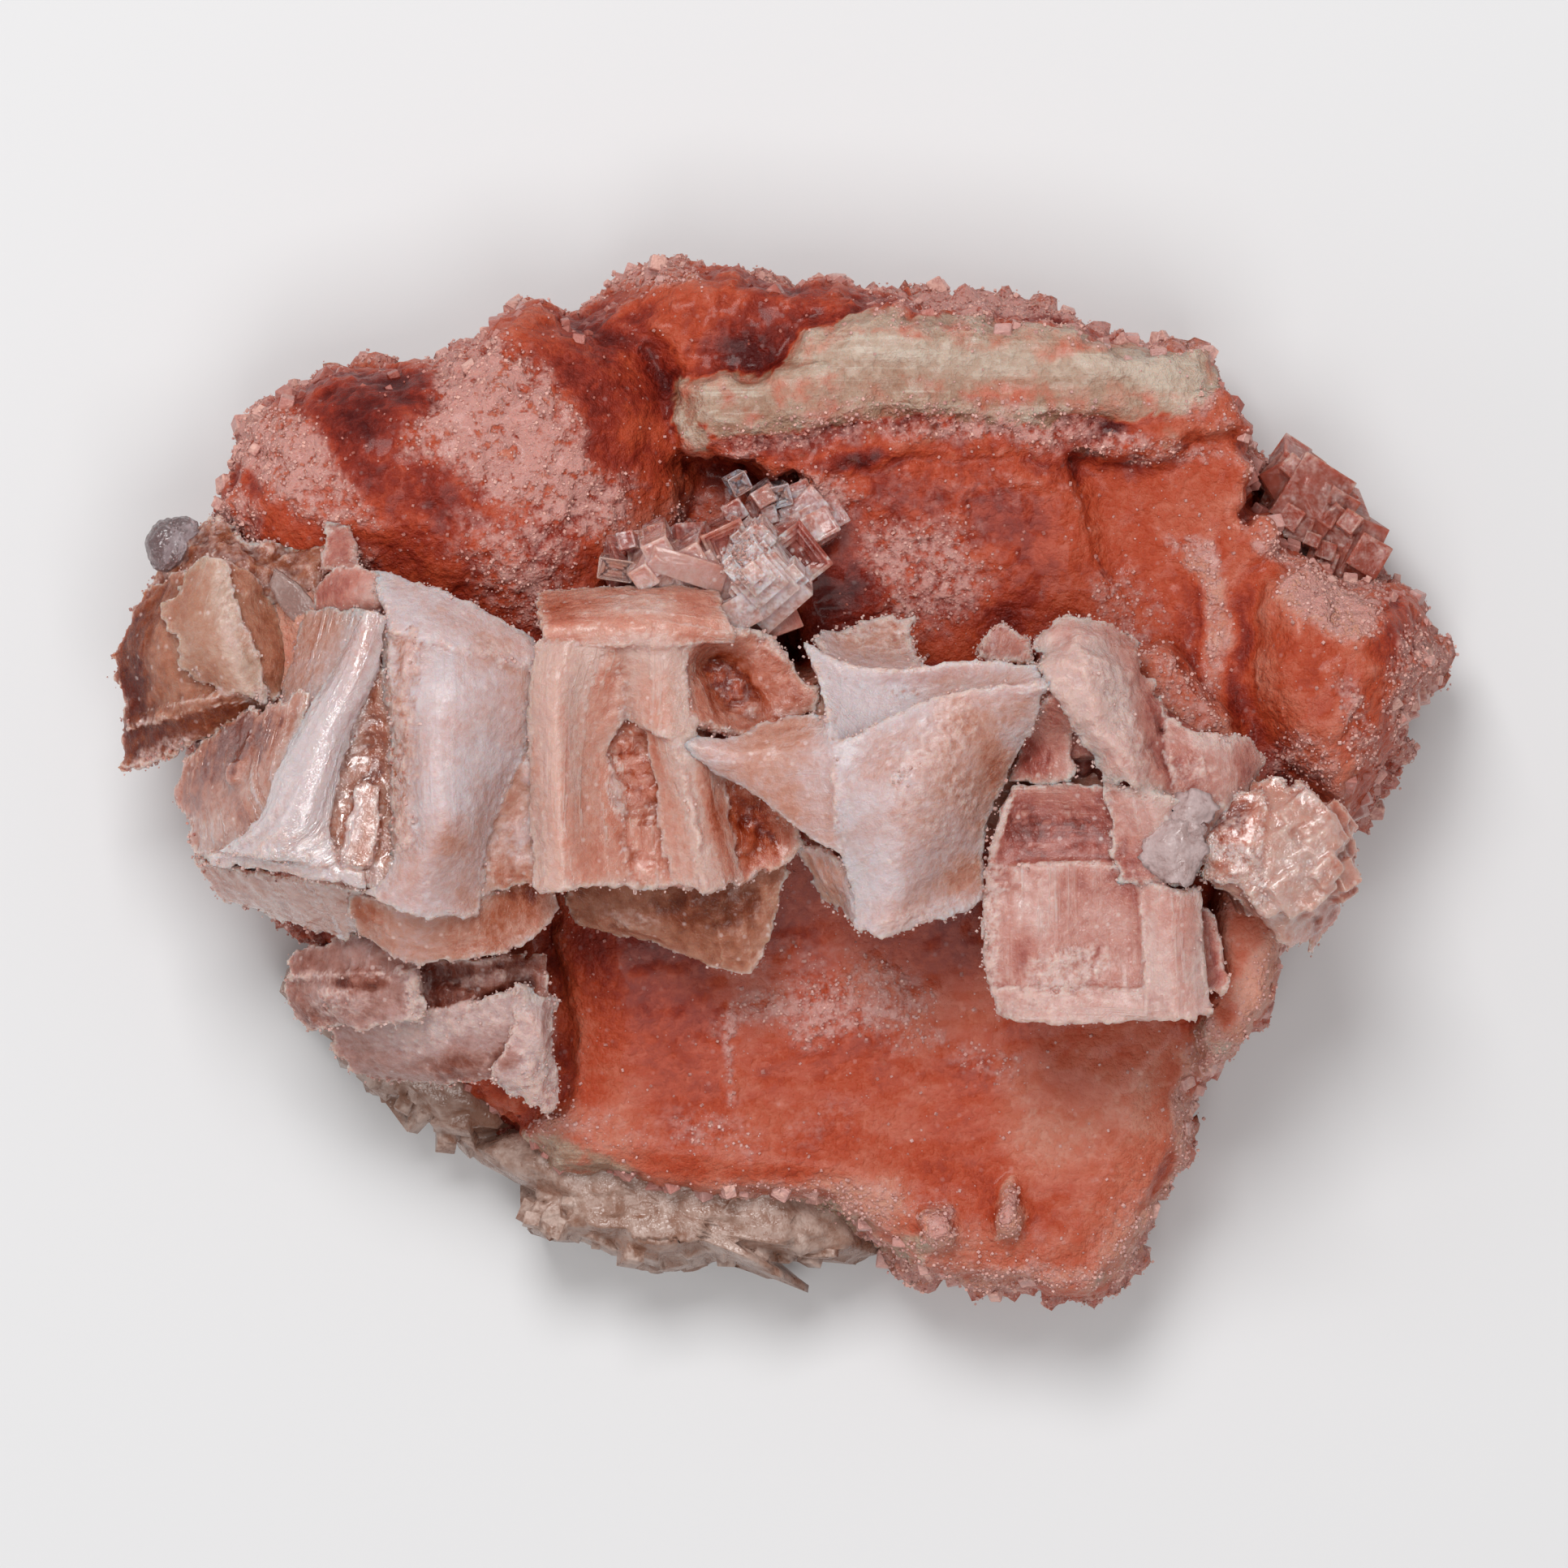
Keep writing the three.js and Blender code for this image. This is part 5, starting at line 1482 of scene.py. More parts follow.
@dataclass
class ColumnHopper(Crystal):
    """The smooth milky column, the skirt under it and the wedge at its right."""

    node: str = "column_hopper"
    slot: str = "milky_salt"
    finish: Finish = MILKY
    infill: Infill | None = Infill(warmth=0.45)
    wing: Wall = Wall([
        [[-37, 19.5, 35], [-32, 17.9, 36.5], [-27, 15.8, 38], [-22, 12.8, 38]],
        [[-35.6, 15.6, 39.4], [-31, 14.4, 40.6], [-26.5, 12.9, 40.4], [-21.6, 11.4, 39]],
        [[-35.2, 13.6, 41], [-31, 12.6, 41.8], [-26.5, 11.4, 41.2], [-21.6, 10, 39]],
    ], thickness=3.2, warmth=(0.0, 0.2, 0.1, 0.4), streaks=Streaks.ACROSS, depth=0.1,
       ragged=(0.3, 0.2, 0.2, 0.2))
    column: Wall = Wall([
        [[-35.6, 15, 39.6], [-31, 13.6, 41], [-26.5, 12.4, 40.6], [-21.6, 10.8, 38.8]],
        [[-35.1, 8.5, 40.8], [-31, 8, 43], [-26.5, 8, 42], [-21.9, 6.5, 38.2]],
        [[-34.5, 2, 40.8], [-31, 1.5, 43.8], [-27.2, 2, 42.2], [-23.4, 2.6, 38]],
        [[-34.1, -4, 40.2], [-31, -4, 43.2], [-28.4, -4, 41.6], [-26.1, -4, 37.6]],
        [[-35.6, -8, 39.5], [-32.5, -8.6, 41.4], [-29.6, -8.6, 40.2], [-26.8, -8.6, 37]],
        [[-37.8, -9.6, 38.4], [-34, -11.7, 40], [-30.5, -12.1, 39.6], [-27, -11.8, 37]],
    ], thickness=3.2, warmth=(0.15, 0.35, 0.2, 0.5), depth=0.05, ragged=(0.2, 0.2, 0.3, 0.3))
    pink_strip: Wall = Wall([
        [[-36.4, 14.4, 38.4], [-34, 14.4, 40.8], [-32.6, 14, 41.4]],
        [[-35.6, 8, 39.4], [-34, 8, 41.8], [-32.6, 8, 42.4]],
        [[-35.2, 1, 39.4], [-33.8, 1, 41.8], [-32.6, 1, 42.6]],
        [[-35.2, -6, 38.6], [-33.8, -6, 41], [-32.4, -6, 41.8]],
    ], warmth=(0.5, 0.4, 0.5, 0.35), depth=0.08, frost=0.25, crumple=0.2)
    skirt: Wall = Wall([
        [[-38.4, -9.8, 36], [-33, -11.2, 38], [-28.5, -11, 37], [-24.5, -9, 35], [-21.6, -8.4, 34]],
        [[-38.7, -11.8, 34.5], [-33, -13.6, 36.5], [-28, -13.2, 36], [-24, -11.4, 34.5],
         [-20.5, -9.6, 33.5]],
        [[-38, -13.7, 33], [-33, -16.1, 35], [-27, -15.6, 35], [-22.2, -13.9, 34], [-20.2, -11.2, 33]],
    ], warmth=(0.62, 0.66, 0.4, 0.5), depth=0.08, ragged=(0.2, 0.4, 0.4, 0.4))
    wedge: Wall = Wall([
        [[-23.6, 5, 38.4], [-22.1, 5, 38.4]],
        [[-26.6, -2, 37.4], [-21.8, -2, 37.2]],
        [[-27.4, -9.6, 36.4], [-21.6, -9, 36.4]],
    ], thickness=3.2, warmth=(0.55, 0.55, 0.6, 0.65), crumple=0.3, ragged=(0.3, 0.1, 0.5, 0.4))
    flap: Wall = Wall([
        [[-25.2, -4.4, 37], [-23, -3.4, 37]],
        [[-26.2, -7, 36.8], [-23.8, -6.4, 36.8]],
        [[-26.6, -9.4, 36.4], [-25, -9.4, 36.4]],
    ], warmth=(0.85, 0.8, 0.75, 0.75), ragged=(0.4, 0.6, 0.3, 0.3))
    base: Mass = root([
        [-35, 14], [-30, 14], [-25, 11], [-22.5, 4], [-22.5, -7], [-30, -9], [-35, -8], [-35, 4],
    ], (-29, 3), 35)
    patches: tuple[Patch, ...] = (
        Patch(-29, -9.4, (3.6, 3.4), warmth=-0.25),
        Patch(-30, 8, (4.5, 11), 12, warmth=-0.1),
        Patch(-29, -7, (2.4, 6), 12, warmth=0.12),
        Patch(-26.6, -3, (1.2, 8), 12, warmth=0.14),
        Patch(-34.6, 4, (1.2, 12), 2, warmth=0.14, frost=0.3),
        Patch(-33, 11, (2, 2.6), warmth=0.16),
        Patch(-25.4, 11.5, (3, 1.4), -30, warmth=0.16, frost=0.3),
        Patch(-24, -1.5, (1.4, 4), -15, warmth=0.12),
        Patch(-29, 15.4, (8, 2), -27, warmth=0.14, frost=0.1),
        Patch(-25.5, -1, (4, 7), warmth=-0.28),
        Patch(-23, -9, (2.4, 2), warmth=0.2),
        Patch(-37, -11, (2, 2), warmth=0.14),
    )


@dataclass
class MiddleHopper(Crystal):
    """The open hopper in the middle, its shelf, inner recess and right hollow."""

    node: str = "middle_hopper"
    slot: str = "peach_salt"
    finish: Finish = PEACH
    infill: Infill | None = Infill(warmth=0.55)
    shelf: Wall = Wall([
        [[-22, 17.2, 34], [-17.4, 17.9, 35], [-12, 17.9, 36.5], [-5.5, 17.5, 37]],
        [[-22, 15.4, 37.5], [-17.3, 15.8, 39], [-12, 15.8, 40.5], [-5.2, 15.6, 40]],
        [[-21.7, 13.8, 40.6], [-17, 14.1, 41.2], [-12, 14.1, 42], [-4.4, 13.8, 41]],
        [[-21.3, 12.4, 40.2], [-17, 12.2, 41], [-12, 12.2, 41.8], [-4.2, 12.6, 40.4]],
    ], thickness=3.2, warmth=(0.5, 0.45, 0.36, 0.42), streaks=Streaks.ACROSS, depth=0.14,
       ragged=(0.5, 0.3, 0.2, 0.3))
    left_panel: Wall = Wall([
        [[-22, 12.9, 40], [-19.6, 12.7, 41], [-17.5, 12.7, 41], [-14.2, 12.7, 41]],
        [[-22.8, 8.2, 39.5], [-20.3, 8.2, 41.5], [-17.8, 8.2, 40.2], [-13.8, 8, 39.4]],
        [[-22.8, 3.5, 39], [-20.2, 3.5, 41.2], [-18.2, 3.5, 39.4], [-15.3, 3, 38]],
        [[-22.6, -3, 38.5], [-20, -3, 41], [-17.8, -3, 39.2], [-14.2, -2.8, 37.4]],
        [[-22.4, -9.6, 38.5], [-19.5, -9.6, 40], [-17, -9.3, 39], [-13.6, -9, 37.8]],
    ], warmth=(0.0, 0.25, 0.1, 0.3), depth=0.2, ragged=(0.2, 0.7, 0.3, 0.15))
    top_panel: Wall = Wall([
        [[-14.8, 12.7, 41], [-11.5, 12.8, 41.5], [-8.4, 12.9, 41]],
        [[-14.2, 8.5, 39.4], [-11.5, 8, 41], [-8.4, 8, 40.4]],
        [[-13.6, 5.5, 38.4], [-10.9, 4, 41], [-7.8, 4, 40.4]],
    ], warmth=(0.25, 0.2, 0.3, 0.15), depth=0.1, ragged=(0.2, 0.3, 0.4, 0.5))
    recess: Wall = Wall([
        [[-15.4, 8, 37.4], [-12, 8, 38], [-9.8, 5, 38.4]],
        [[-16.4, 1, 37], [-12.5, 1, 36.4], [-9.2, 0, 37.4]],
        [[-15.4, -9, 38], [-12, -9.3, 38], [-8, -9.5, 38.4]],
    ], thickness=3.2, warmth=(0.35, 0.35, 0.4, 0.45), depth=0.14, crumple=0.4, frost=0.1)
    ridge: Wall = Wall([
        [[-12.8, 6, 38.8], [-10, 4.4, 41]],
        [[-11.6, 0.5, 38], [-9, -0.2, 40.6]],
        [[-10.8, -5.5, 38], [-7.8, -5, 40.4]],
        [[-10.2, -9.2, 38.2], [-6.9, -9.9, 39.8]],
    ], warmth=(0.35, 0.15, 0.3, 0.15), depth=0.12)
    right_strip: Wall = Wall([
        [[-10, 4.2, 41], [-8, 4.4, 40.5], [-6, 2.4, 38.4]],
        [[-8.9, -1, 40], [-7.2, -1, 39.9], [-5, -1.8, 37]],
        [[-6.9, -9.9, 39.8], [-5.6, -9.3, 39], [-3.8, -8.6, 37]],
    ], warmth=(0.25, 0.35, 0.1, 0.35), depth=0.12)
    lower_right: Wall = Wall([
        [[-6.8, 2.6, 38.4], [-4.5, 1.4, 37.6], [-2, -1.2, 37.6]],
        [[-5.6, -3.5, 36.8], [-2.5, -4, 35.4], [1.2, -4.2, 36]],
        [[-4.6, -9, 37], [-1.5, -7.8, 36], [1.4, -6.2, 35.6]],
    ], warmth=(0.6, 0.7, 0.45, 0.4), depth=0.1, crumple=0.4, frost=0.05, ragged=(0.3, 0.6, 0.6, 0.3))
    hollow: Wall = Wall([
        [[-9, 12.9, 41], [-5.4, 13.4, 40.4], [-2, 13.6, 38.4], [0.4, 11, 37.6]],
        [[-8.8, 10, 40], [-6.8, 10.8, 35.2], [-2.4, 9.8, 36.8], [1.6, 9.4, 37]],
        [[-8.4, 7.6, 39.8], [-4, 7, 35], [-1.2, 6.2, 36.8], [2.6, 8, 36.8]],
        [[-8, 5.4, 40.4], [-4.6, 4.4, 38.4], [-1, 5, 37.4], [3, 6.6, 36.8]],
    ], thickness=2.4, warmth=(0.4, 0.5, 0.6, 0.5), depth=0.06, crumple=0.2, frost=0.05,
       ragged=(0.3, 1.0, 0.4, 0.3))
    base: Mass = root([
        [-21, 15], [-12, 16], [-3, 13], [-1, 8], [-3, 1], [-8, -5], [-15, -8], [-21, -8],
    ], (-12, 4), 34.5)
    patches: tuple[Patch, ...] = (
        Patch(-19.6, 10, (1.9, 2), warmth=-0.2, frost=0.35),
        Patch(-21.4, 0, (0.8, 12), warmth=-0.16, frost=0.2),
        Patch(-19.5, 1, (0.7, 9), 3, warmth=0.16),
        Patch(-17.2, -3, (1.3, 7), warmth=0.2),
        Patch(-14.4, 1, (1.2, 7), warmth=0.05),
        Patch(-13, 2.6, (2, 5), 12, warmth=0.14),
        Patch(-14.5, -5, (3, 3.4), warmth=0.08),
        Patch(-15, -1.2, (0.8, 2), 20, frost=0.6, warmth=-0.2),
        Patch(-3.5, -3.6, (2.2, 5), 30, warmth=0.22),
        Patch(-4.8, 9.2, (1.7, 4.4), 32, warmth=0.26),
        Patch(-2.6, 6.2, (2.4, 1), 10, warmth=-0.15, frost=0.2),
        Patch(-8, 15, (7, 1.6), warmth=-0.1),
        Patch(-1.6, 11.8, (1.6, 2), -30, warmth=0.1, frost=0.2),
        Patch(-13, 16, (4, 1.1), warmth=-0.3, frost=0.3),
        Patch(-20, 15, (1.6, 1.6), warmth=0.16),
        Patch(-8, 15, (3, 2), warmth=0.08),
        Patch(-13, 13, (4, 0.8), warmth=-0.2, frost=0.2),
        Patch(-9, 7, (1.2, 6), 8, warmth=-0.12),
        Patch(-8.4, -3, (1.2, 7), 14, warmth=-0.14),
        Patch(-11, 10.5, (3.4, 2.4), warmth=-0.12),
    )


@dataclass
class UnderHopper(Crystal):
    """The dark amber hopper under the middle one."""

    node: str = "under_hopper"
    slot: str = "amber_salt"
    finish: Finish = AMBER
    infill: Infill | None = Infill(warmth=0.6)
    face: Wall = Wall([
        [[-19.9, -8.5, 31.6], [-14, -7.5, 34], [-7, -7.8, 34.6], [0.6, -7, 34]],
        [[-19, -12, 29.5], [-12, -12.6, 31.4], [-5.5, -12.6, 32.6], [-0.6, -12, 32.4]],
        [[-17.8, -12.9, 28.4], [-10, -15.2, 30], [-4.2, -17.3, 31.2], [-2.4, -16.6, 31.4]],
    ], thickness=3.2, warmth=(0.6, 0.6, 0.25, 0.3), depth=0.1, crumple=0.2, ragged=(0.3, 0.4, 0.4, 0.4))
    base: Mass = root([
        [-18, -5], [-10, -4], [-2, -4], [-1, -9], [-5, -12], [-12, -11.5], [-18, -9.5],
    ], (-10, -7.5), 31)
    patches: tuple[Patch, ...] = (
        Patch(-7, -11, (5, 2.4), -5, warmth=0.16),
        Patch(-14, -12, (4, 1), -15, frost=0.3, warmth=-0.1),
        Patch(-1.6, -12.5, (0.9, 4.5), -15, warmth=-0.12),
    )


@dataclass
class StarHopper(Crystal):
    """The four-armed bulging sheet with the serrated rim under it."""

    node: str = "star_hopper"
    slot: str = "milky_salt"
    finish: Finish = MILKY
    infill: Infill | None = Infill(warmth=0.45)
    inner_top: Wall = Wall([
        [[2.6, 13.6, 35], [5.2, 13.8, 33], [8.5, 14.9, 32], [11.6, 14.8, 32]],
        [[3.4, 11.6, 37.4], [6, 11.8, 35], [9, 12, 34], [12, 12, 34]],
        [[4, 9.6, 39.5], [7, 9.8, 38.6], [9.5, 9.9, 38.2], [13, 9.9, 38.4]],
        [[4, 8.6, 39], [7, 8.6, 38.2], [10, 8.8, 38], [16, 9.4, 38.6]],
    ], warmth=(0.3, 0.4, 0.3, 0.35), frost=0.25, depth=0.06, ragged=(0.5, 0.6, 0.3, 0.4))
    upper_sheet: Wall = Wall([
        [[1.5, 13, 37.6], [6.5, 10.4, 39.6], [12, 10.3, 39.7], [17.5, 11, 39.8], [22.4, 10.7, 41.2]],
        [[3.3, 8.8, 40.5], [7.5, 8.2, 39.2], [12, 8.6, 38.8], [17, 9.6, 39.8], [22.8, 9.8, 42.2]],
        [[4.1, 5.4, 42], [7, 5, 40.2], [11, 6.3, 39.8], [16.5, 8.3, 41.2], [23.2, 9.2, 43]],
        [[4.3, 2.4, 42.6], [6.3, 2.4, 41.4], [9, 4.9, 41.4], [15, 7.3, 42.7], [23.6, 8.4, 43.5]],
    ], warmth=(0.08, 0.25, 0.1, 0.25), streaks=Streaks.ACROSS, depth=0.1, ragged=(0.2, 0.2, 0.1, 0.15))
    lower_sheet: Wall = Wall([
        [[4.3, 3.4, 42.6], [9, 5.9, 42], [15, 8.2, 43.2], [23.8, 9, 43.5]],
        [[4.5, -1, 42.6], [9.5, 0.5, 44.3], [15.5, 2.5, 43.6], [21.6, 3.6, 40]],
        [[4.8, -5.5, 41.2], [9.5, -4.5, 43.8], [14.5, -3, 42.2], [18.8, -2, 37.8]],
        [[6, -9.5, 40.2], [10, -9.2, 42.2], [14, -8.5, 39.8], [18, -6.4, 37]],
        [[6.2, -12.9, 39.5], [8.5, -13.7, 41], [13.5, -12.4, 39.6], [18, -10.5, 37.2]],
    ], warmth=(0.15, 0.32, 0.18, 0.36), streaks=Streaks.ACROSS, depth=0.06, frost=0.05,
       ragged=(0.1, 0.3, 0.45, 0.15))
    left_arm: Wall = Wall([
        [[-9.6, 4.4, 40.6], [-5, 4.3, 40], [-0.4, 6.2, 39.4], [4.6, 6.6, 41]],
        [[-9.2, 3.4, 40.8], [-4.6, 2.6, 41.2], [0.2, 3, 41.4], [4.8, 3, 42.6]],
        [[-7.4, 1.9, 40.4], [-3.4, 0.6, 41], [0.8, -1.6, 41.3], [5, -1.8, 42.2]],
        [[-6, 0.8, 39.8], [-2.4, -1.4, 40.4], [1.8, -4.6, 40.6], [5.4, -6.4, 41.4]],
    ], warmth=(0.4, 0.55, 0.4, 0.35), streaks=Streaks.ACROSS, depth=0.1, ragged=(0.3, 0.1, 0.2, 0.2))
    under_rim: Wall = Wall([
        [[1.2, -6, 35.4], [3.6, -5.8, 37.4], [6, -8, 39.5]],
        [[2, -8.6, 34], [4, -9, 36.2], [6.4, -10.4, 39]],
        [[3.2, -10.4, 33.4], [4.6, -11.7, 34.6], [6.6, -12.4, 38]],
    ], thickness=1.2, warmth=(0.45, 0.4, 0.3, 0.3), crumple=0.2, ragged=(0.4, 0.2, 0.8, 0.8))
    base: Mass = root([
        [2, 9], [12, 10], [21, 9], [20, 3], [18, -4], [12, -6], [6, -5], [2, 1],
    ], (12, 3), 37.5)
    patches: tuple[Patch, ...] = (
        Patch(10, -8, (5, 3), 10, warmth=-0.12),
        Patch(0, 0.4, (4, 3), -20, warmth=0.1),
        Patch(9, 7.6, (7, 3), 20, warmth=-0.12),
        Patch(3.5, 2, (2.4, 6), -8, warmth=-0.1),
        Patch(13, 4, (7, 2.6), 28, frost=0.18, warmth=0.08),
        Patch(13.5, -1, (4, 6), 20, frost=0.25, warmth=0.06),
        Patch(8, 2.5, (2, 3), warmth=0.1),
        Patch(16.2, -8.4, (2.6, 2.2), 35, warmth=0.26),
        Patch(19.4, 1.6, (1.8, 3.6), 20, warmth=0.16),
        Patch(10, 0.3, (0.8, 0.8), warmth=-0.2, frost=0.6),
        Patch(8, -10.5, (2.4, 3), warmth=-0.06),
        Patch(12, -11.5, (5, 1.2), 15, frost=0.3),
        Patch(-0.4, 4.4, (4.6, 1.8), 15, warmth=0.12),
        Patch(17, 1, (3, 9), 20, warmth=0.18, frost=0.15),
        Patch(9, 13, (4, 1.4), frost=0.2, warmth=0.06),
    )


@dataclass
class PeakHopper(Crystal):
    """The arched crystal with the see-through window and the right ledge."""

    node: str = "peak_hopper"
    slot: str = "milky_salt"
    finish: Finish = ROSY
    infill: Infill | None = Infill(warmth=0.5, crack=1)
    arch: Wall = Wall([
        [[22.2, 13.4, 38], [24.6, 15, 38.4], [27, 15.2, 38.4], [31.2, 13.6, 35]],
        [[22.4, 10.8, 41.6], [25.4, 11, 43.4], [28, 10.8, 43], [33, 10.2, 36.6]],
        [[23.4, 8.2, 43.4], [26.6, 7, 44], [29.6, 6.8, 43], [34.4, 6.6, 37]],
        [[26, 4, 41.4], [28.8, 3, 43], [31.4, 2.6, 42], [35.4, 2.2, 37.4]],
        [[28.2, 0, 40], [30.6, -0.4, 41.6], [33, -0.8, 40.8], [36.6, -1.6, 38]],
    ], thickness=3.6, warmth=(0.0, 0.5, 0.0, 0.6), depth=0.08, ragged=(0.3, 0.6, 0.3, 0.25), frost=0.12,
       creases=0.7, crumple=0.1)
    ledge: Wall = Wall([
        [[33.8, 6.4, 37.4], [36.4, 4.9, 37.6], [39.6, 4.4, 36], [42, 4.4, 33.4]],
        [[34.2, 2.6, 38.8], [37.5, 2, 38.4], [40.3, 2, 36.4], [43, 2.4, 33]],
        [[35, -2, 39.2], [38, -2.4, 38.6], [40.8, -1.6, 36.6], [42.4, 0.4, 33.4]],
    ], thickness=3.2, warmth=(0.3, 0.1, 0.35, 0.45), depth=0.1, frost=0.1, ragged=(0.4, 0.8, 0.6, 0.3))
    strip: Wall = Wall([
        [[23.6, 8.2, 42.8], [24.8, 7.8, 42.8], [26, 5.6, 42]],
        [[20.8, 3.8, 37], [23.2, 4, 38.2], [25.7, 3.8, 38.8]],
        [[19.8, 0, 37], [22.8, 0, 38.2], [25.7, -0.1, 38.8]],
    ], warmth=(0.5, 0.5, 0.7, 0.6), depth=0.16)
    saddle: Wall = Wall([
        [[28.4, 0.4, 40], [32, -0.6, 40.7], [36, -1.5, 39.8], [40.6, -1, 37]],
        [[29, -4.6, 39.4], [31.8, -5, 39.8], [35, -5.5, 39.8], [38.6, -4.5, 37.6]],
        [[30, -9, 39], [32.6, -9.2, 39.4], [34.8, -9.2, 39.6], [37, -8, 38.2]],
    ], thickness=3.2, warmth=(0.4, 0.4, 0.5, 0.3), depth=0.06, frost=0.15, crumple=0.1)
    tab: Wall = Wall([
        [[17.9, 13.8, 32], [19.6, 14.3, 32], [22, 13, 33]],
        [[17, 11.4, 33], [19.4, 10.8, 33], [22.6, 10.6, 36]],
    ], thickness=3.2, warmth=(0.5, 0.45, 0.45, 0.4), frost=0.2)
    base: Mass = root([
        [22.5, 13], [29, 13], [33, 7], [41, 3], [39, -4], [33, -6], [27, 0], [22, 2],
    ], (30, 4), 34)
    patches: tuple[Patch, ...] = (
        Patch(25.5, 13, (2, 1.8), warmth=0.14),
        Patch(28.4, 9.5, (1.2, 5), 28, frost=0.3, warmth=-0.1),
        Patch(28, 8.6, (3.2, 6), 26, warmth=-0.45, frost=0.1),
        Patch(32.4, -3, (3.4, 3.4), warmth=-0.2),
        Patch(30.8, 4, (1.4, 5), 25, frost=0.25, warmth=-0.08),
        Patch(34, 4, (2.4, 5), 25, warmth=0.3),
        Patch(22.2, 2.4, (2, 2.2), warmth=0.25),
        Patch(24.2, 6.4, (1, 2), warmth=0.16),
        Patch(31.4, -7, (2.4, 3.4), warmth=0.24),
        Patch(30.6, -2, (2.4, 2.4), warmth=0.1),
        Patch(37, 1.4, (3, 1.6), -10, frost=0.35, warmth=0.1),
        Patch(41.4, 2.4, (1.8, 2.4), warmth=0.2),
        Patch(38, 3.8, (3.4, 0.8), frost=0.25, warmth=-0.12),
    )


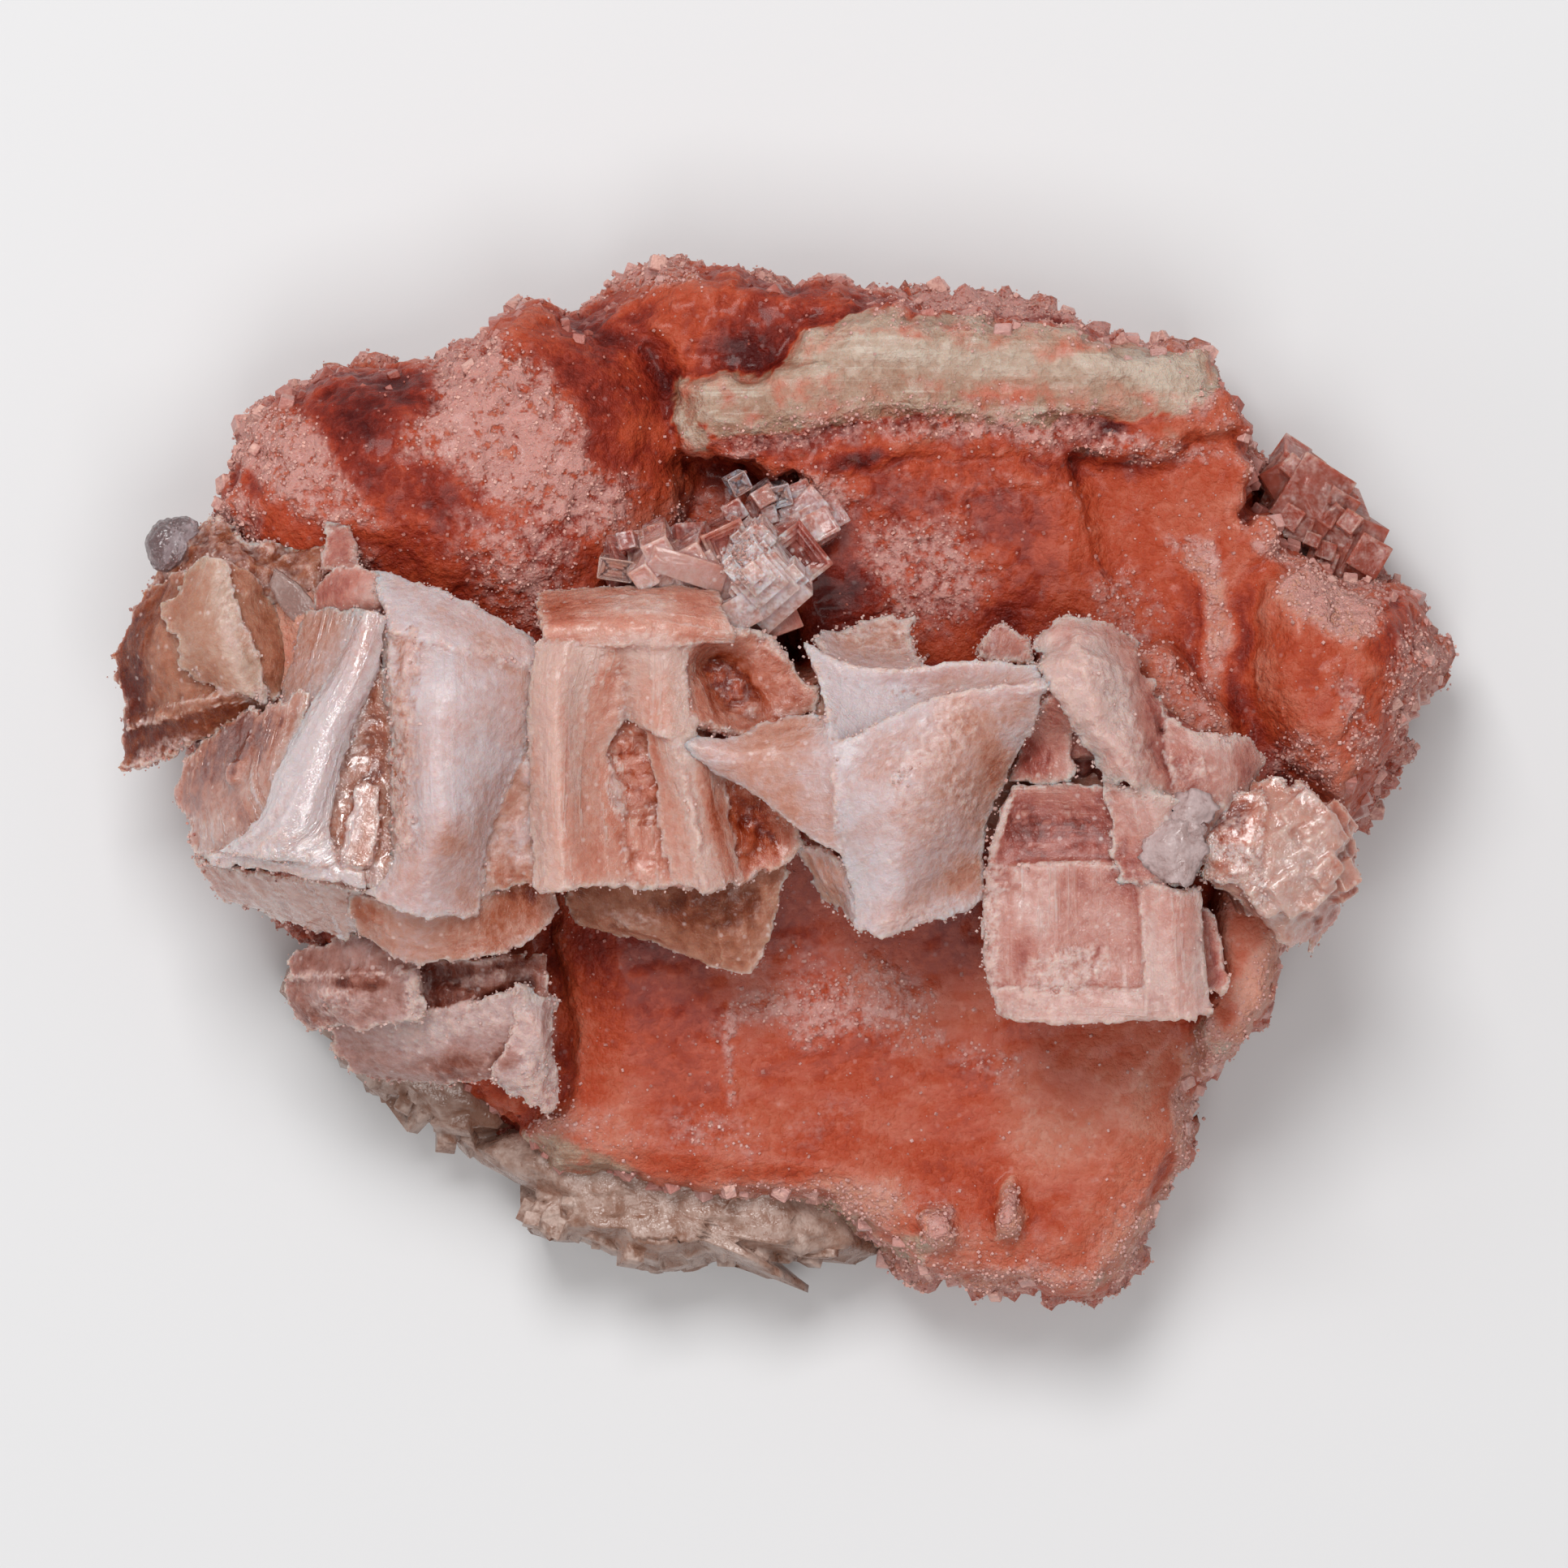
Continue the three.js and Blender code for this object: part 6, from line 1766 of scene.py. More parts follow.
@dataclass
class BlockHopper(Crystal):
    """The square hopper at the lower right, striated along two of its sides."""

    node: str = "block_hopper"
    slot: str = "milky_salt"
    finish: Finish = BANDED_ROSY
    infill: Infill | None = Infill(warmth=0.45, margin=2, drop=0.5)
    # The top band's high warmth is painted shade of the hopper's concave top.
    top_band: Wall = Wall([
        [[20.2, 0.1, 37.8], [24, 0, 38.4], [29.4, -0.3, 39]],
        [[19.2, -2.8, 37.6], [23.6, -2.8, 37.4], [30, -3, 38.6]],
        [[18.4, -5.8, 38], [23.4, -5.8, 38], [31, -5.8, 38.8]],
        [[18, -9.6, 38.4], [23, -9.4, 38.6], [32, -9.6, 39]],
    ], thickness=4, warmth=(0.85, 0.8, 0.7, 0.6), streaks=Streaks.ACROSS, depth=0.06,
       ragged=(0.15, 0.1, 0.05, 0.25))
    centre: Wall = Wall([
        [[17.9, -7.6, 38.1], [23, -7, 38.7], [28, -7, 38.9], [34, -8, 39.2]],
        [[17.9, -12, 38.3], [23, -11.6, 39.1], [28, -11.6, 39], [34, -11.8, 39.6]],
        [[18, -16, 38.3], [23, -15.6, 39.3], [28, -15.6, 39.1], [34, -15.8, 39.8]],
        [[18.6, -20.4, 38.3], [23, -20.6, 39.5], [28, -20.6, 39.6], [34, -20.4, 39.9]],
    ], thickness=4, warmth=(0.42, 0.45, 0.3, 0.22), depth=0.06, frost=0.12, ragged=(0.05, 0.05, 0.1, 0.35))
    right_band: Wall = Wall([
        [[31.6, -8.4, 39.2], [34.4, -9.1, 39.9], [37.1, -9.3, 39]],
        [[31.8, -12, 39.7], [34.6, -12, 40.3], [37.2, -12, 39]],
        [[32, -16, 40], [34.7, -16, 40.4], [37.4, -16, 39]],
        [[32.2, -21.2, 40], [35.2, -20.9, 40.4], [38.3, -20.7, 39]],
    ], thickness=4, warmth=(0.35, 0.35, 0.2, 0.2), depth=0.34, ragged=(0.1, 0.4, 0.3, 0.05))
    bottom_band: Wall = Wall([
        [[18.4, -18.2, 38.6], [23, -18.2, 39.6], [28, -18.2, 39.7], [34, -18.4, 40.1]],
        [[18.9, -19.8, 38.6], [23, -20, 40], [28, -20, 40.1], [34, -19.8, 40.4]],
        [[19.2, -20.9, 38.4], [23, -21.4, 40], [28, -21.4, 40], [34.4, -21.1, 40.3]],
    ], thickness=4, warmth=(0.3, 0.15, 0.25, 0.15), streaks=Streaks.ACROSS, depth=0.2,
       ragged=(0.1, 0.05, 0.25, 0.3))
    left_side: Wall = Wall([
        [[20, -0.4, 37.8], [18, -7, 38], [17.9, -14, 38.1], [18.8, -20.6, 38.2]],
        [[20.4, -1, 31], [18.8, -8, 31], [18.8, -14, 31], [19.8, -20, 31]],
        [[21, -1, 25], [20, -8, 25], [20, -14, 25], [21, -18.5, 25]],
    ], thickness=3, warmth=(0.3, 0.3, 0.6, 0.6), streaks=Streaks.ACROSS, depth=0.2,
       ragged=(0.1, 0.3, 0.3, 0.2), crumple=0.15)
    right_side: Wall = Wall([
        [[38.2, -20.6, 38.8], [37.4, -14, 38.9], [37.1, -9.2, 38.9]],
        [[37, -18, 31], [36.6, -14, 30], [36.4, -9.4, 29]],
    ], thickness=3, warmth=(0.3, 0.3, 0.6, 0.6), streaks=Streaks.ACROSS, depth=0.2,
       ragged=(0.1, 0.2, 0.3, 0.2))
    lower_side: Wall = Wall([
        [[19.2, -20.8, 38.2], [28, -21.2, 39.4], [38.2, -20.6, 39]],
        [[20.4, -18.4, 33.6], [28, -18.6, 33.6], [36.8, -18.2, 33.6]],
        [[21, -15.4, 27], [28, -15, 26.4], [36, -15, 27]],
    ], thickness=3, warmth=(0.4, 0.4, 0.7, 0.7), streaks=Streaks.ACROSS, depth=0.3)
    second_rim: Wall = Wall([
        [[35.9, -10.6, 33], [38.6, -11.6, 34]],
        [[35.9, -14.5, 33], [39.1, -15, 34]],
        [[36.1, -17.8, 33.5], [38.7, -18.6, 34]],
    ], thickness=1.6, warmth=(0.6, 0.5, 0.6, 0.4), ragged=(0.4, 0.8, 0.5, 0.3), crumple=0.2)
    base: Mass = root([
        [20.8, -1], [28, -1], [34, -7], [36.2, -10], [36.4, -15.6], [28, -15.8], [20.8, -15.6],
    ], (28, -9), 37)
    patches: tuple[Patch, ...] = (
        Patch(24.6, -4.8, (5, 1.4), warmth=0.1),
        Patch(24.4, -1.2, (4, 0.9), warmth=-0.06),
        Patch(21.4, -10, (2.6, 4.6), warmth=0.0),
        Patch(25.5, -16.2, (4.2, 2), 10, warmth=-0.05, frost=0.5),
        Patch(21.4, -15.4, (1.4, 2.4), warmth=0.3),
        Patch(29, -9, (3.4, 2.4), warmth=0.14),
        Patch(31.4, -13, (1.2, 6), warmth=0.1),
        Patch(27.6, -15, (0.7, 0.6), warmth=0.35),
        Patch(18.4, -12, (1, 9), frost=0.35, warmth=0.1),
        Patch(23, -19.6, (4.5, 1.2), frost=0.35),
        Patch(24.5, -18.2, (2, 0.6), frost=0.4),
    )


@dataclass
class RightClearKnob(Crystal):
    """Two clear lumps on the square hopper."""

    node: str = "right_clear_knob"
    slot: str = "clear_salt"
    finish: Finish = FROSTED_CLEAR
    fuses: bool = False
    upper: Wall = Wall([
        [[34.7, -0.6, 39.6], [36.4, -0.2, 40.4], [38.4, -1, 39.6]],
        [[34.2, -2.2, 40.2], [36.4, -2.2, 41], [38.7, -2.4, 40]],
        [[35, -4, 40.6], [36.6, -4, 41], [38, -3.9, 40]],
    ], thickness=3, frost=0.6, crumple=0.3, depth=0.05)
    lower: Wall = Wall([
        [[33.2, -3.6, 40], [35.2, -3.2, 41], [37.4, -3.6, 40.4]],
        [[31.8, -6, 40], [34.6, -5.8, 41.4], [37.7, -5.8, 40.4]],
        [[33.4, -8.6, 39.8], [35, -8.8, 40.8], [36.6, -8.2, 40]],
    ], thickness=3, frost=0.6, crumple=0.3, depth=0.05)
    heel: Lump = Lump((1.2, 1, 1.2), (36.4, -4, 39.6), frost=0.5)


@dataclass
class FarRightHopper(Crystal):
    """The crinkled glossy hopper at the right."""

    node: str = "far_right_hopper"
    slot: str = "amber_salt"
    finish: Finish = GLOSSY_AMBER
    infill: Infill | None = Infill()
    face: Wall = Wall([
        [[41.4, 0.6, 35.4], [43.6, 0.8, 36.6], [46.2, 0.4, 36.2], [48.4, -1.8, 33]],
        [[38.6, -4.5, 37.4], [42, -4, 38.6], [46.5, -3.6, 37.6], [50.2, -3.8, 31]],
        [[37.2, -8.2, 37.4], [42, -8, 38.4], [47, -7.8, 36.4], [51.3, -7.4, 29]],
        [[40.6, -10.8, 36], [43.5, -11.2, 36.6], [46.8, -11.5, 34.4], [49.9, -11.8, 29]],
        [[43.8, -13.8, 33.6], [44.8, -14.9, 33], [46, -15.1, 32], [47.8, -14.7, 29]],
    ], thickness=3.6, warmth=(0.5, 0.4, 0.25, 0.3), depth=0.12, crumple=0.3, creases=0.5, frost=0.05,
       ragged=(0.6, 0.6, 0.8, 0.8))
    facets: Swarm = Swarm(
        30, (44.4, -6), (4, 4.4), -40, (37.4, 38.8), (1.6, 3.6), (18, 12, 38), 10, warmth=0.3, frost=0.1)
    brink: Swarm = Swarm(
        16, (48, -7), (1.4, 4), 0, (33, 36), (1.6, 3), (16, 34, 38), 10, warmth=0.35, frost=0.15)
    left_part: Wall = Wall([
        [[38.2, -1.4, 36.8], [40.4, -0.6, 37.4], [42.6, -0.4, 37.6]],
        [[37.4, -4.6, 38], [40, -4.4, 38.8], [42.6, -4.4, 39.2]],
        [[37, -8.6, 37.8], [39.6, -8.8, 38.4], [42, -9.4, 38.4]],
    ], warmth=(0.6, 0.55, 0.4, 0.4), frost=0.3, crumple=0.25, ragged=(0.5, 0.4, 0.7, 0.3))
    base: Mass = root([[40, 0], [45, 0], [49, -5], [48.5, -9], [44, -11], [40.5, -8]], (44.5, -5), 33)
    patches: tuple[Patch, ...] = (
        Patch(41, -3, (2.6, 2.6), 20, warmth=0.3),
        Patch(46, -7, (3, 2.6), warmth=-0.2, frost=0.3),
        Patch(40, -6.2, (3, 0.9), -10, frost=0.6, warmth=-0.2),
        Patch(44, -11, (4, 1.6), -40, warmth=-0.1, frost=0.15),
        Patch(50, -6, (1.2, 4), warmth=0.15),
        Patch(46, -0.8, (2.6, 0.9), -30, frost=0.4),
    )


@dataclass
class SteppedCubes(Crystal):
    """The white-frosted stepped cubes above the middle hopper."""

    node: str = "stepped_cubes"
    slot: str = "frosted_salt"
    finish: Finish = FROSTED
    fuses: bool = False
    diamond: Cube = Cube((5.6, 5.2, 8), (12, -10, 41), (-1.2, 18, 34.6), warmth=0.3, frost=0.3, steps=0)
    step_one: Cube = Cube((4.7, 4.3, 8), (12, -10, 41), (-1.7, 18.5, 35.5), warmth=0.25, frost=0.4, steps=0)
    step_two: Cube = Cube((3.7, 3.5, 8), (12, -10, 41), (-2.1, 19, 36.3), warmth=0.2, frost=0.5, steps=0)
    step_three: Cube = Cube((2.7, 2.6, 8), (12, -10, 41), (-2.5, 19.4, 37), warmth=0.15, frost=0.6, steps=0)
    step_four: Cube = Cube((1.6, 1.8, 8), (12, -10, 41), (-2.8, 19.8, 37.6), warmth=0.1, frost=0.7, steps=0)
    wedge: Cube = Cube((3.6, 3, 8), (6, -4, 30), (-4, 15.6, 35.2), warmth=0.3, frost=0.3, steps=0)
    ridge: Cube = Cube((7, 2.4, 7), (10, 4, -18), (-8.6, 19.8, 34.2), warmth=0.3, frost=0.2, steps=0)
    heel: Cube = Cube((3.6, 3.2, 6), (0, 8, -28), (-11.6, 19.4, 34), warmth=0.35, frost=0.2, steps=0)
    foot: Cube = Cube((4.6, 3.2, 9), (0, 6, 20), (-1.4, 14.6, 32), warmth=0.6, frost=0.1, steps=0)
    clear_end: Cube = Cube((3.2, 2, 6), (4, 0, -8), (-15, 19.3, 33), warmth=0.45, frost=0.1)
    rear: Cube = Cube((4, 4, 7), (8, 6, 25), (-5.4, 21.4, 33), warmth=0.5, frost=0.1)
    back_step: Cube = Cube((5, 5, 6), (6, 4, 38), (0.6, 20.2, 31.4), warmth=0.7, frost=0.1)
    lone: Cube = Cube((2, 2, 6), (6, 4, 14), (-0.6, 26, 27.4), warmth=0.25, frost=0.45)
    small: Cube = Cube((1.8, 1.8, 5), (6, 4, 30), (-4.2, 27, 27.4), warmth=0.3, frost=0.4)
    stack: Swarm = Swarm(
        16, (-1.6, 18.2), (3.2, 2.8), 41, (38, 39.6), (0.8, 2), (12, -10, 41), 3, frost=0.6)
    crown: Swarm = Swarm(10, (-3.8, 19.6), (1, 2), -20, (40, 41.4), (0.7, 1.4), (12, -10, 41), 3, frost=0.8)
    second: Swarm = Swarm(22, (-3, 21.2), (1.6, 1.5), 41, (36, 38.6), (1, 2.2), (12, -8, 41), 3, frost=0.5)
    crowd: Swarm = Swarm(
        18, (-9, 19.6), (5, 1.6), -12, (36, 38.2), (1.6, 3.4), (10, -8, 38), 14, warmth=0.3, frost=0.25)
    brown: Swarm = Swarm(
        24, (-11, 20.6), (4.6, 1.8), 0, (32.5, 35.4), (1.2, 2.8), (6, 4, 20), 25, warmth=0.6)
    fringe: Swarm = Swarm(
        24, (-1, 23.4), (5, 2.6), 10, (28, 31.6), (1.4, 3.2), (4, 4, 32), 14, warmth=0.4, frost=0.35)
    base: Mass = root([
        [-15, 21], [-6, 23.5], [0, 23], [2.5, 18.5], [-1, 14], [-6, 16], [-14, 17.5],
    ], (-5, 19), 33)


@dataclass
class CornerHopper(Crystal):
    """The frosted hopper group at the lower left."""

    node: str = "corner_hopper"
    slot: str = "frosted_salt"
    finish: Finish = MAUVE
    infill: Infill | None = Infill(warmth=0.6)
    top_slope: Wall = Wall([
        [[-44.2, -15.2, 24], [-40, -13.8, 27.4], [-36, -14, 30], [-33, -16, 31]],
        [[-44.8, -17.4, 24], [-40, -17.2, 28], [-36, -17.2, 30], [-33, -18, 31]],
    ], thickness=3.2, warmth=(0.3, 0.3, 0.3, 0.25), crumple=0.25, ragged=(0.7, 0.3, 0.3, 0.6))
    block: Wall = Wall([
        [[-45, -17.2, 23], [-40, -16.8, 28.2], [-36, -16.8, 30.2], [-32.7, -16.4, 31.6]],
        [[-45.4, -19.4, 21.6], [-40, -19.4, 27.6], [-36, -19.4, 29.6], [-32.5, -19.2, 31]],
        [[-43.2, -22, 20.6], [-39.5, -22.2, 25.6], [-36, -22, 28.4], [-32.1, -21.4, 30]],
    ], thickness=3.2, warmth=(0.3, 0.05, 0.25, 0.05), depth=0.12, frost=0.15, crumple=0.2,
       ragged=(0.4, 0.3, 0.6, 0.9))
    fan: Wall = Wall([
        [[-41.4, -21.4, 21.4], [-36, -21.2, 26], [-30, -19.9, 29], [-23.4, -18.2, 31.6]],
        [[-40.6, -24, 19.6], [-36, -23.4, 24], [-30, -22.8, 28], [-22.8, -21.6, 31]],
        [[-39.9, -25.9, 18.4], [-35, -25.6, 22.4], [-29.5, -25.4, 26.4], [-24.4, -25, 29]],
        [[-39, -26.4, 17], [-34, -27, 19.4], [-29.5, -27, 24], [-25.4, -26.8, 27]],
    ], thickness=3.2, warmth=(0.2, -0.05, 0.35, 0.15), streaks=Streaks.ACROSS, depth=0.22, frost=0.2,
       ragged=(0.3, 0.3, 0.5, 0.8))
    right_panel: Wall = Wall([
        [[-23.9, -18, 31.6], [-21.8, -18.6, 31], [-20.2, -19.2, 29]],
        [[-24.4, -22.5, 31.2], [-21.8, -22.5, 31.4], [-20.6, -23, 29]],
        [[-26.4, -26, 29], [-22.8, -26.2, 30.4], [-20.2, -26.6, 28]],
        [[-24.4, -28.2, 27.4], [-22.4, -29, 28.4], [-20.8, -29.2, 27.4]],
    ], warmth=(0.05, 0.15, 0.0, 0.05), depth=0.12, frost=0.3, crumple=0.2, ragged=(0.3, 0.4, 0.8, 0.3))
    # The cavity's dark warmth is partly its red salt and partly painted shade of the deep hollow.
    cavity: Wall = Wall([
        [[-33.4, -15.6, 28.6], [-28, -15.6, 29.4], [-21, -15, 28.6]],
        [[-33, -18, 27.6], [-28, -17.8, 29], [-21, -17.6, 28.6]],
        [[-33, -21, 27.6], [-28, -20.6, 28.6], [-21, -19.8, 28.6]],
    ], thickness=3.2, warmth=(0.75, 0.7, 0.8, 0.6), crumple=0.4)
    base: Mass = root([
        [-43, -15], [-34, -15.5], [-33, -20], [-24, -19.5], [-22.5, -24], [-30, -25], [-38, -24],
        [-42, -20],
    ], (-33, -21.5), 22)
    patches: tuple[Patch, ...] = (
        Patch(-33.2, -19, (0.8, 3), frost=0.45, warmth=-0.2),
        Patch(-40, -19.6, (3, 1.6), frost=0.3, warmth=-0.05),
        Patch(-33, -22.6, (4, 2), 10, warmth=-0.25, frost=0.15),
        Patch(-38, -17.6, (3, 1.2), warmth=0.45, frost=-0.2),
        Patch(-42, -21, (2, 1.2), warmth=0.2),
        Patch(-24.8, -24.4, (1.5, 1.3), warmth=0.4, frost=-0.3),
        Patch(-22.4, -26, (1.6, 3), frost=0.35, warmth=-0.1),
        Patch(-28, -25.5, (4, 1.6), -5, warmth=0.2),
        Patch(-26, -17.4, (4, 0.8), 8, frost=0.35, warmth=-0.2),
        Patch(-28, -21.4, (5, 1.2), 12, frost=0.2, warmth=-0.1),
    )


@dataclass
class BackCrystals(Crystal):
    """Dark red blocky crystals at the upper right edge."""

    node: str = "back_crystals"
    slot: str = "red_salt"
    finish: Finish = DARK_RED
    fuses: bool = False
    tall: Cube = Cube((5.4, 6.4, 13), (-6, 5, -32), (47, 25.6, 12.4), warmth=0.3, frost=0.35, steps=0)
    right: Cube = Cube((4.6, 7, 12), (4, 8, -24), (50.6, 21.4, 12), warmth=0.3, frost=0.2, steps=0)
    small: Cube = Cube((3, 3, 10), (0, 6, 30), (44.6, 27.2, 12), warmth=0.25, frost=0.1, steps=0)
    crowd: Swarm = Swarm(
        46, (49, 23.6), (6.6, 2.4), -55, (14, 19.8), (1.4, 3.6), (4, 4, -30), 16, warmth=0.25)


@dataclass
class ClearFringe(Crystal):
    """Greyish clear crystals along the lower left edge."""

    node: str = "clear_fringe"
    slot: str = "clear_salt"
    finish: Finish = CREAMY_CLEAR
    fuses: bool = False
    long_run: Mass = Mass([
        [-30, -32.6], [-27.5, -34.6], [-23.4, -37], [-22.9, -40.8], [-20.1, -41.5], [-16.4, -41.7],
        [-14.6, -43.8], [-11.5, -44.3], [-8.3, -43.9], [-6.6, -43.1], [-4.5, -43.8], [-0.9, -43.4],
        [1.8, -43.1], [3.9, -46.9], [5.9, -44.2], [9.1, -42.4], [6, -36], [-12, -33], [-24, -30],
    ], centre=(-11, -38), profile=[[0, 16], [0.6, 16], [0.85, 13], [1, 6], [0.96, 2.5], [0, 2.5]],
       frost=0.25)
    short_run: Mass = Mass([
        [-45.5, -19.1], [-43.4, -21.9], [-41.5, -22.4], [-40.1, -25.8], [-38.5, -25.8], [-37.7, -28.3],
        [-34.5, -28.7], [-32.4, -30.5], [-29, -33], [-24, -32], [-30, -22], [-38, -14], [-44.5, -15.8],
    ], centre=(-35.5, -23.5), profile=[[0, 14], [0.6, 14], [0.85, 12.5], [1, 7], [0.96, 3], [0, 3]])
    crowd: Swarm = Swarm(
        84, (-9, -40), (15, 2.6), -6, (11, 16), (0.7, 2.2), (14, 8, 38), 60, frost=0.5, steps=0)
    left_crowd: Swarm = Swarm(
        44, (-34.4, -27.4), (8, 1.7), -42, (9, 14), (0.7, 2.1), (10, 8, 38), 60, frost=0.4, steps=0)


# ------------------------------------------------------------------ the slab of salt


@dataclass(frozen=True)
class SlabFinish(SaltFinish):
    """The slab's red salt, with cream-coloured banded salt where its ledge is."""

    cream: Stops = (
        (0.0, (0.17, 0.07, 0.033)), (0.3, (0.3, 0.15, 0.095)), (0.6, (0.41, 0.26, 0.19)),
        (1.0, (0.55, 0.44, 0.36)),
    )

    def colour(self, wiring: Wiring, place: Socket, streaks: Node, grain: Node, cover: Socket) -> Socket:
        """Colour of the slab: the red salt's, then the banded salt over it."""
        red = super().colour(wiring, place, streaks, grain, cover)
        bands = wiring.math(
            "MULTIPLY_ADD", streaks.outputs["Fine"], 0.3, wiring.times(streaks.outputs["Broad"], 0.25))
        tone = wiring.math("SUBTRACT", wiring.math("ADD", bands, 0.75), wiring.attribute("warmth"))
        crust = wiring.times(wiring.centred(grain.outputs["Grain"]), 0.25)
        banded = wiring.ramp(wiring.math("ADD", tone, crust), self.cream)
        edge = wiring.times(wiring.centred(wiring.noise(place, 420.0, 4.0)), 1.6)
        share = wiring.rise(wiring.math("ADD", wiring.attribute("cream"), edge), 0.25, 0.75)
        return wiring.blend(share, red, banded)


SLAB_FINISH = SlabFinish(
    "red",
    stops=(
        (0.0, (0.56, 0.26, 0.19)), (0.25, (0.5, 0.135, 0.08)), (0.5, (0.42, 0.06, 0.022)),
        (0.7, (0.25, 0.024, 0.011)), (0.85, (0.14, 0.01, 0.005)), (1.0, (0.07, 0.002, 0.001)),
    ),
    frost=(0.55, 0.27, 0.235), streak=0.0, grain=0.14, mottle=0.24, specks=0.12, roughness=0.42,
    banding=0.0, gloss=0.14, subsurface=0.3, reach=2.0, spread=(1.0, 0.3, 0.18), bump=0.9,
)


@dataclass(frozen=True)
class Terrace:
    """One level of the slab: an outline, and a profile from its crown to its rim.

    The profile's pairs are a share of the way to the outline and a height. Warmth, cream and
    bumps say how the salt on it looks.
    """

    outline: Outline
    centre: tuple[float, float]
    profile: list[list[float]]
    slope: tuple[float, float] = (0.0, 0.0)
    warmth: float = 0.55
    cream: float = 0.0
    bumps: float = 0.5
    wander: float = 1.0

    def share(self, flat: Array) -> Array:
        """How far each point is from the centre to the outline: 0 to 1, and more outside."""
        offset = flat - np.array(self.centre)
        turn = np.arctan2(offset[:, 1], offset[:, 0])
        edge = outline_towards(self.outline, self.centre, turn)
        return np.linalg.norm(offset, axis=1) / np.maximum(np.linalg.norm(edge, axis=1), 1e-6)

    def height(self, flat: Array) -> Array:
        """Height of this level at each point, far below the slab outside it."""
        share = self.share(flat)
        steps = np.array(self.profile, float)
        rise = (flat - np.array(self.centre)) @ np.array(self.slope)
        level = np.interp(share, steps[:, 0], steps[:, 1]) + rise
        return np.where(share <= 1, level, FAR_BELOW)


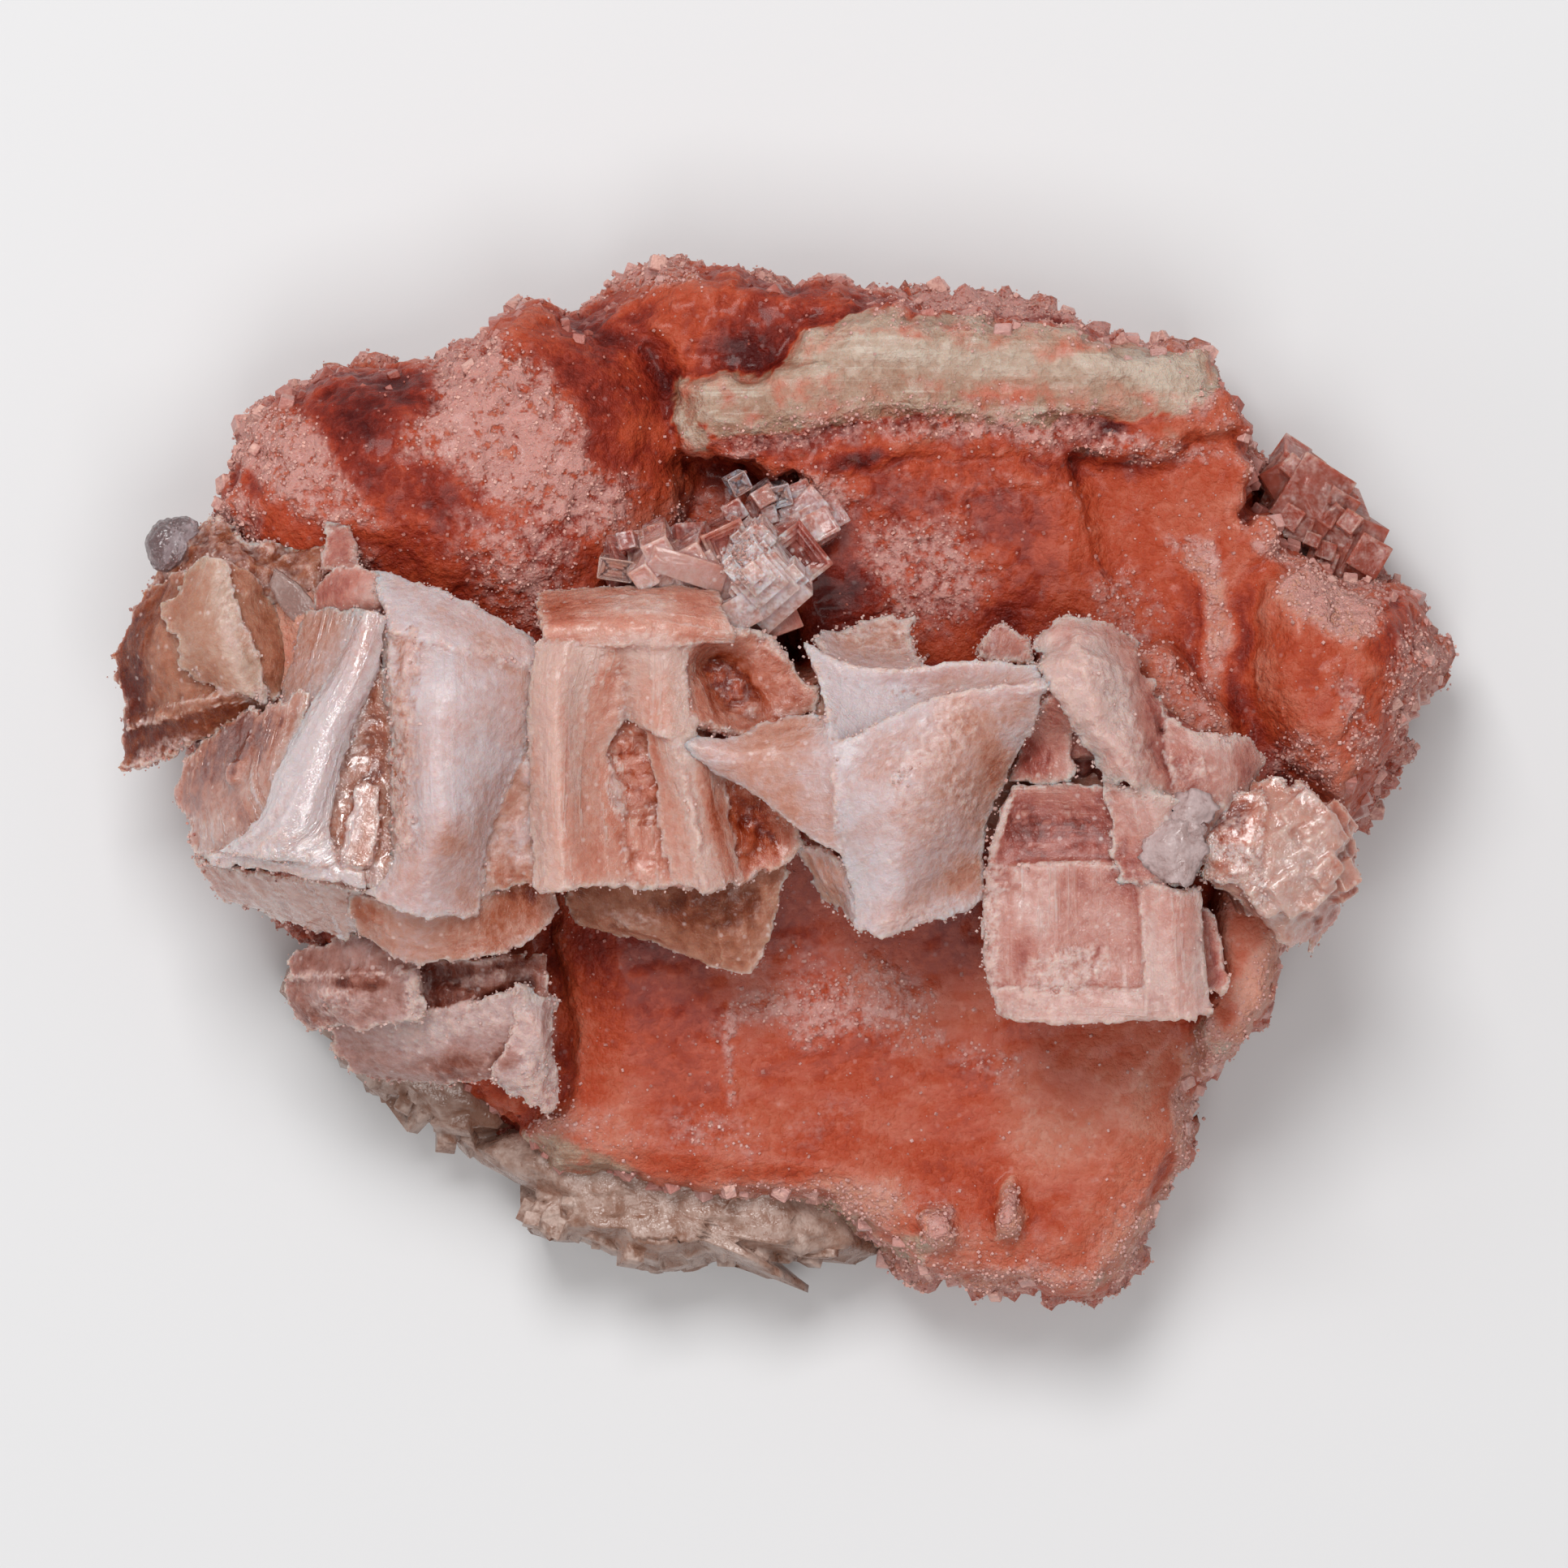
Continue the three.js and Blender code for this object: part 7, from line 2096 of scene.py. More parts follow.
@dataclass
class Slab:
    """The orange-red slab with its mound, ledge, plates, bulge and dish."""

    node: str = "halite_matrix"
    slot: str = "red_salt"
    finish: SlabFinish = SLAB_FINISH
    underside: float = 0.93  # size of the flat back against the outline
    border: float = 8.5  # least height of the top

    CELLS = (204, 162)  # of the grid that the outline is cut from
    WANDER_SIZE, WANDER = 6.0, 2.2  # how the terraces' edges wander
    DRIFT_SIZE, DRIFT = 7.0, 1.8  # how the patches' edges do
    FROST, FLANK_FROST = 0.05, 0.35
    LUMP_SIZE, CRUST_SIZE, CRUMB_SIZE, BAND_SIZE = 7.5, 1.9, 1.5, 1.7
    BROKEN_SIZES = (4.2, 2.1)  # blocks of the broken flanks
    LEAST_HEIGHT = 0.05  # of what doesn't rest on the flat back
    ACROSS_BANDS = 1.6  # how much closer the growth bands are across than along
    outline: Terrace = Terrace([
        [-53.5, 19.5], [-51.2, 25.5], [-49.3, 30.4], [-48.6, 32.7], [-47, 34.4], [-43.1, 36.3],
        [-41.1, 37.6], [-38.5, 38.5], [-35.6, 37.8], [-32.6, 37.8], [-30.7, 38.6], [-28.1, 40.6],
        [-25.8, 41.8], [-24.5, 43.3], [-22.8, 44.2], [-21.6, 43], [-18.3, 42.3], [-16.4, 43.8],
        [-12.5, 46.4], [-12.1, 47.1], [-8.5, 47.2], [-4, 46.9], [-2.7, 46.1], [0.6, 45.1], [3.2, 46.1],
        [5.8, 45.1], [7.7, 44.2], [12.3, 44.2], [17, 43.6], [21.9, 43.5], [24.3, 43], [27.7, 41.5],
        [31, 40.6], [33.9, 38.8], [38.2, 38.8], [38.8, 37.6], [39.5, 35.3], [41.1, 32.7], [42.1, 31.1],
        [43.6, 28.6], [47, 25], [51, 21], [54.2, 18.4], [56.8, 17.7], [57.4, 15.8], [58.1, 14.2],
        [60, 11.5], [60, 9.6], [58.2, 8.9], [58.1, 7.7], [56.4, 6.4], [56.4, 3.1], [55.8, 1.5],
        [53.7, -0.4], [52.3, -2], [51.2, -4.2], [48, -10], [44.5, -14.8], [44.2, -19.3], [40.8, -23.2],
        [39.3, -26], [38.2, -27.9], [36.8, -28.1], [36.4, -30.1], [37.3, -32.3], [37, -34], [34.9, -35.8],
        [34.4, -38.2], [33.1, -41.3], [31.4, -44.2], [28.6, -47.2], [26.9, -46.8], [23.4, -46.4],
        [19.2, -45.9], [12.2, -44.7], [8.5, -41.5], [-2, -38.5], [-12, -37.6], [-21, -35.5], [-28, -30.5],
        [-35, -24.5], [-39, -18], [-46, -12], [-51, -6], [-53.5, 2], [-54.5, 11],
    ], centre=(0, 0), profile=[[0, 18], [0.8, 18], [0.93, 15.5], [1, 9]], warmth=0.5, bumps=0.8, wander=0.0)
    frosty_mound: Terrace = Terrace([
        [-52, 24.5], [-49.5, 30], [-47.2, 34], [-41.2, 37.3], [-35.6, 37.5], [-30.7, 38.3], [-25.8, 41.5],
        [-22.8, 43.8], [-18.5, 42], [-12, 40], [-8.5, 33], [-9, 26], [-10, 18], [-14, 12.5], [-22, 10.5],
        [-30, 12], [-36, 14.5], [-44, 17.5], [-49, 20.5],
    ], centre=(-29, 29), profile=[[0, 31], [0.45, 30.3], [0.75, 27.6], [0.93, 24], [1, 18]], warmth=0.66,
       bumps=0.65, wander=0.4)
    back_step: Terrace = Terrace([
        [-20, 41], [-16.4, 43.6], [-12.3, 46.8], [-4, 46.7], [0.6, 44.9], [3.2, 45.9], [7.7, 44],
        [17, 43.4], [24.3, 42.8], [31, 40.4], [20, 37], [0, 34], [-14, 34],
    ], centre=(2, 41), profile=[[0, 26], [0.6, 25.5], [0.88, 22], [1, 14]], warmth=0.68, bumps=1.1,
       wander=0.4)
    banded_ledge: Terrace = Terrace([
        [-10, 36], [-4, 37.2], [0, 37.4], [1.6, 40.4], [5, 42], [8.4, 42.8], [16, 42.2], [22, 41.8],
        [27.6, 40.4], [33, 39.2], [38.2, 39.2], [39.4, 35.6], [40.4, 32.6], [33, 31.8], [28, 32.6],
        [24, 31.6], [16, 32.4], [9, 32], [2, 31.6], [-4, 30.2], [-9, 30.4],
    ], centre=(15, 36.5), profile=[[0, 29.5], [0.6, 29.6], [0.84, 28.4], [1, 25.5]], warmth=0.27, cream=0.6,
       bumps=0.7, wander=0.6)
    crust: Terrace = Terrace([
        [-8, 33], [-4, 36], [10, 36], [24, 36], [34, 36], [40, 34.6], [42.6, 31], [38, 30.4], [32, 29.4],
        [25, 28.6], [18, 29.4], [10, 29.6], [5, 28.4], [-1, 28], [-6, 28.6],
    ], centre=(15, 32.6), profile=[[0, 28.3], [0.85, 28.2], [0.96, 27.6], [1, 25.5]], warmth=0.58,
       bumps=1.3, cream=0.2, wander=0.8)
    seam: Terrace = Terrace([
        [37, 23.4], [44.5, 23.6], [46, 18], [44, 10], [45.4, 2], [44, -2], [38, 1], [36.6, 12],
    ], centre=(41, 11), profile=[[0, 25.8], [0.8, 25.8], [0.95, 25], [1, 22]], warmth=0.52, bumps=0.4,
       wander=0.5)
    plate_end: Terrace = Terrace([
        [31, 12.4], [34.6, 11.8], [37.6, 8.6], [41, 6], [42, 3], [38, 3], [34, 5], [31, 8],
    ], centre=(36, 7.4), profile=[[0, 31], [0.7, 30.8], [0.92, 29.6], [1, 26]], warmth=0.36, bumps=0.7,
       wander=0.5)
    red_plate: Terrace = Terrace([
        [0.5, 30], [3, 28.8], [10, 30.2], [25.6, 30.2], [26.7, 26.5], [28, 23], [28.3, 19.6], [31, 17.8],
        [33.5, 13.5], [37, 7.5], [30, 7], [14, 9], [2, 11], [-1, 20],
    ], centre=(15, 20), profile=[[0, 26.5], [0.75, 26.5], [0.95, 26], [1, 23]], slope=(0, 0.16),
       warmth=0.56, bumps=0.6, wander=0.8)
    salmon_plate: Terrace = Terrace([
        [25, 30.5], [38, 32.8], [43.1, 28.6], [43.8, 24.8], [44.6, 22.4], [40, 22], [39.4, 18], [39.5, 14],
        [40, 8], [42.5, 3], [36, 6], [33, 12], [30, 18], [27, 20],
    ], centre=(36.5, 18), profile=[[0, 25], [0.75, 25.5], [0.94, 26], [1, 23.5]], slope=(0.15, 0.05),
       warmth=0.45, bumps=0.3, wander=0.6)
    right_bulge: Terrace = Terrace([
        [40.8, 22], [45.5, 22.2], [50.8, 18.9], [54.2, 18.2], [56.8, 17.3], [59.8, 11], [58, 8.2],
        [56.2, 4], [53.5, -0.4], [50.4, -4.6], [45, -2], [43, 1.5], [41.2, 5.5], [40.2, 11], [40.4, 17],
    ], centre=(48.5, 10), profile=[[0, 31], [0.4, 30.5], [0.7, 28], [0.9, 22.5], [1, 14]], warmth=0.48,
       bumps=0.6, wander=0.3)
    lower_dish: Terrace = Terrace([
        [-22, -9], [-20.5, -20], [-20.8, -29], [-24, -32], [-21, -35], [-9, -37], [4, -38], [9.1, -41.5],
        [12.2, -44.3], [19.2, -45.6], [28.4, -47], [31.2, -44], [34.4, -37], [37, -33], [36.6, -28],
        [39.2, -25.8], [44, -19.3], [44.4, -14.8], [47, -8], [36, -4], [20, -2], [0, -1], [-14, -2],
    ], centre=(10, -22), profile=[[0, 21], [0.5, 21.2], [0.8, 21.6], [0.94, 20.4], [1, 16]],
       slope=(0, 0.05), warmth=0.46, bumps=0.14, wander=0.3)
    tooth: Terrace = Terrace([
        [19.4, -36.4], [20.4, -35.4], [20.8, -37.6], [22, -39], [21.4, -41], [19.2, -41.2], [19.2, -38.6],
    ], centre=(20.4, -39), profile=[[0, 24.2], [0.4, 23.8], [0.8, 22.8], [1, 21]], warmth=0.1, bumps=0.5,
       wander=0.2)
    chip: Terrace = Terrace([
        [11.6, -38.4], [15, -38.2], [15.2, -41], [14, -41.8], [12.4, -41.6], [12.8, -39.6],
    ], centre=(14, -40), profile=[[0, 23.2], [0.7, 23.2], [0.9, 22.6], [1, 21]], warmth=0.15, bumps=0.4,
       wander=0.2)
    dish_rim: Terrace = Terrace([
        [40, -7], [46, -10], [44.5, -14.6], [44.1, -19.1], [40.5, -24.5], [37.6, -27], [36, -23],
        [39.5, -18], [38.5, -12],
    ], centre=(41.2, -17), profile=[[0, 28], [0.6, 28], [0.9, 26], [1, 20]], warmth=0.32, bumps=0.25,
       wander=0.5)
    ridge_core: Terrace = Terrace([
        [-53, 2], [-53.5, 11], [-51, 18], [-44, 19], [-36, 16.5], [-24, 12.5], [-12, 14], [0, 11],
        [10, 9.5], [22, 9.5], [34, 6.5], [43, 2], [49, -4], [46, -9], [38, -7], [28, -5.5], [20, -5],
        [10, -5], [0, -4], [-14, -6], [-24, -7], [-38, -7], [-49, -5],
    ], centre=(-3, 3), profile=[[0, 33.5], [0.75, 33], [0.92, 29.5], [1, 20]], warmth=0.1, bumps=1.0,
       wander=0.6)
    patches: tuple[Patch, ...] = (
        # The mound: frost over its crown and foot, bare deep red between.
        Patch(-27, 36, (5, 6), 50, frost=0.75, warmth=-0.15),
        Patch(-24, 31, (8, 6), -40, frost=0.62, warmth=-0.15),
        Patch(-20, 27, (8, 4), -25, frost=0.58, warmth=-0.12),
        Patch(-31, 32.5, (3, 5), -20, warmth=-0.1, frost=0.5),
        Patch(-23, 19, (6, 5), 60, frost=0.45),
        Patch(-29, 22, (4, 4), frost=0.3),
        Patch(-46, 31, (4, 6), 55, frost=0.6, warmth=-0.2),
        Patch(-42, 27, (7, 3), -30, frost=0.5, warmth=-0.15),
        Patch(-50, 24, (3, 4), 60, frost=0.45),
        # Darker red between the frost: the bare red salt, deepened as painted shade.
        Patch(-36, 34, (6, 4), 5, warmth=0.17, frost=-0.2),
        Patch(-34, 26, (4, 8), 40, warmth=0.12, frost=-0.2),
        Patch(-40, 18.5, (5, 3), frost=0.35, warmth=-0.1),
        Patch(-14, 35, (5, 5), 30, warmth=0.02, frost=-0.1),
        Patch(-13, 22, (5, 3), 50, warmth=-0.12, frost=-0.1),
        Patch(-10, 29, (3, 6), 10, warmth=-0.08, frost=-0.1),
        Patch(-9, 22, (6, 4), 40, frost=0.35),
        # The back step and the crust round the ledge.
        Patch(-12, 46, (6, 1.4), -8, frost=0.7, warmth=-0.2),
        # Darker red patch: the bare red salt, deepened as painted shade.
        Patch(-3, 38.4, (5, 2), -8, warmth=0.22, frost=-0.3),
        Patch(-10, 43, (8, 3), -8, warmth=-0.14),
        Patch(20, 43.2, (13, 1.6), -6, frost=0.75),
        Patch(33, 39.6, (6, 1), -10, frost=0.4),
        Patch(-6, 33.2, (7, 3), -3, warmth=0.1),
        Patch(-2, 31, (6, 1.4), 4, frost=0.25),
        Patch(14, 32.6, (18, 2.2), frost=0.38, warmth=0.12),
        Patch(20, 31.6, (8, 1.2), warmth=-0.15, frost=0.3),
        Patch(14, 38.2, (16, 1.8), -3, warmth=-0.2),
        Patch(34, 36.6, (5, 2), -6, warmth=-0.24),
        Patch(14, 41.6, (12, 1.4), -2, frost=0.2, warmth=-0.06),
        Patch(37.6, 34.4, (1.6, 2.6), frost=0.4, warmth=-0.1),
        Patch(6, 29.4, (4.5, 0.9), 4, warmth=0.4, frost=-0.3),
        Patch(29.4, 31.2, (1.4, 1), warmth=0.35),
        # The red and the salmon plates.
        Patch(15, 25, (13, 5), 8, frost=0.16, warmth=0.02),
        Patch(11, 18.5, (8, 5), 10, frost=0.5),
        Patch(3, 25.6, (4, 4), 30, frost=0.45),
        Patch(22, 20, (4, 6), 20, warmth=0.02, frost=-0.1),
        Patch(4, 20, (3, 4), -20, warmth=0.14, frost=-0.1),
        Patch(4.5, 16, (4, 4), warmth=0.28, frost=-0.5),
        Patch(18, 14, (3, 3), warmth=0.16),
        Patch(20, 10, (10, 2), warmth=0.3),
        Patch(32, 25, (6, 5), warmth=0.04, frost=-0.1),
        Patch(33, 29.6, (9, 1.2), -4, frost=0.45),
        Patch(31, 16, (4, 5), 40, frost=0.3),
        Patch(38.4, 15.6, (1.5, 7), 4, frost=0.5, warmth=-0.45),
        Patch(40.8, 9, (0.8, 8), warmth=0.16),
        Patch(37, 21, (4, 1.2), -30, frost=0.4),
        Patch(36, 8, (4, 3), -30, frost=0.3),
        Patch(36, 11, (2.4, 4), warmth=0.08),
        # The bulge.
        Patch(45.6, 20.6, (5, 1.4), -30, frost=0.5, warmth=-0.1),
        Patch(49, 16, (4.4, 2.8), -15, frost=1.0, warmth=-0.6),
        Patch(52, 18.4, (2.4, 1.6), -30, frost=0.5),
        Patch(42.6, 10, (1.4, 8), warmth=-0.1),
        Patch(52, 5, (2, 5), 20, frost=0.4),
        Patch(46.5, 2, (4, 3), frost=0.35),
        Patch(57, 9, (3, 7), frost=0.55),
        Patch(54, 14, (2, 4), 20, warmth=0.14),
        # The dish.
        Patch(6.4, -20, (8.5, 3.4), 5, frost=0.5, warmth=-0.08),
        Patch(12, -23.6, (4, 2), 10, frost=0.3),
        Patch(17, -25, (5, 2.4), -10, frost=0.12),
        Patch(-3, -20.6, (4, 2), 20, frost=0.35),
        Patch(2, -16, (8, 2.4), frost=0.22),
        Patch(-4, -25, (0.8, 5), 8, frost=0.42),
        Patch(-6, -31.6, (5, 2.6), -15, frost=0.26),
        Patch(3, -30.5, (5, 2.4), 10, frost=0.16),
        # Darker under the ridge of hoppers: painted shadow.
        Patch(-10, -18, (7, 5), warmth=0.16),
        Patch(19, -26, (4, 2.4), -20, frost=0.2),
        # Paler below the square hopper: painted light where its shadow falls.
        Patch(26, -31, (8, 7), 30, frost=0.04, warmth=-0.22),
        Patch(-16, -31, (8, 2.4), -12, frost=0.2, warmth=-0.12),
        Patch(14, -39.4, (1.2, 2), frost=0.6, warmth=-0.25),
        Patch(20.4, -38.6, (0.9, 2.6), 8, frost=0.6, warmth=-0.25),
        Patch(4, -37.4, (12, 2.4), frost=0.3, warmth=-0.28),
        Patch(14, -42, (14, 2.6), frost=0.2, warmth=-0.2),
        Patch(34, -26, (4, 7), warmth=-0.16),
        Patch(31, -40, (4, 5), -30, warmth=-0.2, frost=0.2),
        # Darker along the foot of the ridge of hoppers: painted shadow.
        Patch(10, -12, (30, 4), warmth=0.12),
        Patch(-17, -13, (7, 5), warmth=0.16),
        Patch(43, -17, (1.2, 8), -22, warmth=-0.4, frost=0.2),
        Patch(36.4, -30, (1.2, 7), frost=0.35, warmth=-0.4),
        Patch(33.4, -40, (1.2, 7), -28, warmth=-0.4, frost=0.1),
        Patch(38.4, -24.5, (2.4, 2), 40, frost=0.3, warmth=-0.3),
        Patch(19, -45, (13, 1.4), 3, warmth=-0.32, frost=0.35),
    )
    cream_patches: tuple[Patch, ...] = (
        Patch(12, 38, (12, 2.6), -1, frost=1.0),
        Patch(31, 36.9, (10, 2.4), -2, frost=1.0),
        Patch(-5, 34.2, (6.5, 2.4), -3, frost=0.75),
        Patch(-18, -35, (9, 3), -25, frost=0.7),
        Patch(-2, -39.6, (13, 2.4), frost=0.85),
        Patch(10, -42, (4, 2), frost=0.5),
        Patch(38, -23.4, (2, 2), 40, frost=0.45),
        Patch(28, -45.6, (3, 1.4), 20, frost=0.4),
    )

    def terraces(self) -> list[Terrace]:
        """Every level of the slab, the whole outline first."""
        levels = [getattr(self, part.name) for part in fields(self)]
        return [level for level in levels if isinstance(level, Terrace)]

    def build(self) -> Thing:
        """Builds the slab, dresses it and puts it in its node's place."""
        piece = new_object(self._blank(), f"{self.node}_salt")
        remesh(piece, SLAB_VOXEL)
        points = read_points(piece.data)
        points = self._carve(points, read_normals(piece.data))
        write_points(piece.data, points)
        self._write_skin(piece.data, points)
        dress(piece, self.finish, self.node)
        return piece

    def _blank(self) -> Mesh:
        """A closed slab with the terraces' heights, before its fine relief."""
        cells = np.array(self.CELLS)
        low = -cells * SLAB_STEP / 2
        mesh, flat, upper = grid_solid(
            low, cells, SLAB_STEP, lambda middles: self.outline.share(middles) <= 1)
        heights, _ = self._levels(flat)
        flat = np.where(upper[:, None], flat, flat * self.underside)
        write_points(mesh, np.column_stack([flat, np.where(upper, heights, 0.0)]))
        return mesh

    def _levels(self, flat: Array) -> tuple[Array, Array]:
        """Height of the slab's top at each point, and which terrace is uppermost there."""
        place = np.column_stack([flat, np.zeros(len(flat))])
        wander = np.column_stack([
            NOISE.layered(place + shift, self.WANDER_SIZE, layers=4, fade=0.65) for shift in (0, 90)])
        heights = np.stack([
            level.height(flat + wander * self.WANDER * level.wander) for level in self.terraces()])
        return np.maximum(heights.max(axis=0), self.border), heights.argmax(axis=0)

    def _looks(self, points: Array) -> tuple[Array, Array, Array, Array]:
        """Warmth, frost, cream and bumps at each point."""
        _, upper = self._levels(points[:, :2])
        levels = self.terraces()
        warmth, cream, bumps = (np.array([getattr(level, name) for level in levels])[upper]
                                for name in ("warmth", "cream", "bumps"))
        share = self.outline.share(points[:, :2])
        flank = ease(share, 0.95, 1.0) * ease(18 - points[:, 2], 0, 6)
        frost = self.FROST + self.FLANK_FROST * flank
        moved = points.copy()
        for axis, shift in enumerate((0, 50)):
            moved[:, axis] += NOISE.layered(points + shift, self.DRIFT_SIZE, layers=3) * self.DRIFT
        for patch in self.patches:
            part = patch.share(moved)
            warmth = warmth + patch.warmth * part
            frost = frost + patch.frost * part
        for patch in self.cream_patches:
            cream = np.maximum(cream, patch.frost * patch.share(moved))
        cream = cream * ease(points[:, 2], 4, 14)
        return warmth, np.clip(frost, 0, 1), cream, bumps + flank

    def _carve(self, points: Array, normals: Array) -> Array:
        """Moves the points out and in for lumps, crust, bands and blocky broken flanks."""
        _, frost, cream, bumps = self._looks(points)
        steep = 1 - np.abs(normals[:, 2])
        low = 1 - ease(points[:, 2], 10, 17)
        broken = np.clip(steep * 1.4, 0, 1) * (0.35 + 0.65 * low)
        lift = (bumps - 0.08) * 0.8 * NOISE.layered(points, self.LUMP_SIZE, layers=4, fade=0.55)
        coarse = np.clip(bumps, 0, 1)
        crust = NOISE.layered(points, self.CRUST_SIZE, layers=2, fade=0.8)
        lift += (0.14 * coarse + 0.5 * frost) * crust
        lift += (0.16 * coarse + 0.28 * frost) * NOISE.blocks(points, self.CRUMB_SIZE)
        large, small = (NOISE.blocks(points, size) for size in self.BROKEN_SIZES)
        lift += broken * (0.8 * large + 0.5 * small)
        lift += cream * 0.35 * NOISE.layered(points * (0.06, 1.0, 1.0), self.BAND_SIZE, layers=2)
        moved = points + normals * lift[:, None]
        resting = points[:, 2] < REST_BAND
        moved[:, 2] = np.where(resting, 0.0, np.maximum(moved[:, 2], self.LEAST_HEIGHT))
        return moved

    def _write_skin(self, mesh: Mesh, points: Array) -> None:
        """Stores the salt of each point: darker in hollows as painted shade, and paler, as painted
        highlight, and frostier where the surface stands out.
        """
        warmth, frost, cream, _ = self._looks(points)
        stand = standing(mesh, 24)
        # painted shade darkens the hollows and painted highlight pales what stands out; frost gathers on
        # what stands out
        warmth = warmth - 0.4 * np.clip(stand, -0.6, 0.5)
        frost = frost + 0.5 * np.clip(stand - 0.1, 0, 0.5)
        growth = np.column_stack([points[:, 1] * self.ACROSS_BANDS, points[:, 0], points[:, 2]])
        Skin(growth, warmth, frost).write(mesh)
        store(mesh, "cream", cream)


# ------------------------------------------------------------------ small crystals set on the surfaces


@dataclass
class Seeds:
    """Where small crystals grow: places, outward directions and the salt they grow on."""

    points: Array
    normals: Array
    warmth: Array
    frost: Array

    @staticmethod
    def on(pieces: list[Thing]) -> "Seeds":
        """Every vertex of some pieces."""
        meshes = [piece.data for piece in pieces]
        readers = (read_points, read_normals, partial(read_values, name="warmth"),
                   partial(read_values, name="frost"))
        return Seeds(*(np.concatenate([read(mesh) for mesh in meshes]) for read in readers))

    def drawn(self, chance: Array, count: int, dice: np.random.Generator) -> "Seeds":
        """Some of the places, drawn with a chance for each."""
        picked = dice.choice(len(self.points), size=count, replace=False, p=chance / chance.sum())
        return Seeds(*(values[picked] for values in vars(self).values()))


@dataclass
class SmallCrystals:
    """Many small cubes grown on a surface, joined in one mesh."""

    name: str
    slot: str
    finish: Finish
    count: int
    least: float  # size of the smallest cube
    most: float  # size of the largest
    paleness: float  # warmth taken off the salt that they grow on
    sink: float  # share of a cube that is below the surface
    bevel: float = 0.0  # width of the bevelled edges, as a share of a cube

    SCATTER = 0.3  # how far the cubes stray from the surface's vertices
    FEW_LARGE = 2.5  # the higher, the fewer of the cubes are large

    def build(self, seeds: Seeds, chance: Array) -> Thing:
        """Grows the cubes.

        Args:
            seeds: the places they may grow at.
            chance: how likely each place is.

        Returns:
            The finished piece.
        """
        dice = np.random.default_rng(SEED + self.count)
        picked = seeds.drawn(chance, self.count, dice)
        sizes = self.least + (self.most - self.least) * dice.random(self.count) ** self.FEW_LARGE
        shapes = sizes[:, None] * dice.uniform(0.75, 1.2, (self.count, 3))
        turns = dice.uniform(-math.pi, math.pi, (self.count, 3))
        aside = dice.normal(0, self.SCATTER, (self.count, 3))
        aside -= picked.normals * (aside * picked.normals).sum(axis=1)[:, None]
        places = picked.points + aside + picked.normals * (sizes * (0.5 - self.sink))[:, None]
        spots = bpy.data.meshes.new("spots")
        spots.vertices.add(self.count)
        write_points(spots, places)
        store(spots, "turn", turns)
        store(spots, "size", shapes * MM)
        warmth = picked.warmth - self.paleness + dice.uniform(-0.1, 0.1, self.count)
        store(spots, "warmth", np.clip(warmth, 0, 1))
        store(spots, "frost", np.clip(picked.frost, 0, 0.5))
        piece = new_object(spots, self.name)
        cube = self._cube()
        grow = piece.modifiers.new("grow", "NODES")
        grow.node_group = self._growing(cube)
        apply_modifiers(piece)
        bpy.data.objects.remove(cube)
        dress(piece, self.finish)
        return piece

    def _cube(self) -> Thing:
        """The cube that is repeated."""
        shape = bmesh.new()
        bmesh.ops.create_cube(shape, size=1)
        if self.bevel:
            bmesh.ops.bevel(shape, geom=shape.edges[:], offset=self.bevel, offset_type="OFFSET", segments=1,
                            profile=0.5, affect="EDGES", material=-1)
        return new_object(finished_mesh(shape, "small_cube"), "small_cube")

    @staticmethod
    def _growing(cube: Thing) -> Tree:
        """Geometry nodes that set the cube on every spot and make the copies real."""
        tree = bpy.data.node_groups.new("growing", "GeometryNodeTree")
        tree.interface.new_socket("Spots", in_out="INPUT", socket_type="NodeSocketGeometry")
        tree.interface.new_socket("Cubes", in_out="OUTPUT", socket_type="NodeSocketGeometry")
        wiring = Wiring(tree)
        given, result = wiring.node("NodeGroupInput"), wiring.node("NodeGroupOutput")
        copies = wiring.node("GeometryNodeInstanceOnPoints")
        source = wiring.node("GeometryNodeObjectInfo")
        source.inputs["Object"].default_value = cube
        wiring.feed(copies.inputs["Points"], given.outputs[0])
        tree.links.new(source.outputs["Geometry"], copies.inputs["Instance"])
        for name, socket in (("turn", "Rotation"), ("size", "Scale")):
            stored = wiring.node("GeometryNodeInputNamedAttribute", data_type="FLOAT_VECTOR")
            stored.inputs["Name"].default_value = name
            tree.links.new(stored.outputs["Attribute"], copies.inputs[socket])
        real = wiring.node("GeometryNodeRealizeInstances")
        tree.links.new(copies.outputs[0], real.inputs[0])
        tree.links.new(real.outputs[0], result.inputs[0])
        return tree


SUGAR_GRAINS = SmallCrystals(
    "sugar_grains", "red_salt", RED_SUGAR, 16000, 0.08, 0.28, paleness=0.25, sink=0.35)
EDGE_CUBES = SmallCrystals(
    "edge_cubes", "red_salt", RED_SUGAR, 1500, 0.3, 1.5, paleness=0.1, sink=0.6, bevel=0.08)
RIM_GRAINS = SmallCrystals(
    "rim_grains", "milky_salt", SUGAR, 7000, 0.08, 0.26, paleness=0.0, sink=0.35)


# ------------------------------------------------------------------ floor, lights and camera


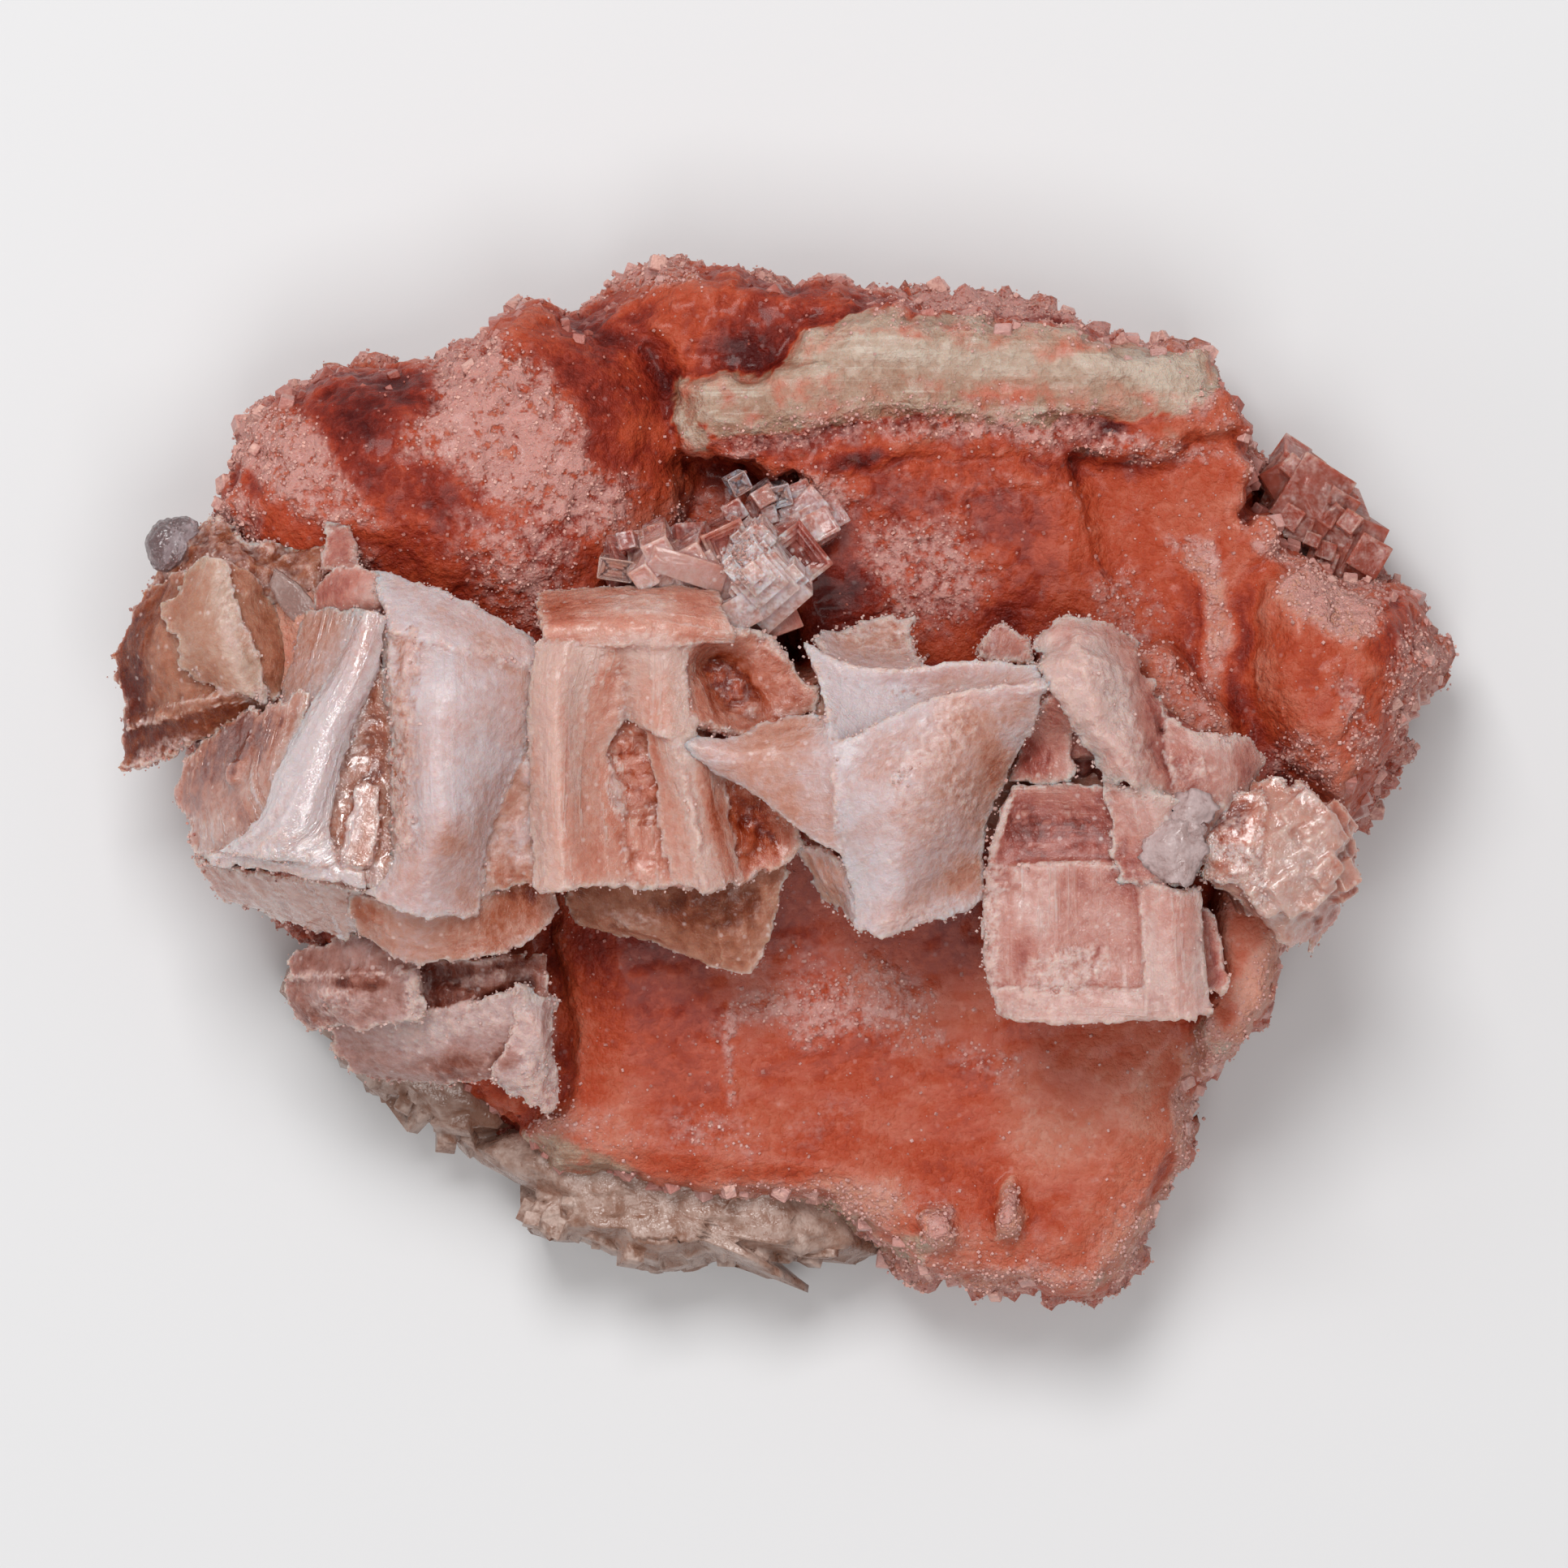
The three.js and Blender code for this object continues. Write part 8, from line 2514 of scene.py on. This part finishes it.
@dataclass(frozen=True)
class Studio:
    """A pale floor, soft lights and a camera that looks straight down."""

    floor_size: float = 6.0  # metres
    floor_drop: float = 0.0002  # metres below the flat back
    camera_height: float = 1.4  # metres above the crystals' middle
    middle: float = 0.025  # height of the crystals' middle, metres
    view_width: float = 0.141  # width of the frame at that height, metres
    sensor: float = 36.0  # millimetres

    def build(self) -> None:
        """Adds the floor, the lights and the camera."""
        self._floor()
        self._sky()
        self._light("key", (-0.12, 0.38, 0.86), 0.34, 5.5)
        self._light("front", (0.05, -0.35, 1.1), 0.5, 4.0)
        self._light("left", (-0.85, 0.0, 0.4), 0.4, 0.9)
        self._camera()

    def _floor(self) -> None:
        """The pale floor."""
        shape = bmesh.new()
        bmesh.ops.create_grid(shape, x_segments=1, y_segments=1, size=self.floor_size / 2)
        bmesh.ops.translate(shape, verts=shape.verts, vec=(0, 0, -self.floor_drop))
        floor = new_object(finished_mesh(shape, "floor"), "floor")
        material = bpy.data.materials.new("pale_floor")
        material.use_nodes = True
        shader = material.node_tree.nodes["Principled BSDF"]
        shader.inputs["Base Color"].default_value = (0.72, 0.72, 0.73, 1)
        shader.inputs["Roughness"].default_value = 0.9
        floor.data.materials.append(material)

    @staticmethod
    def _sky() -> None:
        """Even pale light from all round."""
        world = bpy.data.worlds.new("studio")
        world.use_nodes = True
        background = world.node_tree.nodes["Background"]
        background.inputs["Color"].default_value = (1.0, 0.98, 0.96, 1)
        background.inputs["Strength"].default_value = 0.3
        bpy.context.scene.world = world
        bpy.context.scene.view_settings.view_transform = "Standard"

    @staticmethod
    def _light(name: str, place: tuple[float, float, float], size: float, power: float) -> None:
        """A square soft light that faces the cluster."""
        data = bpy.data.lights.new(name, "AREA")
        data.size = size
        data.energy = power
        lamp = bpy.data.objects.new(name, data)
        lamp.location = place
        lamp.rotation_euler = (-Vector(place)).to_track_quat("-Z", "Y").to_euler()
        bpy.context.scene.collection.objects.link(lamp)

    def _camera(self) -> None:
        """The camera, straight above the cluster."""
        data = bpy.data.cameras.new("camera")
        data.sensor_width = self.sensor
        data.lens = self.sensor * self.camera_height / self.view_width
        data.clip_end = 20
        camera = bpy.data.objects.new("camera", data)
        camera.location = (0, 0, self.camera_height + self.middle)
        bpy.context.scene.collection.objects.link(camera)
        bpy.context.scene.camera = camera


# ------------------------------------------------------------------ the cluster


CRYSTALS = (
    LeftHopper, LeftClearKnob, LeftClearBlade, PinkNub, BladeHopper, ColumnHopper, MiddleHopper,
    UnderHopper, SteppedCubes, StarHopper, PeakHopper, BlockHopper, RightClearKnob, FarRightHopper,
    CornerHopper, BackCrystals, ClearFringe,
)


def grow_small_crystals(slab: Thing, crystals: list[Thing]) -> None:
    """Adds the sugary grains of the slab, the cubes at its edges and the grains on the rims.

    Args:
        slab: the finished slab.
        crystals: the finished hopper crystals.
    """
    ground = Seeds.on([slab])
    up = np.clip(ground.normals[:, 2], 0, 1)
    frosty = np.clip(ground.frost - 0.22, 0.008, 1) ** 1.5
    report(SUGAR_GRAINS.build(ground, frosty * up))
    outer = ease(Slab.outline.share(ground.points[:, :2]), 0.86, 0.94)
    side = (1 - up) * ease(ground.points[:, 2], 1.5, 5) * outer
    report(EDGE_CUBES.build(ground, side**3))
    rims = Seeds.on(crystals)
    edge = np.clip(rims.frost - 0.3, 0, 1) ** 2
    report(RIM_GRAINS.build(rims, edge + 1e-6))


def report(piece: Thing) -> None:
    """Writes a finished piece's name and size to the log."""
    LOG.info("%s: %d vertices, %d faces", piece.name, len(piece.data.vertices), len(piece.data.polygons))


def main() -> None:
    """Builds the studio and the cluster."""
    logging.basicConfig(level=logging.INFO, format="%(name)s %(message)s")
    Studio().build()
    slab = Slab().build()
    report(slab)
    crystals = []
    for kind in CRYSTALS:
        crystal = kind()
        piece = crystal.build()
        report(piece)
        if isinstance(crystal.finish, SaltFinish):
            crystals.append(piece)
    grow_small_crystals(slab, crystals)


if __name__ == "__main__":
    main()
